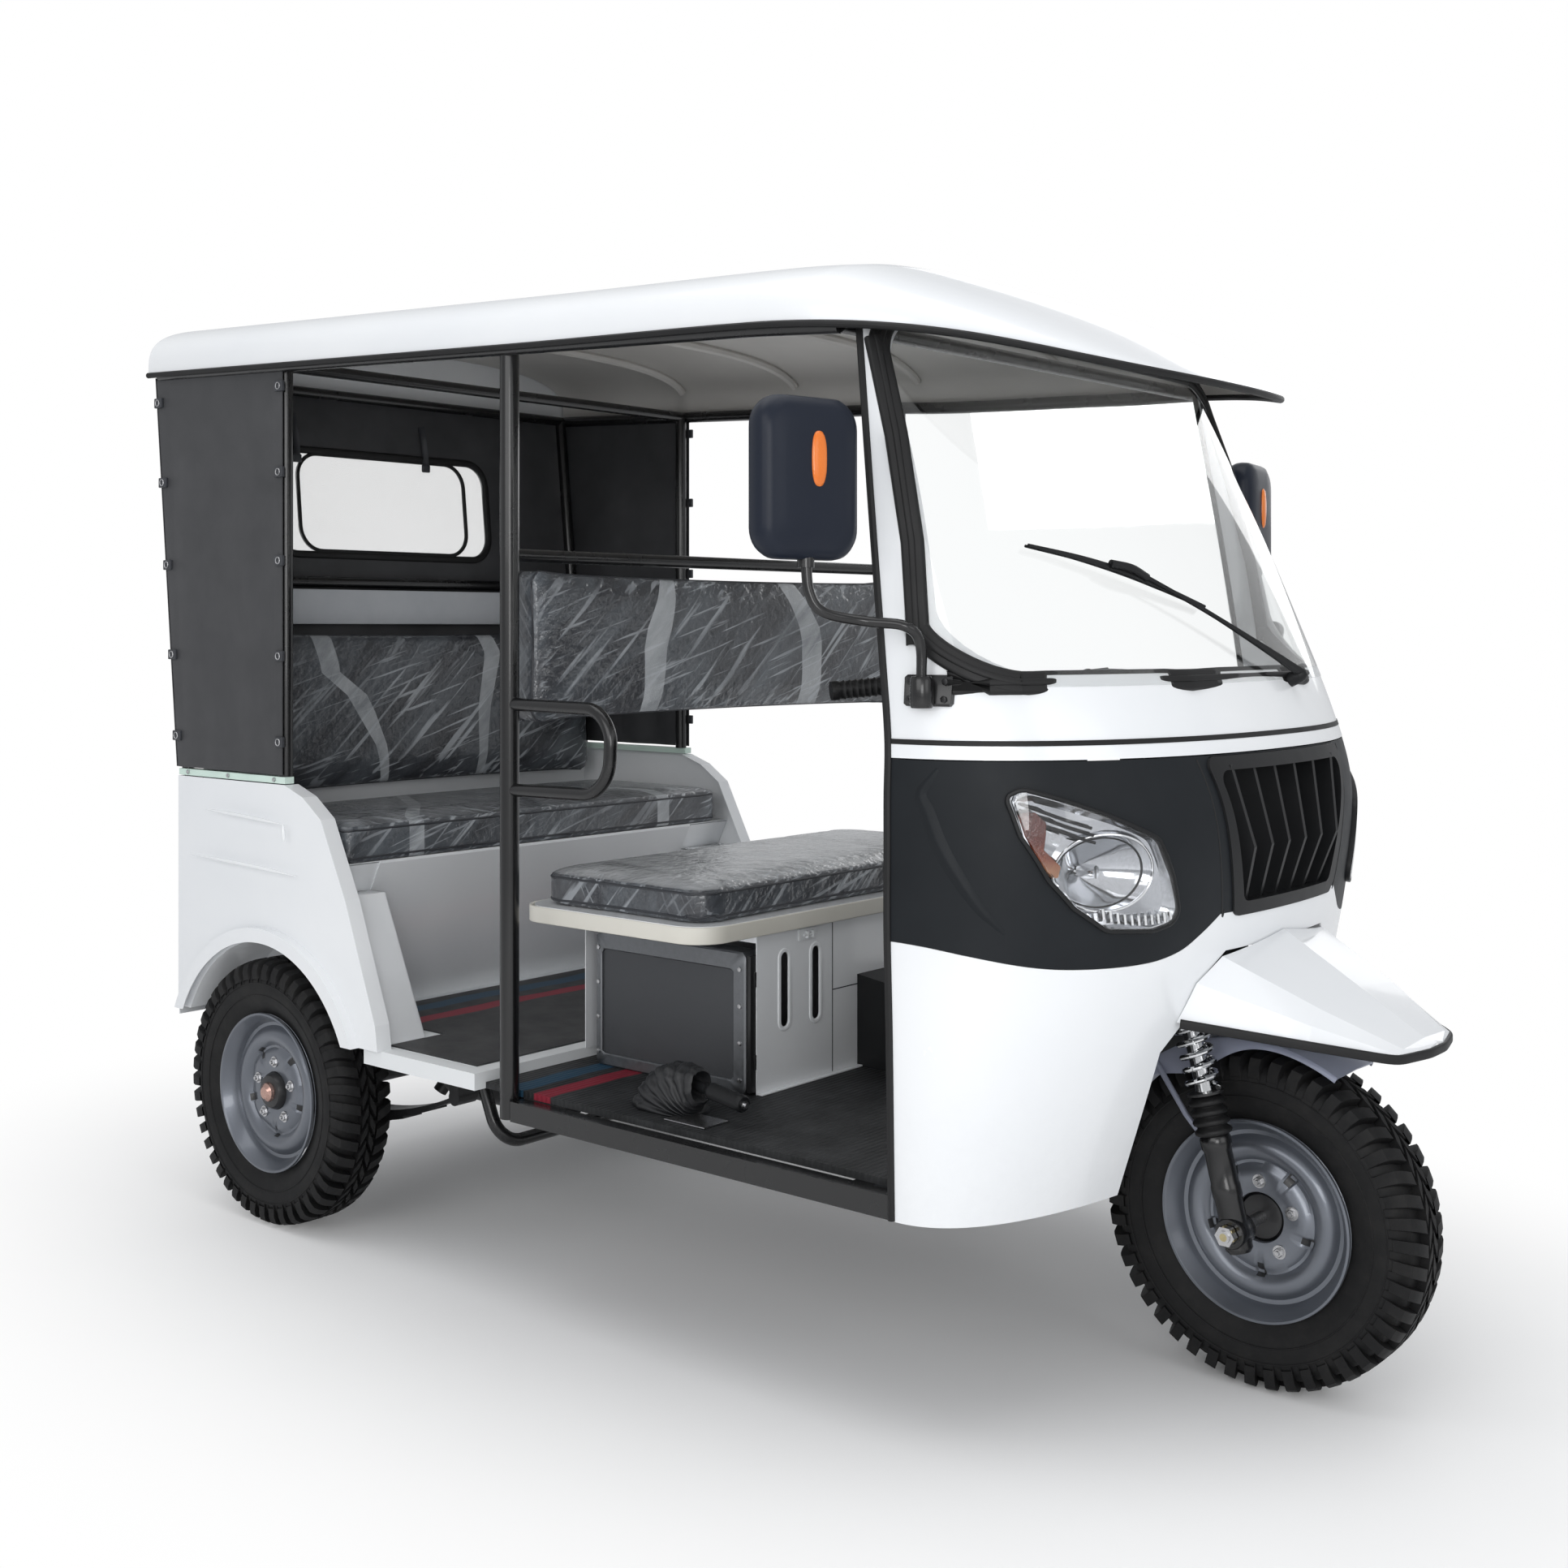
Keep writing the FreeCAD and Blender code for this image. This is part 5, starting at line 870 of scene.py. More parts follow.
def make_cowl():
    """The cowl's white top with its strip, the black band and the white leg shield."""
    top = cowl_shell(WAIST_Z + GAP, COWL_TOP, 160, 100)
    pierce(top, screen_outline(0.0))
    piece("upper_panel", top, WHITE, replaces=["upper_cowl"])
    strip = cowl_shell(WAIST_Z - GAP - STRIP_HEIGHT + GAP, WAIST_Z - GAP, 160, 6, proud=0.001)
    piece("waist_strip", strip, WHITE)
    seam = cowl_shell(WAIST_Z - 0.004, WAIST_Z + 0.004, 160, 2, skin=0.002, proud=0.0016)
    piece("waist_seam", seam, RUBBER)
    band = cowl_shell(band_edge, BAND_TOP, 200, 60)
    for side in (-1, 1):
        pierce(band, lamp_outline(side, 0.0003))
    pierce(band, grille_outline(0.0226))
    piece("black_band", band, BAND, replaces=["cowl_band"])
    shield = cowl_shell(COWL_LOW, lambda y: band_edge(y) - GAP, 200, 60)
    opening = [(-WELL_HALF, 0.30), (WELL_HALF, 0.30), (WELL_HALF, WELL_TOP - 0.05), (NOSE_ROOT, WELL_TOP + 0.01),
               (NOSE_ROOT, WELL_TOP + 0.06), (NOSE_ROOT - 0.052, WELL_TOP + 0.104),
               (0.052 - NOSE_ROOT, WELL_TOP + 0.104), (-NOSE_ROOT, WELL_TOP + 0.06), (-NOSE_ROOT, WELL_TOP + 0.01),
               (-WELL_HALF, WELL_TOP - 0.05)]
    pierce(shield, opening)
    piece("leg_shield_panel", shield, WHITE, replaces=["leg_shield"])


def make_windscreen():
    """Curved glass in a thick rubber seal."""
    glass = cowl_shell(1.12, COWL_TOP, 120, 70, skin=0.005, proud=0.001)
    pierce(glass, screen_outline(-0.0175), "INTERSECT")
    piece("screen_glass", glass, GLASS, replaces=["windscreen_glass"])
    path, normals = cowl_line(screen_outline(-0.012), 3, closed=True)
    seal = sweep(path, normals, rounded_section(0.0185, -0.006, 0.0085, 0.006), closed=True)
    lip = sweep(path, normals, rounded_section(0.0055, 0.004, 0.0115, 0.0035), closed=True)
    piece("screen_seal", [seal, lip], RUBBER, replaces=["windscreen_seal"])


# The roof's form

TAIL_BACK, VISOR_REACH, ROOF_HALF, ROOF_SKIN = 2.402, 0.062, 0.636, 0.004
CROWN_RISE, VISOR_START = 0.138, 0.600
EAVES = [(-2.402, 1.828), (-1.220, 1.774), (-0.420, 1.737), (-0.062, 1.668)]
VISOR_POWER = 2.1


def roof_half(x):
    """Half width of the roof in plan."""
    start, tip = FRONT - VISOR_START, FRONT - VISOR_REACH
    share = min(1.0, max(0.0, (x - start) / (tip - start)))
    return ROOF_HALF * (1 - share ** VISOR_POWER) ** (1 / VISOR_POWER)


eave_line = smooth_line([(x, z, 0) for x, z in EAVES], 16)


def roof_eave(x):
    """Height of the eave."""
    place = x - FRONT
    for p, q in zip(eave_line, eave_line[1:]):
        if place <= q.x:
            return p.y + (q.y - p.y) * (place - p.x) / (q.x - p.x)
    return EAVES[-1][1]


def roof_fullness(x):
    """Squareness of the roof's section along its length."""
    share = min(1.0, max(0.0, (x - (FRONT - VISOR_START)) / (VISOR_START - VISOR_REACH)))
    return 3.6 - 0.3 * min(1.0, (x - (FRONT - TAIL_BACK)) / (TAIL_BACK - VISOR_START)) - 1.0 * share ** 1.6


def roof_point(x, angle, drop):
    """A point of the roof's section at an angle from its crown."""
    rise_share = min(1.0, max(0.0, (FRONT - VISOR_REACH - x) / 0.42)) ** 0.85
    rise = max(0.006, CROWN_RISE * rise_share) - drop
    power = roof_fullness(x)
    y = (roof_half(x) - drop) * signed_power(math.sin(angle), 2 / power)
    return Vector((x, y, roof_eave(x) + rise * max(0.0, math.cos(angle)) ** (2 / power)))


def roof_rows(drop, columns, first, last):
    """Rows of points across the roof, closer together in the visor."""
    rows = []
    start = FRONT - VISOR_START
    places = [first + (start - first) * i / 24 for i in range(24)]
    places += [start + (last - start) * math.sin(math.radians(90 * k / 36)) for k in range(37)]
    for x in places:
        rows.append([roof_point(x, (-1 + 2 * j / columns) * math.pi / 2, drop) for j in range(columns + 1)])
    return rows


def make_roof():
    """Moulded white roof with a visor, its grey-brown underside, ribs and black edge trim."""
    columns = 72
    tail, tip = FRONT - TAIL_BACK, FRONT - VISOR_REACH - 0.0005
    outer = roof_rows(0.0, columns, tail, tip)
    mesh = grid(outer)
    end_cap = mesh_from(outer[0], [tuple(range(len(outer[0])))])
    roof = piece("roof_panel", [mesh, end_cap], WHITE, replaces=["roof_shell"], degrees=50)
    inner = roof_rows(ROOF_SKIN, columns, tail + ROOF_SKIN, tip - 0.008)
    liner = grid(inner)
    liner.flip_normals()
    piece("roof_liner", liner, LINER)
    edge = [Vector(row[0]) for row in outer] + [Vector(row[-1]) for row in reversed(outer[:-1])]
    trim = tube(edge, 0.0065, 10)
    piece("roof_edge_trim", trim, RUBBER)
    ribs = []
    for back in (0.78, 1.16, 1.54, 1.92):
        x = FRONT - back
        line = []
        for k in range(-16, 17):
            line.append(roof_point(x, k / 16 * math.pi / 2 * 0.80, ROOF_SKIN + 0.008))
        ribs.append(tube(line, 0.011, 8))
    piece("roof_ribs", ribs, LINER)
    return roof


# Wheels

LUGS = 46
TYRE_SECTION = [(0.0, 0.2645), (0.020, 0.2640), (0.040, 0.2620), (0.052, 0.2560), (0.060, 0.2430), (0.0635, 0.2280),
                (0.0625, 0.2120), (0.0600, 0.1980), (0.0565, 0.1860), (0.0520, 0.1760), (0.0500, 0.1700),
                (0.0490, 0.1640)]
TYRE_INSIDE = [(0.046, 0.164), (0.046, 0.180), (0.0, 0.245), (-0.046, 0.180), (-0.046, 0.164)]
SHOULDER_LUG = [(0.021, 0.2610, 0.2788), (0.036, 0.2595, 0.2784), (0.050, 0.2530, 0.2755), (0.0585, 0.2440, 0.2700),
                (0.0635, 0.2370, 0.2560), (0.0638, 0.2300, 0.2385)]
CROWN_BLOCK = [(0.0022, 0.2600, 0.2790), (0.0165, 0.2600, 0.2790)]


def wheel_centre(node):
    """Middle of a wheel, at the height that all three share."""
    place = middle("tyre_" + node)
    return Vector((place.x, place.y, WHEEL_Z))


def tread_block(centre, side, stations, bend, flare=0.0):
    """A block of the tread from (axial, foot, top) stations; bend gives the angle at a place."""
    rows = []
    for share, top in ((-0.5, False), (-0.5, True), (0.5, True), (0.5, False)):
        row = []
        for i, (axial, low, high) in enumerate(stations):
            a, radius = bend(share, top, axial), high if top else low
            out = flare if top and i >= 3 else 0.0
            row.append(centre + Vector((radius * math.cos(a), side * (axial + out), radius * math.sin(a))))
        rows.append(row)
    return grid(rows, closed_rows=True)


def fill_holes(mesh):
    """Close the open ends of a mesh."""
    work = bmesh.new()
    work.from_mesh(mesh)
    bmesh.ops.holes_fill(work, edges=[e for e in work.edges if e.is_boundary])
    work.to_mesh(mesh)
    work.free()
    return mesh


def make_tyre(node, body):
    """Tyre with square-cut shoulder lugs, centre blocks and thin ribs on its side walls."""
    centre = wheel_centre(node)
    outer = [(-a, r) for a, r in reversed(TYRE_SECTION[1:])] + TYRE_SECTION
    meshes = [turned_closed(outer + TYRE_INSIDE, centre, 120)]
    for side in (-1, 1):
        for radius, axial in ((0.2050, 0.0612), (0.2300, 0.0632)):
            ring = [centre + Vector((radius * math.cos(a), side * axial, radius * math.sin(a))) for a in turns(90)]
            meshes.append(tube(ring, 0.0016, 6, closed=True))
    pitch = 2 * math.pi / LUGS
    for angle in turns(LUGS):
        for side in (-1, 1):
            start = angle + (pitch / 2 if side > 0 else 0.0)

            def shoulder(share, top, axial):
                return start + pitch * 0.60 * share * (0.88 if top else 1.0) + 0.05 * (axial - 0.02) / 0.04

            def crown(share, top, axial):
                return start + pitch * 0.62 * share * (0.9 if top else 1.0) - 0.10 * (axial - 0.002) / 0.015

            meshes.append(tread_block(centre, side, SHOULDER_LUG, shoulder, 0.0012))
            meshes.append(fill_holes(tread_block(centre, side, CROWN_BLOCK, crown)))
    piece("tyre_" + node + "_tread", meshes, TYRE, body, replaces=["tyre_" + node], degrees=38)


def disc_profile(front):
    """Section of the pressed wheel from its outer flange to the hub hole, outwards positive."""
    points = [(0.0560, 0.1670), (0.0600, 0.1660), (0.0605, 0.1620), (0.0575, 0.1590), (0.0500, 0.1560),
              (0.0440, 0.1500), (0.0330, 0.1470), (0.0260, 0.1430), (0.0250, 0.1360), (0.0300, 0.1310),
              (0.0375, 0.1250), (0.0400, 0.1160), (0.0385, 0.1060), (0.0330, 0.0985), (0.0290, 0.0940),
              (0.0300, 0.0890), (0.0350, 0.0840), (0.0365, 0.0760), (0.0355, 0.0640), (0.0340, 0.0500)]
    points += [(0.0325, 0.0420), (0.0300, 0.0405)] if front else [(0.0335, 0.0400), (0.0310, 0.0385)]
    return points


def notched(step, radial):
    """Whether a place of the disc lies in one of the five notches between its nuts."""
    apart = (step - 24) % 32
    apart = min(apart, 32 - apart)
    return apart <= 2 and 0.0755 < radial < 0.0950


def make_rim(node, body, side, front):
    """Pressed steel wheel: flange, well, bulged disc, scalloped centre with its nuts."""
    centre = Vector((middle(node).x, middle("tyre_" + node[4:]).y, WHEEL_Z))
    scallops, steps = 5, 160
    rows = []
    outer = disc_profile(front)
    back_face = [(a - 0.003, r) for a, r in reversed(outer)]
    back_face[-1] = (0.0530, 0.1640)
    barrel = [(0.0500, 0.1640), (0.0300, 0.1560), (-0.0300, 0.1560), (-0.0500, 0.1640), (-0.0570, 0.1660),
              (-0.0560, 0.1690), (-0.0480, 0.1665), (-0.0290, 0.1590), (0.0290, 0.1590), (0.0480, 0.1665)]
    loop = outer + back_face[:-1]
    for k, a in enumerate(turns(steps)):
        row = []
        for axial, radial in loop:
            x = axial
            if notched(k, radial):
                x -= 0.0042
            if 0.060 < radial < 0.100:
                wave = 0.5 + 0.5 * math.cos(scallops * a)
                pull = math.exp(-((radial - 0.086) / 0.012) ** 2)
                x -= 0.0060 * (1 - wave) * pull
            row.append(centre + Vector((radial * math.cos(a), side * x, radial * math.sin(a))))
        rows.append(row)
    disc = grid(rows, closed_rows=True, closed_columns=True)
    for face in disc.polygons:
        place = face.center - centre
        turn = math.degrees(math.atan2(place.z, place.x)) % 72
        radial = math.hypot(place.x, place.z)
        if abs(turn - 54) < 4.0 and 0.0745 < radial < 0.0965 and side * place.y > 0.0235:
            face.material_index = 1
    meshes = [disc, turned_closed([(side * a, r) for a, r in barrel], centre, 96)]
    piece(node + "_disc", meshes, [RIM, STEEL_BLACK], body, replaces=[node], degrees=40)
    bolts = []
    for k in range(scallops):
        a = 2 * math.pi * (k + 0.25) / scallops
        place = centre + Vector((0.061 * math.cos(a), side * 0.034, 0.061 * math.sin(a)))
        bolts.append(hexagon(place, Vector((0, side, 0)), 0.0082, 0.009))
        bolts.append(turned_closed([(0.0, 0.0), (side * 0.003, 0.0), (side * 0.003, 0.0115), (0.0, 0.0115)], place,
                                   20))
    piece(node + "_nuts", bolts, STEEL, body, degrees=30)


def hexagon(place, axis, radius, height):
    """A hexagonal nut with its stud."""
    side = axis.orthogonal().normalized()
    other = axis.cross(side)
    meshes = []
    for count, r, top in ((6, radius, height), (12, radius * 0.48, height * 1.35)):
        rows = []
        for z, grow in ((0.0, 1.0), (top * 0.86, 1.0), (top, 0.82)):
            rows.append([place + axis * z + (side * math.cos(2 * math.pi * k / count) + other
                                             * math.sin(2 * math.pi * k / count)) * r * grow for k in range(count)])
        meshes.append(grid(rows, closed_columns=True, caps=True))
    return joined(meshes)


def make_hub(name, body, centre, side, profile):
    """A hub at a wheel's middle."""
    piece(name, turned([(side * a, r) for a, r in profile], centre, 48), STEEL_BLACK, body)


def make_wheels():
    """The three wheels with their tyres, rims, nuts, hubs, and the front brake drum."""
    for node, side in (("front", -1), ("rear_left", 1), ("rear_right", -1)):
        front = node == "front"
        body = "front_wheel" if front else node.replace("rear", "rear_wheel")
        centre = wheel_centre(node)
        make_tyre(node, body)
        make_rim("rim_" + node, body, side, front)
        if front:
            make_hub("front_hub", body, centre, side, [(-0.040, 0.0), (-0.040, 0.036), (-0.020, 0.040),
                                                       (0.020, 0.040), (0.027, 0.036), (0.030, 0.024), (0.030, 0.0)])
            drum = turned_closed([(0.012, 0.020), (0.012, 0.112), (0.048, 0.112), (0.050, 0.108), (0.050, 0.020)],
                                 centre, 72)
            piece("front_drum", drum, ALLOY, body)
            continue
        name = node.replace("rear", "rear_hub")
        make_hub(name, body, centre, side, [(0.020, 0.0), (0.020, 0.0395), (0.040, 0.0380), (0.048, 0.0330),
                                            (0.050, 0.0200), (0.050, 0.0)])
        cap = [(0.048, 0.0), (0.048, 0.021), (0.056, 0.019), (0.062, 0.012), (0.063, 0.0)]
        piece(name + "_cap", turned([(side * a, r) for a, r in cap], centre, 32), COPPER_CHROME, body)


# Fork, springs, guard and handlebar

RAKE = math.radians(14)
LEG_Y = 0.122


def leg_point(z, side):
    """A point of a fork leg's centre line."""
    return Vector((FRONT - (z - WHEEL_Z) * math.tan(RAKE), side * LEG_Y, z))


def along_leg(side, stations, sides=28):
    """A turned piece along a fork leg from (height, radius) stations."""
    side_axis = Vector((math.cos(RAKE), 0, math.sin(RAKE)))
    rows = []
    for z, radius in stations:
        centre = leg_point(z, side)
        rows.append([centre + (side_axis * math.cos(a) + Vector((0, 1, 0)) * math.sin(a)) * radius
                     for a in turns(sides)])
    return grid(rows, closed_columns=True, caps=True)


def make_fork():
    """Fork legs with axle lugs and ribbed boots, chrome coil springs and the inner guard."""
    sliders, boots, tubes, springs, caps = [], [], [], [], []
    for side in (-1, 1):
        sliders.append(along_leg(side, [(0.246, 0.018), (0.252, 0.0225), (0.330, 0.0230), (0.335, 0.0245),
                                        (0.350, 0.0245), (0.355, 0.0230), (0.405, 0.0230), (0.409, 0.0255),
                                        (0.424, 0.0255), (0.428, 0.0235)]))
        lug = turned_closed([(-0.024, 0.0104), (-0.024, 0.0235), (-0.021, 0.0255), (0.021, 0.0255), (0.024, 0.0235),
                             (0.024, 0.0104)], Vector((FRONT, side * LEG_Y, WHEEL_Z)), 32)
        sliders.append(lug)
        stations = []
        folds = 4
        for i in range(folds):
            z = 0.4285 + 0.0155 * i
            stations += [(z, 0.0235), (z + 0.0030, 0.0295), (z + 0.0065, 0.0310), (z + 0.0100, 0.0295),
                         (z + 0.0140, 0.0240)]
        stations += [(0.4910, 0.0225)]
        boots.append(along_leg(side, stations))
        tubes.append(along_leg(side, [(0.4880, 0.0148), (0.6260, 0.0148)]))
        caps.append(along_leg(side, [(0.4925, 0.0160), (0.4925, 0.0300), (0.4965, 0.0300), (0.4965, 0.0160)]))
        caps.append(along_leg(side, [(0.6190, 0.0160), (0.6190, 0.0300), (0.6250, 0.0300), (0.6250, 0.0160)]))
        windings, steps = 5.6, 22
        line = []
        foot, head = leg_point(0.5010, side), leg_point(0.6150, side)
        side_axis = Vector((math.cos(RAKE), 0, math.sin(RAKE)))
        for k in range(int(windings * steps) + 1):
            a = 2 * math.pi * k / steps
            base = foot.lerp(head, k / (windings * steps))
            line.append(base + (side_axis * math.cos(a) + Vector((0, 1, 0)) * math.sin(a)) * 0.0255)
        springs.append(tube(line, 0.0048, 10))
    piece("fork_sliders", sliders, TUBE_BLACK, "steering", replaces=["fork_legs"])
    piece("fork_boots", boots, RUBBER, "steering", degrees=60)
    piece("fork_tubes", tubes, CHROME, "steering")
    piece("fork_coils", springs, CHROME, "steering", replaces=["fork_springs"])
    piece("fork_spring_seats", caps, STEEL_BLACK, "steering")
    make_guard()
    nuts = [hexagon(Vector((FRONT, side * 0.1485, WHEEL_Z)), Vector((0, side, 0)), 0.0165, 0.013) for side in (-1, 1)]
    piece("axle_nuts", nuts, ZINC, "steering", degrees=25)


def make_guard():
    """Pressed inner guard over the front wheel, with turned-down sides by the fork legs."""
    rows = []
    count = 64
    for k in range(count + 1):
        degrees = 60 + 94 * k / count
        a = math.radians(degrees)
        near_leg = math.exp(-((degrees - 112) / 17) ** 2)
        skirt = 0.006 + 0.040 * near_leg
        section = [(-0.0750, 0.300 - skirt), (-0.0750, 0.2985), (-0.0715, 0.3030), (-0.0300, 0.3045), (0.0, 0.3060),
                   (0.0300, 0.3045), (0.0715, 0.3030), (0.0750, 0.2985), (0.0750, 0.300 - skirt)]
        inner = [(y * 0.967, r - 0.0026 if abs(y) < 0.074 else r) for y, r in reversed(section)]
        rows.append([Vector((FRONT + r * math.cos(a), y, WHEEL_Z + r * math.sin(a))) for y, r in section + inner])
    arch = grid(rows, closed_columns=True, caps=True)
    stays = []
    for side in (-1, 1):
        a = math.radians(125)
        start = Vector((FRONT + 0.300 * math.cos(a), side * 0.077, WHEEL_Z + 0.300 * math.sin(a)))
        stays.append(tube([start, start.lerp(leg_point(0.368, side), 0.5) + Vector((0, side * 0.004, 0)),
                           leg_point(0.368, side) - Vector((0, side * 0.020, 0))], 0.005, 10))
    piece("fork_guard", [arch] + stays, GUARD, "steering", replaces=["fork_mudguard"], degrees=50)


def make_grips():
    """Ribbed rubber grips with levers ahead of them."""
    outer = Vector((FRONT - 0.567 - 0.040, 0.350 + 0.056, 1.151))
    inner = outer + Vector((0.138, -0.170, 0.019))
    direction = (outer - inner).normalized()
    end = outer + direction * 0.006
    side = direction.orthogonal().normalized()
    other = direction.cross(side)
    stations = [(0.0, 0.010), (0.0, 0.0165), (0.006, 0.0170)]
    for k in range(9):
        stations += [(0.012 + 0.011 * k, 0.0170), (0.0145 + 0.011 * k, 0.0153), (0.0205 + 0.011 * k, 0.0153),
                     (0.023 + 0.011 * k, 0.0170)]
    stations += [(0.121, 0.0170), (0.125, 0.0160), (0.125, 0.0116)]
    rows = [[end - direction * s + (side * math.cos(a) + other * math.sin(a)) * r for a in turns(26)] for s,
            r in stations]
    grip = grid(rows, closed_columns=True, caps=True)
    piece("ribbed_grips", both_sides(grip), RUBBER, "steering", replaces=["hand_grips"])
    pivot = inner + direction * 0.028 + Vector((0.030, 0.0, 0.004))
    lever = tube(smooth_line([pivot, pivot + direction * 0.05 + Vector((0.026, 0, -0.002)),
                              pivot + direction * 0.11 + Vector((0.030, 0, -0.006)),
                              pivot + direction * 0.150 + Vector((0.020, 0, -0.010))], 6), 0.0048, 8)
    perch = tube([inner + direction * 0.028 + Vector((-0.004, 0, 0)), pivot], 0.011, 12)
    piece("hand_levers", both_sides(joined([lever, perch])), PLASTIC, "steering")


# Nose, grille and lamps

NOSE_REACH, NOSE_TIP_HALF, NOSE_TIP_Z, NOSE_LIP_Z, NOSE_ROOT_HALF = 0.284, 0.092, 0.607, 0.640, 0.268
NOSE_SHARES = [(-0.20, 1.04, 1.0), (0.55, 0.56, 0.45), (0.93, 0.12, 0.0), (1.0, -0.35, 0.0)]


def make_nose_lip():
    """Thick black rubber along the hood's lower edge."""
    right = []
    for place, width, edge in NOSE_SHARES:
        half = NOSE_TIP_HALF + (NOSE_ROOT_HALF - NOSE_TIP_HALF) * width
        z = NOSE_TIP_Z - 0.012 + (NOSE_LIP_Z - NOSE_TIP_Z + 0.012) * edge
        right.append(Vector((FRONT + NOSE_REACH * place, -half, z)))
    start = right[0]
    for k in range(60):
        trial = right[0].lerp(right[1], k / 60)
        if trial.x > cowl_x(trial.y, trial.z) + 0.003:
            start = trial
            break
    line = [start, right[1], right[2], right[3]]
    whole = line + [Vector((p.x, -p.y, p.z)) for p in reversed(line)]
    dense = []
    for p, q in zip(whole, whole[1:]):
        dense += [p.lerp(q, k / 12) for k in range(12)]
    dense.append(whole[-1])
    for _ in range(5):
        dense = [dense[0]] + [(dense[i - 1] + dense[i] * 2 + dense[i + 1]) / 4
                              for i in range(1, len(dense) - 1)] + [dense[-1]]
    tangents, _ = frame_along(dense)
    section = rounded_section(0.0042, -0.0085, 0.0065, 0.0035)
    rows = []
    for point, tangent in zip(dense, tangents):
        up = (Vector((0, 0, 1)) - tangent * tangent.z).normalized()
        out = tangent.cross(up).normalized()
        rows.append([point + out * (a + 0.001) + up * b for a, b in section])
    piece("nose_lip", grid(rows, closed_columns=True, caps=True), RUBBER)


def make_band_lines():
    """Grille panel gap, the raised crease beside each lamp and the door edge rubbers."""
    gaps = []
    line = [(-0.262, 1.052), (-0.258, 1.030), (-0.214, 0.820), (-0.206, 0.812)]
    for side in (-1, 1):
        path, normals = cowl_line([(side * -y, z) for y, z in line], 10)
        gaps.append(sweep(path, normals, rounded_section(0.0016, -0.001, 0.0006, 0.0006)))
    piece("grille_panel_gap", gaps, RUBBER)
    creases = []
    swoosh = [(0.604, 1.046), (0.6125, 1.010), (0.6125, 0.981), (0.610, 0.930), (0.602, 0.885), (0.587, 0.838),
              (0.566, 0.802)]
    for side in (-1, 1):
        path, normals = cowl_line([(side * y, z) for y, z in swoosh], 10)
        count = len(path)
        rows = []
        tangents, _ = frame_along(path)
        for i, (point, tangent, normal) in enumerate(zip(path, tangents, normals)):
            grow = math.sin(math.pi * min(1.0, (i + 2) / (count + 3))) ** 0.7
            across = tangent.cross(normal).normalized()
            half = 0.004 + 0.012 * grow
            rows.append([point + across * half - normal * 0.002,
                         point + across * half * 0.25 + normal * 0.0052 * grow,
                         point - across * half * 0.15 + normal * 0.0058 * grow,
                         point - across * half - normal * 0.002])
        creases.append(grid(rows, closed_columns=True, caps=True))
    piece("band_creases", creases, BAND, degrees=60)
    edges = []
    for side in (-1, 1):
        line = []
        for k in range(80):
            z = COWL_LOW + 0.001 + (COWL_TOP - 0.012 - COWL_LOW) * k / 79
            rear, _, half, _ = level(z)
            line.append(Vector((FRONT - rear - 0.001, side * (half - 0.001), z)))
        edges.append(tube(line, 0.0068, 10))
    piece("door_edge_rubbers", edges, RUBBER)


def make_bowl(side, dense):
    """A lamp's reflector from its leaf-shaped rim into an elliptical bowl: its rows of points and its middle."""
    middle_y, middle_z, wide, tall = side * 0.436, 0.888, 0.074, 0.058
    angles = [math.atan2((z - middle_z) / tall, (y - middle_y) * side / wide) for y, z in dense]
    rims = [(middle_y + side * wide * math.cos(a), middle_z + tall * math.sin(a)) for a in angles]
    rows = []
    for depth, share in ((-0.0020, 0.0), (-0.0005, 0.08), (0.0060, 0.12), (0.0150, 0.24), (0.0200, 0.90),
                         (0.0120, 0.97), (0.0130, 1.0)):
        rows.append([ahead_of_cowl(y + (rim_y - y) * share, z + (rim_z - z) * share, -depth) for (y, z),
                     (rim_y, rim_z) in zip(dense, rims)])
    bottom = Vector((cowl_x(middle_y, middle_z) - 0.066, middle_y, middle_z))
    mouth = rows[-1]
    for k in range(1, 12):
        share = 1 - k / 11 * 0.86
        rows.append([Vector((bottom.x + (rim.x - 0.003 - bottom.x) * share ** 1.9,
                             middle_y + (rim_y - middle_y) * share, middle_z + (rim_z - middle_z) * share)) for rim,
                     (rim_y, rim_z) in zip(mouth, rims)])
    return rows, bottom


def make_corner_amber(side):
    """The crescent amber lens in a lamp's outer corner."""
    crescent = [(0.5500, 0.978), (0.5380, 0.984), (0.5260, 0.968), (0.5275, 0.948), (0.5300, 0.927), (0.5190, 0.912),
                (0.5110, 0.902), (0.5140, 0.885), (0.5300, 0.897), (0.5400, 0.919), (0.5470, 0.944)]
    shape = resample([(side * y, z) for y, z in crescent], 64)
    rows = []
    for scale, out in ((1.0, -0.010), (1.0, 0.0030), (0.85, 0.0046), (0.30, 0.0050), (0.0, 0.0050)):
        row = []
        for y, z in shape:
            spine = side * (0.5385 if z > 0.925 else 0.5205 + 0.018 * (z - 0.887) / 0.038)
            row.append(ahead_of_cowl(spine + (y - spine) * scale, z, out))
        rows.append(row)
    return grid(rows, closed_columns=True)


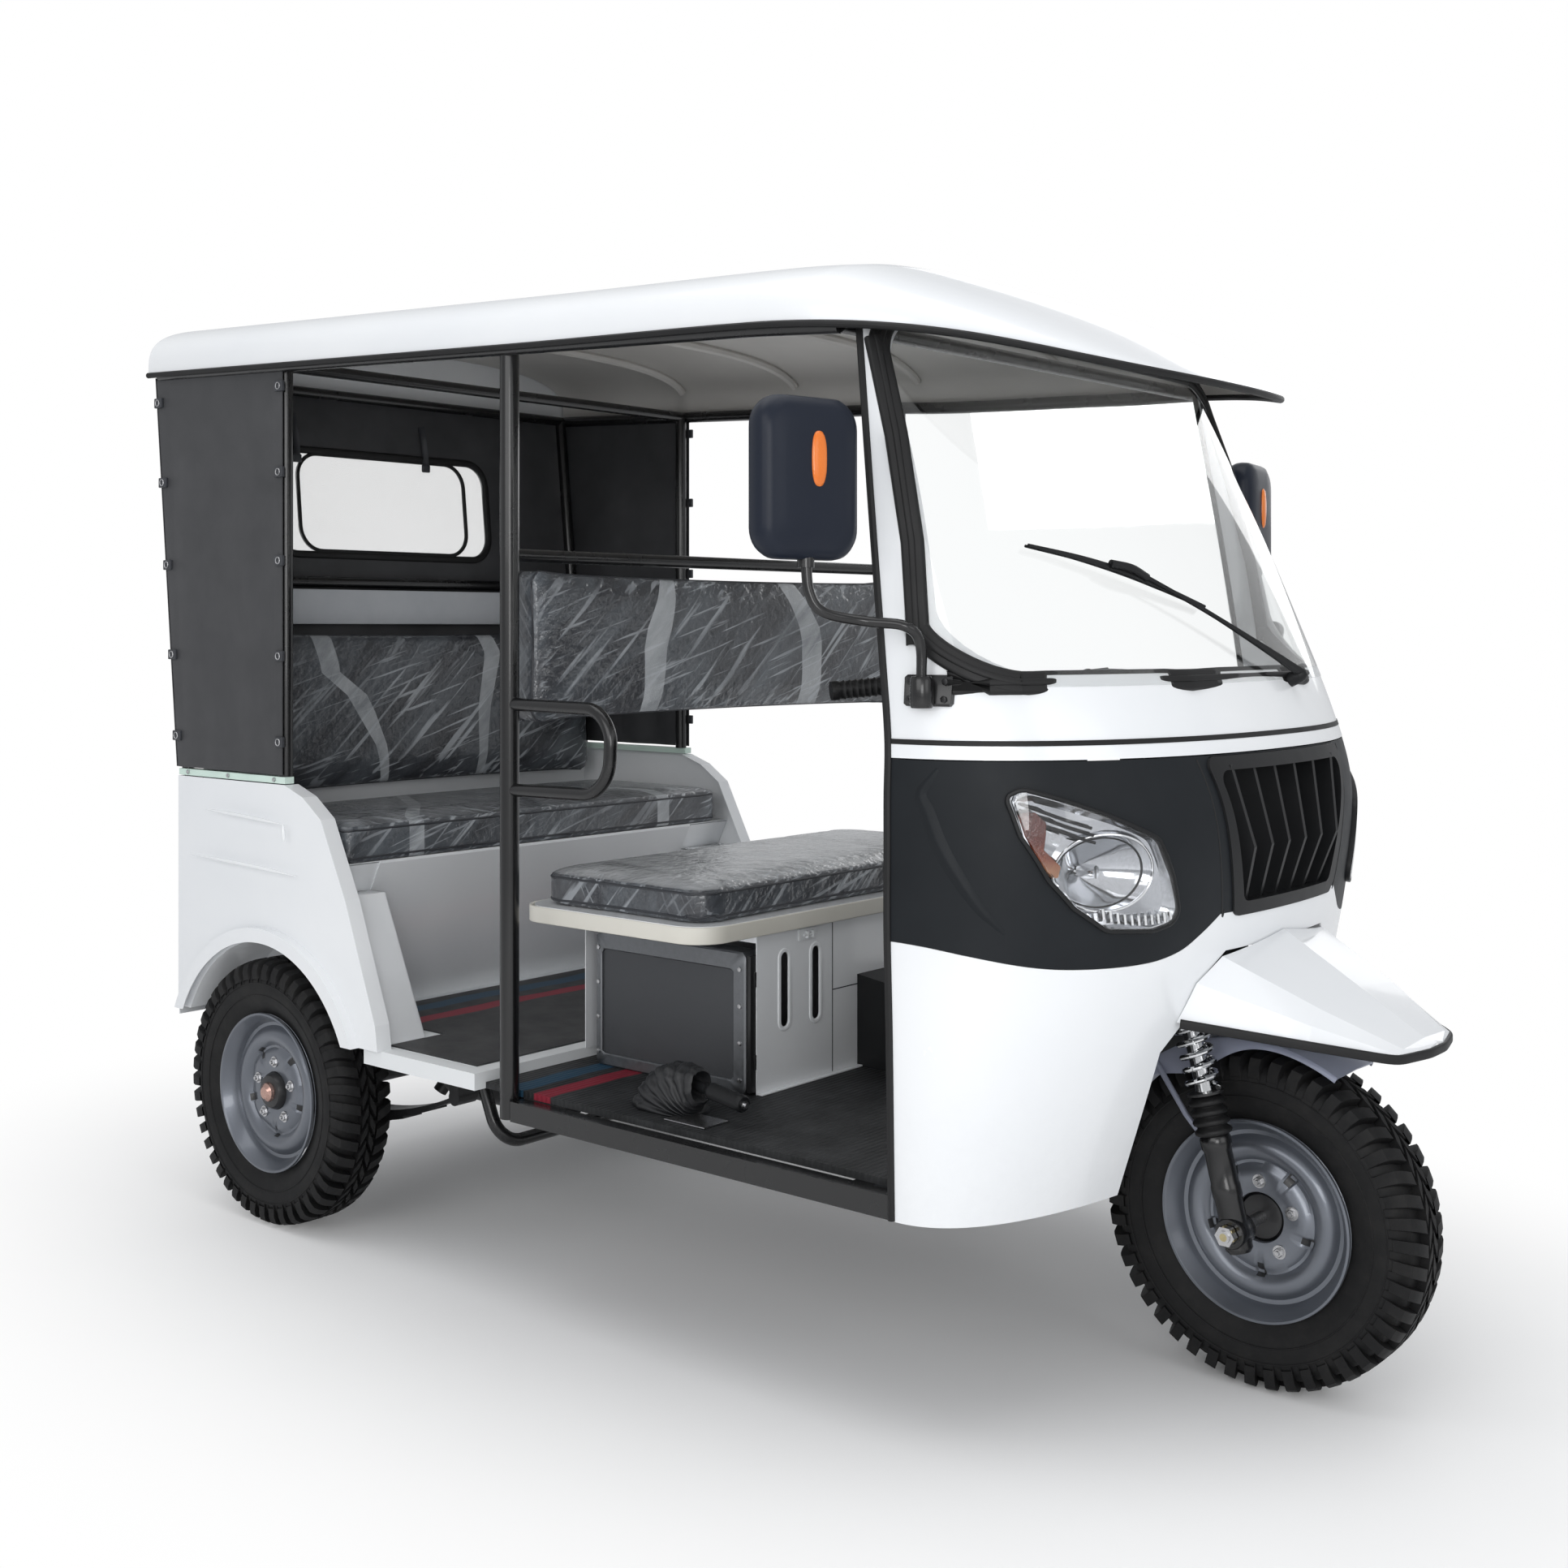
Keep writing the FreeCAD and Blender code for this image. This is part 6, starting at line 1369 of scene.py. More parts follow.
def make_lamps():
    """Clear leaf-shaped lenses over bright reflectors with fluted bowls and an amber corner."""
    lenses, reflectors, bezels, ambers, bulbs, darks = [], [], [], [], [], []
    for side in (-1, 1):
        lens = cowl_shell(0.78, 1.045, 200, 60, skin=0.0028, proud=0.0085)
        pierce(lens, lamp_outline(side, -0.0008), "INTERSECT")
        lenses.append(take_mesh(lens))
        dense = resample(lamp_outline(side, -0.0006), 120)
        rows, bottom = make_bowl(side, dense)
        thick = new_object("bowl", grid(rows, closed_columns=True))
        add_modifier(thick, "SOLIDIFY", thickness=0.0015, offset=1.0 if side < 0 else -1.0)
        apply_modifiers(thick)
        reflectors.append(take_mesh(thick))
        path, normals = cowl_path(dense)
        bezels.append(sweep(path, normals, rounded_section(0.0035, -0.004, 0.0090, 0.0025), closed=True))
        bulbs.append(tube([p + Vector((0.001, 0, 0)) for p in rows[5]], 0.0020, 8, closed=True))
        darks.append(tube([p + Vector((0.002, 0, 0)) for p in rows[7]], 0.0022, 8, closed=True))
        hood = [(0.000, 0.0), (0.000, 0.010), (-0.020, 0.012), (-0.036, 0.006)]
        bulbs.append(turned(hood, bottom + Vector((0.034, 0, 0)), 24, axis="X"))
        for k in range(11):
            y = side * (0.330 + 0.0118 * k)
            low = 0.8055 + 0.0004 * (k - 4) ** 2 * (1 if k > 4 else 0.3)
            bulbs.append(tube([ahead_of_cowl(y, low, 0.001), ahead_of_cowl(y, low + 0.015, -0.003)], 0.0036, 6))
        for shift in (0.0, 0.011, 0.022):
            brow = [ahead_of_cowl(side * (y - 0.2 * shift), z - shift, -0.009) for y,
                    z in ((0.546, 0.996), (0.500, 0.972), (0.462, 0.957))]
            darks.append(tube(smooth_line(brow, 5), 0.0026, 6))
        ambers.append(make_corner_amber(side))
    piece("lamp_lenses", lenses, LENS, replaces=["headlamp_lenses"])
    piece("lamp_reflectors", reflectors, REFLECTOR, replaces=["headlamp_housings"], degrees=30)
    piece("lamp_bezels", bezels, PLASTIC)
    piece("lamp_dark_parts", darks, PLASTIC)
    piece("lamp_bright_parts", bulbs, CHROME)
    piece("lamp_ambers", ambers, LAMP_AMBER)


def resample(outline, count):
    """A closed outline in evenly spaced points."""
    points = [Vector((a, b, 0)) for a, b in outline]
    points.append(points[0])
    lengths = [0.0]
    for p, q in zip(points, points[1:]):
        lengths.append(lengths[-1] + (q - p).length)
    total = lengths[-1]
    result, i = [], 0
    for k in range(count):
        place = total * k / count
        while lengths[i + 1] < place:
            i += 1
        span = max(lengths[i + 1] - lengths[i], 1e-9)
        p = points[i].lerp(points[i + 1], (place - lengths[i]) / span)
        result.append((p.x, p.y))
    return result


# Mirrors and wiper

def make_mirrors():
    """Domed mirror housings with an amber lens in front, silvered glass behind, on bent stalks."""
    heads, lenses, glasses, stalks, bolts = [], [], [], [], []
    for side in (-1, 1):
        toe = Matrix.Rotation(math.radians(11 * side), 4, "Z")
        place = Matrix.Translation(Vector((FRONT - 0.392, side * 0.745, 1.484))) @ toe
        rows = []
        for x, inset in ((0.027, 0.075), (0.0262, 0.040), (0.0230, 0.018), (0.0165, 0.006), (0.008, 0.0012),
                         (-0.004, 0.0), (-0.016, 0.001), (-0.024, 0.004), (-0.027, 0.008), (-0.0262, 0.012),
                         (-0.020, 0.013)):
            half_y, half_z = 0.094 - inset, 0.123 - inset
            corner = max(0.008, 0.044 - inset * 0.4)
            flat = rounded_box((-half_y, -half_z), (half_y, half_z), corner)
            rows.append([place @ Vector((x, y, z)) for y, z in resample(flat, 96)])
        heads.append(grid(rows, closed_columns=True, caps=True))
        flat = resample(rounded_box((-0.080, -0.109), (0.080, 0.109), 0.036), 96)
        glasses.append(grid([[place @ Vector((x, y, z)) for y, z in flat] for x in (-0.0192, -0.0222)],
                            closed_columns=True, caps=True))
        oval = [(0.0142 * signed_power(math.cos(a), 0.75), 0.0415 * signed_power(math.sin(a), 0.75))
                for a in turns(40)]
        lens_rows = []
        for grow, x in ((1.0, 0.020), (1.0, 0.0275), (0.9, 0.0298), (0.6, 0.0312), (0.0, 0.0316)):
            lens_rows.append([place @ Vector((x, -side * 0.004 + y * grow, 0.028 + z * grow)) for y, z in oval])
        lenses.append(grid(lens_rows, closed_columns=True))
        foot = Vector((FRONT - 0.268, side * 0.598, 1.166))
        top = Vector((FRONT - 0.392, side * 0.745, 1.484 - 0.122))
        line = [top + Vector((x, -side * y, z)) for x, y,
                z in ((0, 0, 0), (0.004, 0.004, -0.050), (0.020, 0.020, -0.080), (0.060, 0.070, -0.093))]
        line += [foot + Vector((x, side * y, z)) for x, y,
                 z in ((-0.010, 0.052, 0.096), (0, 0.026, 0.070), (0, 0.022, 0.010))]
        stalks.append(tube(smooth_line(line, 8), 0.0082, 14))
        boss = Vector((foot.x, foot.y + side * 0.022, foot.z))
        stalks.append(turned([(-0.028, 0.0), (-0.028, 0.016), (-0.024, 0.018), (0.014, 0.018), (0.020, 0.015),
                              (0.020, 0.0)], boss, 28, axis="Z"))
        stalks.append(turned([(0.0, 0.008), (0.0, 0.013), (0.016, 0.013), (0.016, 0.008)],
                             top + Vector((0.0, 0.0, -0.012)), 20, axis="Z"))
        thick, plate_rows = 0.010, []

        def on_side(dx, dz, out):
            x, z = foot.x + dx, foot.z + dz
            return Vector((x, side * (side_surface(x, z) + out), z))

        for dz, inset in ((-0.026, 0.003), (-0.022, 0.0), (0.018, 0.0), (0.022, 0.003)):
            places = (-0.036 + inset, -0.012, 0.012, 0.036 - inset)
            plate_rows.append([on_side(dx, dz, thick - inset) for dx in places]
                              + [on_side(dx, dz, -0.001) for dx in reversed(places)])
        stalks.append(grid(plate_rows, closed_columns=True, caps=True))
        bolts += [hexagon(on_side(dx, dz, thick), Vector((0, side, 0)), 0.0055, 0.004) for dx in (-0.027, 0.027)
                  for dz in (-0.015, 0.012)]
    piece("mirror_heads", heads, NAVY, replaces=["mirrors"], degrees=50)
    piece("mirror_glasses", glasses, REFLECTOR)
    piece("mirror_ambers", lenses, AMBER_SOLID, degrees=60)
    piece("mirror_stalks", stalks, TUBE_BLACK)
    piece("mirror_bolts", bolts, STEEL_BLACK)


def side_surface(x, z):
    """Half width of the cowl at a place along its side."""
    rear, reach, half, power = level(z)
    share = min(1.0, max(0.0, (x - FRONT + rear) / (reach + rear)))
    return half * (1 - share ** power) ** (1 / power)


def make_wiper():
    """Wiper arm from its capped pivot to a jointed blade that lies on the glass."""
    off = 0.012
    pivot = on_cowl(0.141, 1.168)
    normal = cowl_normal(0.141, 1.168)
    arm_end = on_cowl(-0.262, 1.343, off + 0.014)
    base = pivot + normal * 0.026
    arm = [base, base.lerp(arm_end, 0.25) + normal * 0.004, base.lerp(arm_end, 0.6) + normal * 0.006, arm_end]
    line = smooth_line(arm, 10)
    radii = [0.0085 - 0.0045 * min(1.0, k / 18) for k in range(len(line))]
    meshes = [tube(line, radii, 10, flat=0.6)]
    meshes.append(tube([pivot - normal * 0.004, pivot + normal * 0.020, pivot + normal * 0.028,
                        pivot + normal * 0.0335], [0.013, 0.013, 0.011, 0.006], 20))
    blade = smooth_line([on_cowl(-0.443, 1.383, off), on_cowl(-0.350, 1.362, off + 0.002),
                         on_cowl(-0.262, 1.340, off + 0.003), on_cowl(-0.170, 1.314, off + 0.002),
                         on_cowl(-0.074, 1.289, off)], 10)
    count = len(blade)
    meshes.append(tube(blade, [0.0028 + 0.0036 * math.sin(math.pi * k / (count - 1)) for k in range(count)], 8))
    rubber_line = [p - Vector((1, 0, 0.2)) * 0.0055 for p in blade]
    meshes.append(tube(rubber_line, 0.0026, 6))
    holder = smooth_line([on_cowl(-0.300, 1.351, off + 0.010), on_cowl(-0.262, 1.341, off + 0.016),
                          on_cowl(-0.225, 1.330, off + 0.010)], 6)
    meshes.append(tube(holder, 0.0072, 10))
    piece("wiper_set", meshes, PLASTIC, replaces=["wiper"], degrees=50)


# Soft parts: cushions swollen by a cloth simulation, curtains, window

def fraction(value, low, high):
    """Share of a value between two limits, from 0 to 1."""
    return max(0.0, min(1.0, (value - low) / (high - low)))


def blank(low, high, corner, thin, crown, pinch, voxel):
    """A cushion before it swells: rounded in plan, crowned on its outer face, pulled in between its corners."""
    low, high = Vector(low), Vector(high)
    flat = [axis for axis in range(3) if axis != thin]
    a, b = flat
    outline = rounded_box((low[a], low[b]), (high[a], high[b]), corner, 6)
    rows = []
    for level in (low[thin], high[thin]):
        row = []
        for u, v in outline:
            point = Vector((0, 0, 0))
            point[a], point[b], point[thin] = u, v, level
            row.append(point)
        rows.append(row)
    obj = new_object("blank", grid(rows, closed_columns=True, caps=True))
    add_modifier(obj, "REMESH", mode="VOXEL", voxel_size=voxel)
    add_modifier(obj, "SMOOTH", factor=0.5, iterations=3)
    apply_modifiers(obj)
    centre, half = (low + high) / 2, (high - low) / 2
    for vert in obj.data.vertices:
        u = (vert.co[a] - centre[a]) / half[a]
        v = (vert.co[b] - centre[b]) / half[b]
        dome = max(0.0, 1 - u * u) ** 0.6 * max(0.0, 1 - v * v) ** 0.6
        outer = fraction(vert.co[thin], low[thin], high[thin])
        vert.co[thin] += crown * dome * outer
        vert.co[a] -= math.copysign(pinch * (1 - v * v) * fraction(abs(u), 0.8, 1.0), u)
        vert.co[b] -= math.copysign(pinch * (1 - u * u) * fraction(abs(v), 0.8, 1.0), v)
    return obj


def swell(obj, cap, keep, pressure=4.0):
    """Let a blank swell as cloth under air pressure, no point farther than the cap and none past keep."""
    start = [vert.co.copy() for vert in obj.data.vertices]
    scene = bpy.context.scene
    scene.frame_set(1)
    cloth = obj.modifiers.new("cloth", "CLOTH")
    cloth.settings.quality = 4
    cloth.settings.mass = 0.25
    cloth.settings.use_pressure = True
    cloth.settings.uniform_pressure_force = pressure
    cloth.settings.effector_weights.gravity = 0.0
    cloth.point_cache.frame_start = 1
    cloth.point_cache.frame_end = 20
    for step in range(1, 21):
        scene.frame_set(step)
    apply_modifiers(obj)
    scene.frame_set(1)
    for vert, rest in zip(obj.data.vertices, start):
        step = vert.co - rest
        if step.length > cap:
            step *= cap / step.length
        vert.co = keep(rest + step)
    obj.data.update()
    return obj


def edge_line(low, high, corner, thin, level, inset):
    """Points of a rounded rectangle at a level of the thin axis."""
    flat = [axis for axis in range(3) if axis != thin]
    a, b = flat
    outline = rounded_box((low[a] + inset, low[b] + inset), (high[a] - inset, high[b] - inset), corner, 6)
    closed = []
    count = len(outline)
    for i, (u, v) in enumerate(outline):
        u2, v2 = outline[(i + 1) % count]
        pieces = max(1, int(math.hypot(u2 - u, v2 - v) / 0.03))
        for k in range(pieces):
            point = [0, 0, 0]
            point[a] = u + (u2 - u) * k / pieces
            point[b] = v + (v2 - v) * k / pieces
            point[thin] = level
            closed.append(Vector(point))
    return closed


def on_surface(points, tree, sink=0.0006):
    """Points laid on the nearest place of a swollen surface."""
    result = []
    for point in points:
        place, normal, _, _ = tree.find_nearest(point)
        result.append(place - normal * sink)
    return result


def cushion(node, name, material, corner, thin, crown, voxel, cap, keep, seams, body="root"):
    """A padded piece in a CAD node's place: swollen, then sewn along its edges."""
    low, high = [Vector(p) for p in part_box(node)]
    inset, pinch = 0.005, 0.006
    low_in, high_in = low.copy(), high.copy()
    for axis in range(3):
        if axis != thin:
            low_in[axis] += inset
            high_in[axis] -= inset
    high_in[thin] -= inset if thin != 2 else 0.006
    obj = blank(low_in, high_in, corner, thin, crown, pinch, voxel)
    obj = swell(obj, cap, lambda p: keep(p, low, high))
    tree = BVHTree.FromObject(obj, bpy.context.evaluated_depsgraph_get())
    lines = []
    for level, seam_inset in seams:
        at = low[thin] + (high[thin] - low[thin]) * level
        path = on_surface(edge_line(low, high, corner, thin, at, seam_inset), tree)
        lines.append(tube(smooth_line(path, 2, closed=True), 0.0026, 6, closed=True))
    pad = piece(name, obj, material, body, replaces=[node], degrees=60)
    if lines:
        piece(name + "_seams", lines, VINYL, body, degrees=60)
    return pad


def flat_below(p, low, high):
    """Flat where the cushion rests, and no wider than its place."""
    return Vector((max(low.x - 0.006, min(high.x + 0.006, p.x)), max(low.y - 0.004, min(high.y + 0.004, p.y)),
                   max(low.z, min(high.z + 0.012, p.z))))


def flat_behind(p, low, high):
    """Flat on its back, and no wider than its place."""
    return Vector((max(low.x, min(high.x + 0.014, p.x)), max(low.y - 0.004, min(high.y + 0.004, p.y)),
                   max(low.z - 0.004, min(high.z + 0.004, p.z))))


def make_cushions():
    """Driver's seat and backrest, bench cushion and bench backrest."""
    driver_stripes = [(-1, [(1.07, 0.262, 0.024), (1.10, 0.264, 0.024), (1.22, 0.260, 0.032), (1.26, 0.248, 0.034),
                            (1.37, 0.205, 0.018), (1.40, 0.198, 0.018)]),
                      (1, [(1.07, 0.228, 0.032), (1.10, 0.228, 0.032), (1.23, 0.228, 0.034), (1.26, 0.220, 0.034),
                           (1.36, 0.155, 0.026), (1.40, 0.140, 0.026)])]
    bench_stripes = [(-1, [(0.86, 0.105, 0.010), (0.98, 0.135, 0.016), (1.06, 0.180, 0.026), (1.10, 0.205, 0.028),
                           (1.155, 0.280, 0.026), (1.27, 0.302, 0.027)]),
                     (1, [(0.86, 0.184, 0.011), (0.98, 0.184, 0.015), (1.06, 0.187, 0.020), (1.15, 0.205, 0.024),
                          (1.20, 0.215, 0.026), (1.27, 0.190, 0.024)])]
    seat_stripes = [(-1, [(-1.16, 0.112, 0.014), (-1.05, 0.155, 0.016), (-0.85, 0.275, 0.018), (-0.74, 0.370, 0.020),
                          (-0.68, 0.390, 0.020)]),
                    (1, [(-1.16, 0.180, 0.014), (-1.05, 0.200, 0.016), (-0.85, 0.290, 0.018), (-0.74, 0.370, 0.020),
                         (-0.68, 0.390, 0.020)])]
    # the number after the axis is the strength of the painted glare, a highlight on the faces that look up
    wrapped_driver = wrapped_vinyl("vinyl_driver_back", driver_stripes, "Z")
    wrapped_bench = wrapped_vinyl("vinyl_bench_back", bench_stripes, "Z")
    wrapped_seat = wrapped_vinyl("vinyl_bench_seat", seat_stripes, "X", 0.35)
    wrapped_plain = wrapped_vinyl("vinyl_wrapped", [], "Z", 0.95)
    cushion("driver_backrest", "driver_back_pad", wrapped_driver, corner=0.030, thin=0, crown=0.012, voxel=0.008,
            cap=0.009, keep=flat_behind, seams=[(0.86, 0.006), (0.10, 0.004)])
    cushion("bench_backrest", "bench_back_pad", wrapped_bench, corner=0.035, thin=0, crown=0.014, voxel=0.009,
            cap=0.010, keep=flat_behind, seams=[(0.86, 0.006)])
    cushion("bench_cushion", "bench_seat_pad", wrapped_seat, corner=0.030, thin=2, crown=0.012, voxel=0.009,
            cap=0.010, keep=flat_below, seams=[(0.86, 0.006), (0.12, 0.004)])
    cushion("seat_cushion", "driver_seat_pad", wrapped_plain, corner=0.056, thin=2, crown=0.012, voxel=0.008,
            cap=0.009, keep=flat_below, seams=[(0.84, 0.006), (0.12, 0.004)], body="seat_lid")


def tail_post_x(z):
    """Place along X of the leaning tail posts."""
    return REAR - 0.412 + 0.090 * (1.828 - z) / (1.828 - 0.937)


def cloth_panel(name, rows, thickness):
    """A closed thin sheet through rows of points."""
    obj = new_object(name, grid(rows))
    add_modifier(obj, "SOLIDIFY", thickness=thickness, offset=0.0)
    apply_modifiers(obj)
    return obj


def make_side_curtains():
    """Dark sheets laced between the tail posts and the curtain posts, with hems and small straps."""
    low_z = 0.951
    ahead = REAR + 0.058
    straps, rings = [], []
    for side, label in ((-1, "right"), (1, "left")):
        rows = []
        for i in range(61):
            v = i / 60
            row = []
            for j in range(41):
                u = j / 40
                z, x = low_z, 0.0
                for _ in range(3):
                    behind = tail_post_x(z) - 0.012
                    x = behind + (ahead - behind) * u
                    z = low_z + (roof_eave(x) - 0.010 - low_z) * v
                slack = math.sin(math.pi * u) ** 0.7
                fold = 0.0042 * math.sin(9.5 * u + 2.2 * v + 0.6 * side) * math.sin(math.pi * min(1, 1.15 * v + 0.1))
                pull = 0.0026 * math.sin(21 * u - 3.0 * v) * (1 - v) * slack
                hem = 0.0012 if min(u, 1 - u) < 0.055 or min(v, 1 - v) < 0.03 else 0.0
                row.append(Vector((x, side * (0.6195 + slack * fold + pull + hem), z)))
            rows.append(row)
        obj = cloth_panel("side_sheet_" + label, rows, 0.0022)
        sheet = piece("side_sheet_" + label, obj, CURTAIN, replaces=["side_curtains"] if side < 0 else (), degrees=50)
        behind = tail_post_x(1.815) - 0.012
        for z in (1.02, 1.20, 1.40, 1.585, 1.765):
            for x in (ahead - 0.006, tail_post_x(z) - 0.004):
                strap = block((x - 0.015, -0.0035, z - 0.011), (x + 0.015, 0.0035, z + 0.011), 0.0018)
                straps.append(moved(strap, Matrix.Translation((0, side * 0.6245, 0))))
                ring = [Vector((x + 0.007 * math.cos(a), side * 0.6285, z + 0.007 * math.sin(a))) for a in turns(14)]
                rings.append(tube(ring, 0.0014, 6, closed=True))
    piece("curtain_straps", straps, VINYL)
    piece("curtain_eyelets", rings, STEEL, degrees=60)


def window_shape(shrink, corner, low=1.436, high=1.690):
    """The rear window's rounded outline in (y, z), shrunk sideways."""
    half = 0.330 - shrink
    return rounded_box((-half, low), (half, high), corner)


def make_rear_curtain():
    """Dark rear sheet between the tail posts, with a piped clear window and two straps."""
    low_z, high_z, half, offset = 0.951, 1.823, 0.6205, 0.0185
    wide, tall = 2 * half, high_z - low_z
    cut = (REAR - 0.55, REAR - 0.25)
    backwards = Vector((1, 0, 0))

    def place(y, z, out=0.0):
        """A point of the sheet, or standing off it."""
        return Vector((tail_post_x(z) - offset - out, y, z))

    def wavy(y, z):
        """Place of the sheet with its slow folds, calm at the edges and round the window."""
        edge = min(1.0, min(half - abs(y), z - low_z, high_z - z) / 0.12)
        near = max(0.0, 1 - max(abs(y) / 0.40, abs(z - 1.563) / 0.20))
        fold = 0.0036 * math.sin(14 * y + 3.0 * (z - 1.3)) + 0.0018 * math.sin(31 * y - 7 * z)
        return place(y, z, edge * (1 - min(1.0, 3 * near)) * fold)

    rows = [[wavy(-half + wide * j / 120, low_z + tall * i / 80) for j in range(121)] for i in range(81)]
    obj = cloth_panel("rear_sheet", rows, 0.0022)
    hole = window_shape(0.0, 0.060)
    boolean(obj, prism_x(hole, *cut))
    sheet = piece("rear_sheet", obj, CURTAIN, replaces=["rear_curtain"], degrees=50)
    path = [place(y, z) for y, z in resample(hole, 150)]
    piping = sweep(path, [backwards] * len(path), rounded_section(0.009, -0.0075, 0.0075, 0.006), closed=True)
    path = [place(y, z) for y, z in resample(window_shape(0.074, 0.058, 1.446, 1.682), 120)]
    rim = sweep(path, [backwards] * len(path), rounded_section(0.0045, -0.0045, 0.0045, 0.003), closed=True)
    pipes = piece("window_piping", [piping, rim], RUBBER, degrees=60)
    straps = []
    for y in (-0.265, 0.125):
        line = [place(y, 1.775, -0.006), place(y, 1.74, -0.012), place(y + 0.004, 1.705, -0.010),
                place(y + 0.002, 1.672, -0.012)]
        straps.append(tube(smooth_line(line, 5), 0.0085, 10, flat=0.22))
        buckle = block((-0.004, -0.012, -0.010), (0.004, 0.012, 0.010), 0.003)
        straps.append(moved(buckle, Matrix.Translation(place(y + 0.002, 1.667, -0.012))))
    band = piece("window_straps", straps, VINYL, degrees=50)
    pane_low, pane_high, pane_half = 1.438, 1.688, 0.328
    rows = []
    for i in range(25):
        z = pane_low + (pane_high - pane_low) * i / 24
        row = []
        for j in range(61):
            y = -pane_half + 2 * pane_half * j / 60
            row.append(place(y, z, 0.0016 * math.sin(19 * y + 6 * z) + 0.0010 * math.sin(43 * z + 9 * y)))
        rows.append(row)
    window = cloth_panel("window_sheet", rows, 0.0012)
    boolean(window, prism_x(window_shape(0.003, 0.057, 1.439, 1.687), *cut), "INTERSECT")
    clear_sheet = piece("window_sheet", window, WINDOW, replaces=["rear_window"], degrees=60)


def make_rear_panel():
    """Light grey panel over the bench backrest, under the tube."""
    panel = block((tail_post_x(1.31) + 0.004, -0.585, 1.268), (tail_post_x(1.31) + 0.010, 0.585, 1.352), 0.0025)
    piece("rear_panel_upper", panel, VINYL_GREY)


# Engine box, wheel houses, radiator, handbrake, tub creases, tail lamps and seat plate

def make_engine_box_parts():
    """Pressed rims round the two vents, the catch and the joint line of the engine box."""
    face, front_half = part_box("engine_box")[1].x, 0.330
    rims = []
    for y in (-0.251, -0.159):
        path = resample(rounded_box((y - 0.0150, 0.5095), (y + 0.0150, 0.6565), 0.0148), 80)
        line = [Vector((face, a, b)) for a, b in path]
        rims.append(sweep(line, [Vector((1, 0, 0))] * len(line), rounded_section(0.0042, -0.0030, 0.0022, 0.0020),
                          closed=True))
    piece("vent_rims", rims, WHITE, degrees=50)
    parts = [block((face + 0.0003, -0.212, 0.668), (face + 0.0033, -0.158, 0.690), 0.001),
             block((face + 0.0033, -0.196, 0.672), (face + 0.0113, -0.190, 0.686), 0.0015),
             block((face + 0.0033, -0.180, 0.672), (face + 0.0113, -0.174, 0.686), 0.0015)]
    pin = [Vector((face + 0.0085, -0.204, 0.679)), Vector((face + 0.0085, -0.166, 0.679))]
    parts.append(tube(pin, 0.0024, 8))
    piece("seat_catch", parts, WHITE_INSIDE)
    seam = [block((face - 0.002, -0.1085, 0.402), (face + 0.0006, -0.1065, 0.700), 0.0003),
            block((face - 0.002, -0.1065, 0.560), (face + 0.0006, front_half - 0.004, 0.562), 0.0003)]
    piece("box_seams", seam, RUBBER)
    foot = [block((face + 0.0003, -front_half, 0.4003), (face + 0.014, front_half, 0.4035), 0.001)]
    piece("box_foot", foot, WHITE)


def prism_y(outline, start, end):
    """A closed prism along Y from an outline in (x, z)."""
    count = len(outline)
    points = [Vector((x, start, z)) for x, z in outline] + [Vector((x, end, z)) for x, z in outline]
    faces = [tuple(range(count - 1, -1, -1)), tuple(range(count, 2 * count))]
    faces += [(i, (i + 1) % count, count + (i + 1) % count, count + i) for i in range(count)]
    return mesh_from(points, faces)


def make_wheel_houses():
    """White covers over the inner sides of the rear wheels, and the ends of the bench riser."""
    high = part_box("bench_base")[1]
    foot_x, riser_foot = FRONT - 1.950, 0.42

    def riser(z):
        """Place along X of the leaning bench riser."""
        return foot_x + (high.x - foot_x) * (z - riser_foot) / (high.z - riser_foot)

    foot, crown, sheet, lap = 0.4208, 0.706, 0.003, 0.002
    front_foot, front_crown, inner_y, outer_y = -0.562, -0.694, 0.4765, high.y + 0.002
    cover = prism_y([(front_foot, foot), (front_crown, crown), (riser(crown) + lap, crown),
                     (riser(crown) + lap, crown - sheet), (front_crown - 0.4 * sheet, crown - sheet),
                     (front_foot - sheet, foot)], inner_y, outer_y)
    inner_side = prism_y([(front_foot, foot), (front_crown, crown), (riser(crown) + lap, crown),
                          (riser(foot) + lap, foot)], inner_y, inner_y + sheet)
    low_end, high_end = riser(0.600), riser(0.766)
    end = prism_y([(low_end - sheet, 0.600), (low_end - 0.0004, 0.600), (high_end - 0.0004, 0.766),
                   (high_end - sheet, 0.766)], 0.470, outer_y)
    piece("wheel_houses", both_sides(joined([cover, inner_side, end])), WHITE, degrees=30, bevel=0.0006)


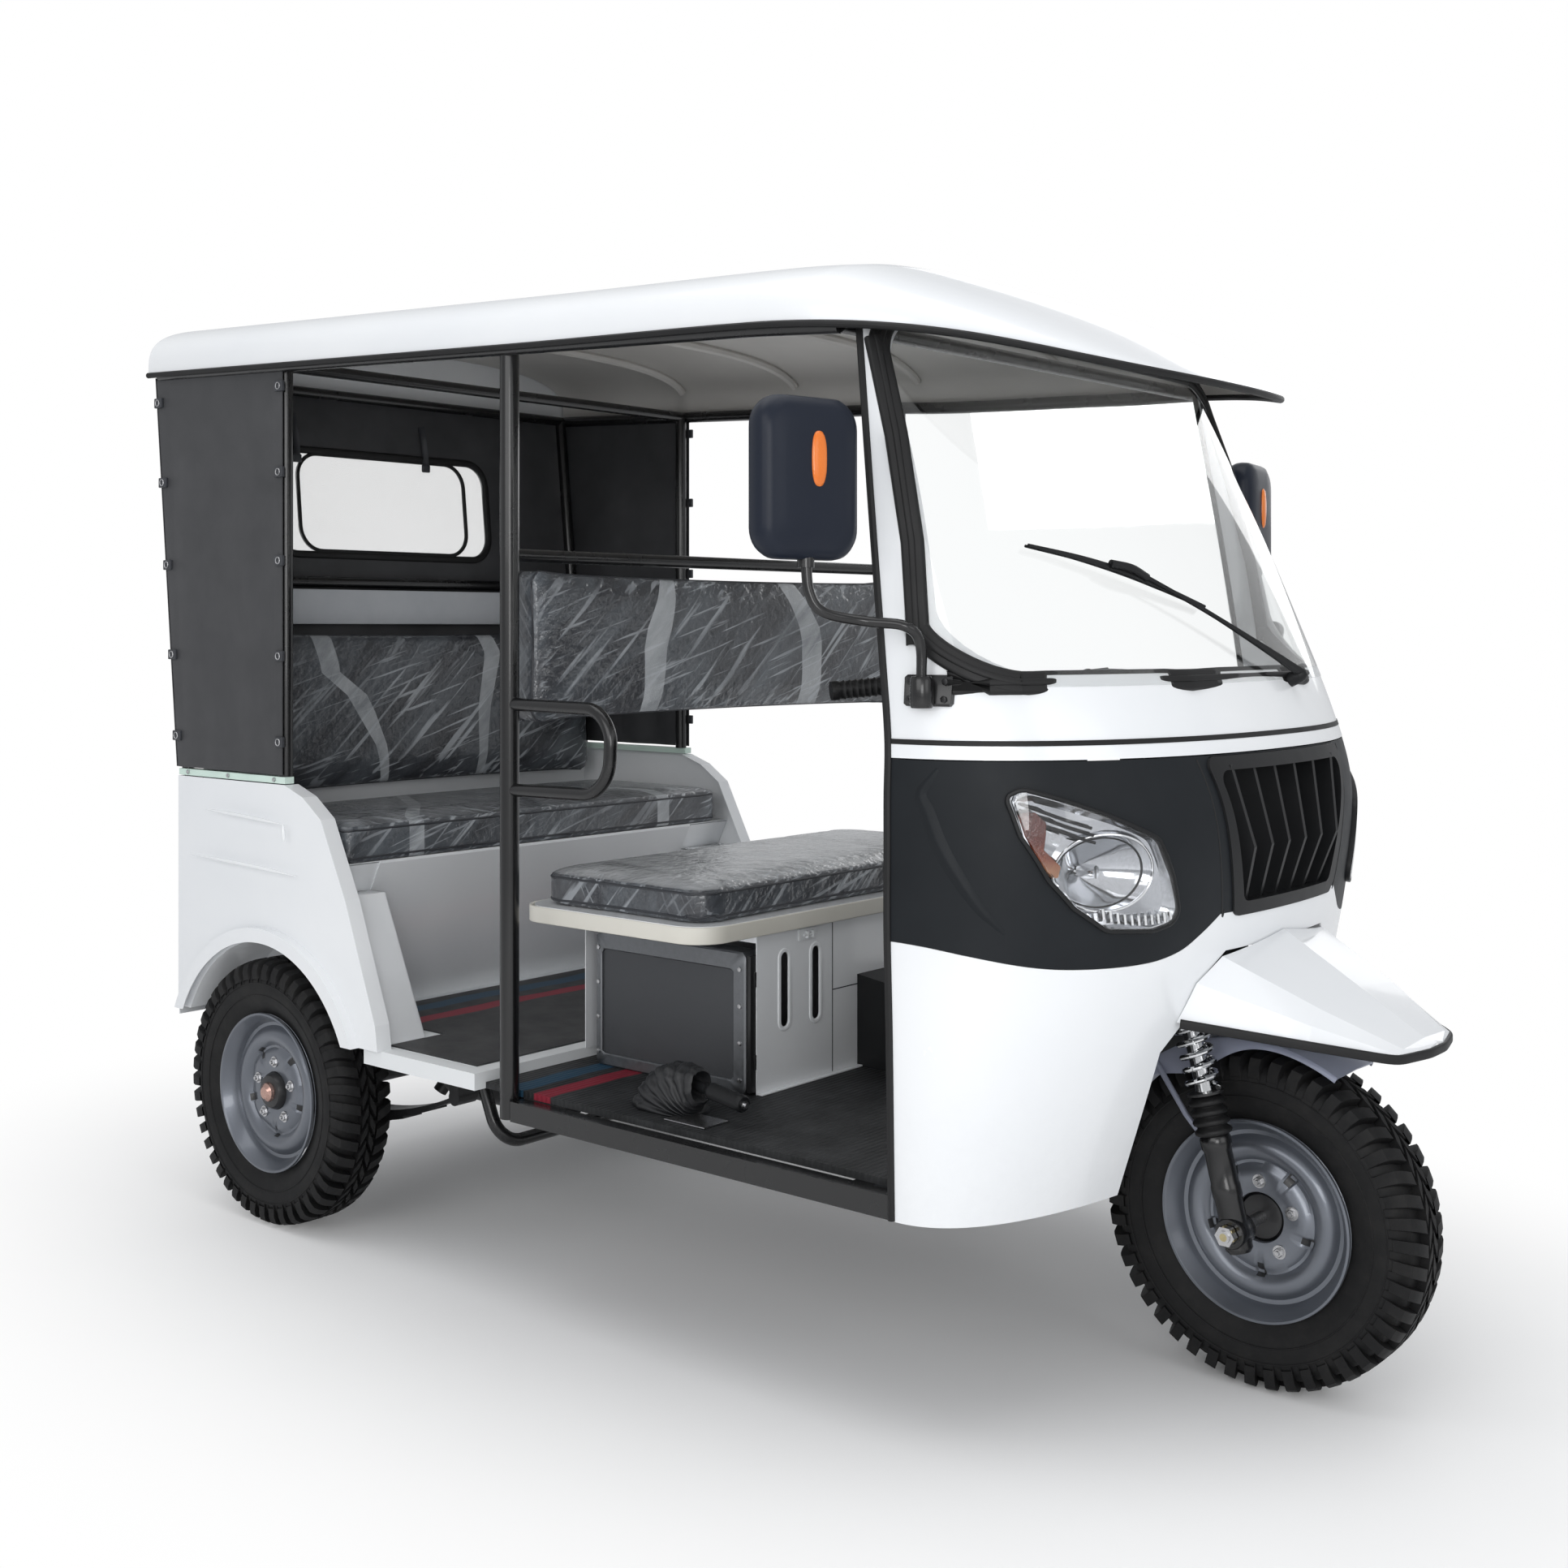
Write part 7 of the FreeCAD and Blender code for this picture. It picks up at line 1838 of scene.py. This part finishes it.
def make_radiator():
    """Radiator with its fine core, pressed frame, tanks, flange and screws."""
    low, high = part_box("radiator")
    outer = [(low.x, low.z), (high.x, low.z), (high.x, high.z), (low.x, high.z)]
    inner = [(low.x + 0.016, low.z + 0.024), (high.x - 0.030, low.z + 0.024), (high.x - 0.030, high.z - 0.034),
             (low.x + 0.016, high.z - 0.034)]

    def ring(outline, radius, y):
        return [Vector((x, y, z)) for x, z in resample(rounded_outline(outline, radius, 5), 96)]

    face, back_y = low.y, high.y
    rows = [ring(outer, 0.010, back_y), ring(outer, 0.010, face + 0.003),
            ring([(a + (0.003 if a < 0 else -0.003), b + (0.003 if b < 0.5 else -0.003)) for a, b in outer], 0.009,
                 face), ring([(a + (-0.002 if a < 0 else 0.002), b + (-0.002 if b < 0.5 else 0.002)) for a,
                              b in inner], 0.005, face), ring(inner, 0.004, face + 0.002),
            ring(inner, 0.004, face + 0.010), ring(inner, 0.004, back_y)]
    frame_mesh = grid(rows + [rows[0]], closed_columns=True)
    piece("radiator_frame", frame_mesh, RADIATOR_FRAME, replaces=["radiator"], degrees=40)
    core = block((low.x + 0.015, face + 0.006, low.z + 0.023), (high.x - 0.029, back_y - 0.004, high.z - 0.033))
    piece("radiator_core", core, RADIATOR)
    studs = []
    for x in (low.x + 0.008, high.x - 0.013):
        for share in (0.10, 0.36, 0.62, 0.88):
            z = low.z + (high.z - low.z) * share
            studs.append(turned([(0.0, 0.0046), (-0.0022, 0.0042), (-0.0030, 0.0)], Vector((x, face, z)), 14,
                                axis="Y"))
    piece("radiator_screws", studs, STEEL)
    side = [block((high.x + 0.0003, face + 0.004, low.z + 0.004), (high.x + 0.010, back_y, high.z - 0.006), 0.0015)]
    for z in (low.z + 0.06, high.z - 0.05):
        side.append(block((high.x + 0.010, face + 0.012, z - 0.014), (high.x + 0.0125, face + 0.034, z + 0.014),
                          0.001))
    piece("radiator_flange", side, STEEL_BLACK)


def make_handbrake():
    """Lever with a grip and button in a pleated gaiter."""
    base, lift, root = Vector((0.148, -0.494, 0.4008)), Vector((0.166, -0.498,
                                                                0.450)), Vector((0.236, -0.513, 0.4560))
    tip = Vector((0.3560, -0.5320, 0.4480))
    along = (tip - root).normalized()
    rows = []
    count = 110
    for k in range(count + 1):
        share = k / count
        centre = base * (1 - share) ** 2 + lift * (2 * share * (1 - share)) + root * share ** 2
        long = 0.074 + (0.030 - 0.074) * share
        wide = 0.050 + (0.029 - 0.050) * share
        wave = math.sin(2 * math.pi * 6.5 * share)
        pleat = 1.0 + 0.085 * signed_power(wave, 0.7) * math.sin(math.pi * min(1, 0.08 + 0.9 * share)) ** 0.4
        tilt = math.radians(86) * share
        across = Vector((math.cos(tilt), 0, -math.sin(tilt)))
        row = []
        for i in range(48):
            a = 2 * math.pi * i / 48
            ca = signed_power(math.cos(a), 0.8)
            sa = signed_power(math.sin(a), 0.8)
            sag = 0.004 * noise.noise(Vector((3 * ca, 3 * sa, 6 * share)))
            row.append(centre + across * (long * pleat * ca + sag) + Vector((0, wide * pleat * sa + sag, 0)))
        rows.append(row)
    mouth = rows[-1]
    for share, depth in ((0.90, 0.004), (0.80, 0.0), (0.62, -0.010), (0.40, -0.018)):
        rows.append([root + (point - root) * share + along * depth for point in mouth])
    for row in rows:
        for point in row:
            point.z = max(point.z, 0.4006)
    piece("handbrake_gaiter", grid(rows, closed_columns=True, caps=True), GAITER, replaces=["handbrake_lever"],
          degrees=60)
    line = smooth_line([root - along * 0.022, root + along * 0.020, root + along * 0.050, tip - along * 0.040,
                        tip - along * 0.004, tip], 5)
    radii = []
    for point in line:
        reach = (point - root).dot(along) / (tip - root).length
        radii.append(0.0095 if reach < 0.22 else (0.0150 if reach < 0.985 else 0.0125))
    piece("handbrake_grip", tube(line, radii, 24), PLASTIC, degrees=50)
    ring = tube([tip + along * 0.0002, tip + along * 0.004], 0.0072, 20)
    stud = tube([tip + along * 0.003, tip + along * 0.009], 0.0042, 16)
    piece("handbrake_button", [ring, stud], STEEL)
    ratchet = block((0.196, -0.563, 0.4004), (0.292, -0.500, 0.4032), 0.001)
    piece("handbrake_plate", ratchet, STEEL)


def make_tub_creases():
    """Shallow pressed lines on the tub's sides and the rail's bolts."""
    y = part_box("tub_sides")[1].y - 0.0008
    lines = [[(-1.105, 0.866), (-0.960, 0.860), (-0.820, 0.852)], [(-0.820, 0.852), (-0.816, 0.815)],
             [(-1.165, 0.764), (-0.960, 0.758), (-0.775, 0.749)]]
    beads = []
    for line in lines:
        path = smooth_line([Vector((x, y, z)) for x, z in line], 6)
        radii = [0.0040 * min(1.0, 0.25 + 3.0 * min(i, len(path) - 1 - i) / len(path)) for i in range(len(path))]
        beads.append(tube(path, radii, 10))
    piece("tub_creases", both_sides(joined(beads)), WHITE, degrees=70)
    bolts = []
    for x in (-1.205, -1.050, -0.880):
        bolts.append(hexagon(Vector((x, 0.6205, 0.9405)), Vector((0, 1, 0)), 0.0048, 0.0035))
    piece("rail_bolts", both_sides(joined(bolts)), STEEL)


def make_tail_lamps():
    """Red lenses with an amber part above, in dark trays."""
    low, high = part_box("tail_lamps")
    inner_y, rim, edge, span_z = 0.472, 0.002, 0.003, high.z - low.z
    tray = block((low.x + 0.004, inner_y - rim, low.z - rim), (high.x, high.y + rim, high.z + rim), 0.003)
    for name, first, last, material, replaces in (("tail_lenses", 0.0, 0.60, RED_LENS, ["tail_lamps"]),
                                                  ("tail_ambers", 0.62, 1.0, AMBER_SOLID, ())):
        lens = block((low.x, inner_y + 0.004, low.z + span_z * first + edge),
                     (low.x + 0.016, high.y - 0.004, low.z + span_z * last - edge), 0.004, 3)
        piece(name, [mirrored(lens), lens], material, replaces=replaces)
    piece("tail_trays", [mirrored(tray), tray], PLASTIC)


def make_seat_plate_edge():
    """Ivory edging strip round the driver's seat plate."""
    low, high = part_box("seat_plate")
    path = [Vector((x, y, (low.z + high.z) / 2)) for x,
            y in resample(rounded_box((low.x, low.y), (high.x, high.y), 0.060), 200)]
    centre = Vector(((low.x + high.x) / 2, (low.y + high.y) / 2, 0))
    normals = []
    for i, point in enumerate(path):
        run = (path[(i + 1) % len(path)] - path[i - 1]).normalized()
        out = run.cross(Vector((0, 0, 1)))
        normals.append(out if out.dot(point - centre) > 0 else -out)
    half = (high.z - low.z) / 2 - 0.001
    strip = sweep(path, normals, rounded_section(half, -0.0040, 0.0020, 0.0024), closed=True)
    piece("seat_plate_edging", strip, IVORY, "seat_lid", degrees=50)


# Camera, lights and floor

def photo_camera():
    """The photograph's viewpoint."""
    picture, focal, horizon = 1932.0, 2256.80, 773.45  # in pixels
    data = bpy.data.cameras.new("photo_camera")
    data.sensor_width = 36.0
    data.lens = 36.0 * focal / picture
    data.shift_y = (horizon - picture / 2) / picture
    camera = bpy.data.objects.new("photo_camera", data)
    bpy.context.scene.collection.objects.link(camera)
    camera.location = (1.3576 + FRONT, -2.8714, 1.2594)
    camera.rotation_euler = (math.radians(90), 0, math.radians(40.1275))
    bpy.context.scene.camera = camera


def area_light(name, place, target, size, power):
    """A soft panel light aimed at a point."""
    data = bpy.data.lights.new(name, "AREA")
    data.shape = "RECTANGLE"
    data.size, data.size_y = size
    data.energy = power
    lamp = bpy.data.objects.new(name, data)
    bpy.context.scene.collection.objects.link(lamp)
    lamp.location = place
    lamp.rotation_euler = (Vector(target) - Vector(place)).to_track_quat("-Z", "Y").to_euler()


def studio():
    """Pale floor, white surroundings and soft panel lights."""
    white = (1, 1, 1)
    scene = bpy.context.scene
    scene.view_settings.view_transform = "Standard"
    scene.world = bpy.data.worlds.new("studio")
    net = Net(scene.world)
    lit = net.nodes["Background"]
    net.feed(lit, {"Color": (0.96, 0.975, 1.0), "Strength": 0.60})
    shown = net.node("Background", {"Color": white, "Strength": 1.0})
    path = net.node("LightPath")
    seen = net.math("MAXIMUM", path.outputs["Is Camera Ray"], path.outputs["Is Transmission Ray"])
    sky = net.node("MixShader", {0: seen, 1: lit.outputs[0], 2: shown.outputs[0]})
    net.feed(net.nodes["World Output"], {"Surface": sky.outputs[0]})
    area_light("top_panel", (0.3, -0.6, 4.6), (0, 0, 0.8), (4.5, 3.0), 58)
    area_light("right_panel", (1.2, -4.8, 2.6), (0.1, 0, 0.8), (3.4, 2.2), 46)
    area_light("front_panel", (5.2, -0.8, 2.2), (0.5, 0, 0.8), (2.6, 2.2), 22)
    area_light("fill_panel", (3.7, -3.9, 1.7), (-0.4, -0.2, 0.8), (1.8, 1.4), 44)
    area_light("left_panel", (-1.0, 5.0, 2.8), (0, 0, 0.9), (3.6, 2.2), 30)
    net = Net("floor_white")
    net.shade({"Base Color": net.ramp(net.noise(3.0), (0.3, 0.93), (0.7, 0.95)), "Roughness": 0.9})
    # away from the vehicle the camera sees the floor as white as the surroundings
    distance = net.node("VectorMath", {0: net.mapped(net.space(), Scale=(0.62, 1.0, 1.0))}, operation="LENGTH")
    fade = net.node("MapRange", {"Value": distance.outputs["Value"], "From Min": 0.55, "From Max": 1.6},
                    interpolation_type="SMOOTHSTEP")
    camera_ray = net.node("LightPath").outputs["Is Camera Ray"]
    far = net.math("MULTIPLY", fade.outputs["Result"], camera_ray)
    glow = net.node("Emission", {"Color": white})
    blend = net.node("MixShader", {0: far, 1: net.shader.outputs[0], 2: glow.outputs[0]})
    net.feed(net.nodes["Material Output"], {"Surface": blend.outputs[0]})
    reach = 40
    corners = [(-reach, -reach, 0), (reach, -reach, 0), (reach, reach, 0), (-reach, reach, 0)]
    floor = new_object("floor", mesh_from(corners, [(0, 1, 2, 3)]), [net.material])


def dress_nodes():
    """Give every CAD node that stays its material and smooth shading."""
    slots = {entry["node"]: entry["material_slot"] for entry in frame["record"]["subparts"]}
    tray = striped_tray("tray_and_mat")
    for name, obj in NODES.items():
        obj.data.materials.clear()
        obj.data.materials.append(tray if name == "passenger_floor" else SLOTS[slots[name]][0])
        smooth(obj, 32)


photo_camera()
studio()
dress_nodes()
make_cowl()
make_windscreen()
make_roof()
make_wheels()
make_fork()
make_grips()
make_nose_lip()
make_band_lines()
make_lamps()
make_mirrors()
make_wiper()
make_cushions()
make_side_curtains()
make_rear_curtain()
make_rear_panel()
make_engine_box_parts()
make_wheel_houses()
make_radiator()
make_handbrake()
make_tub_creases()
make_tail_lamps()
make_seat_plate_edge()
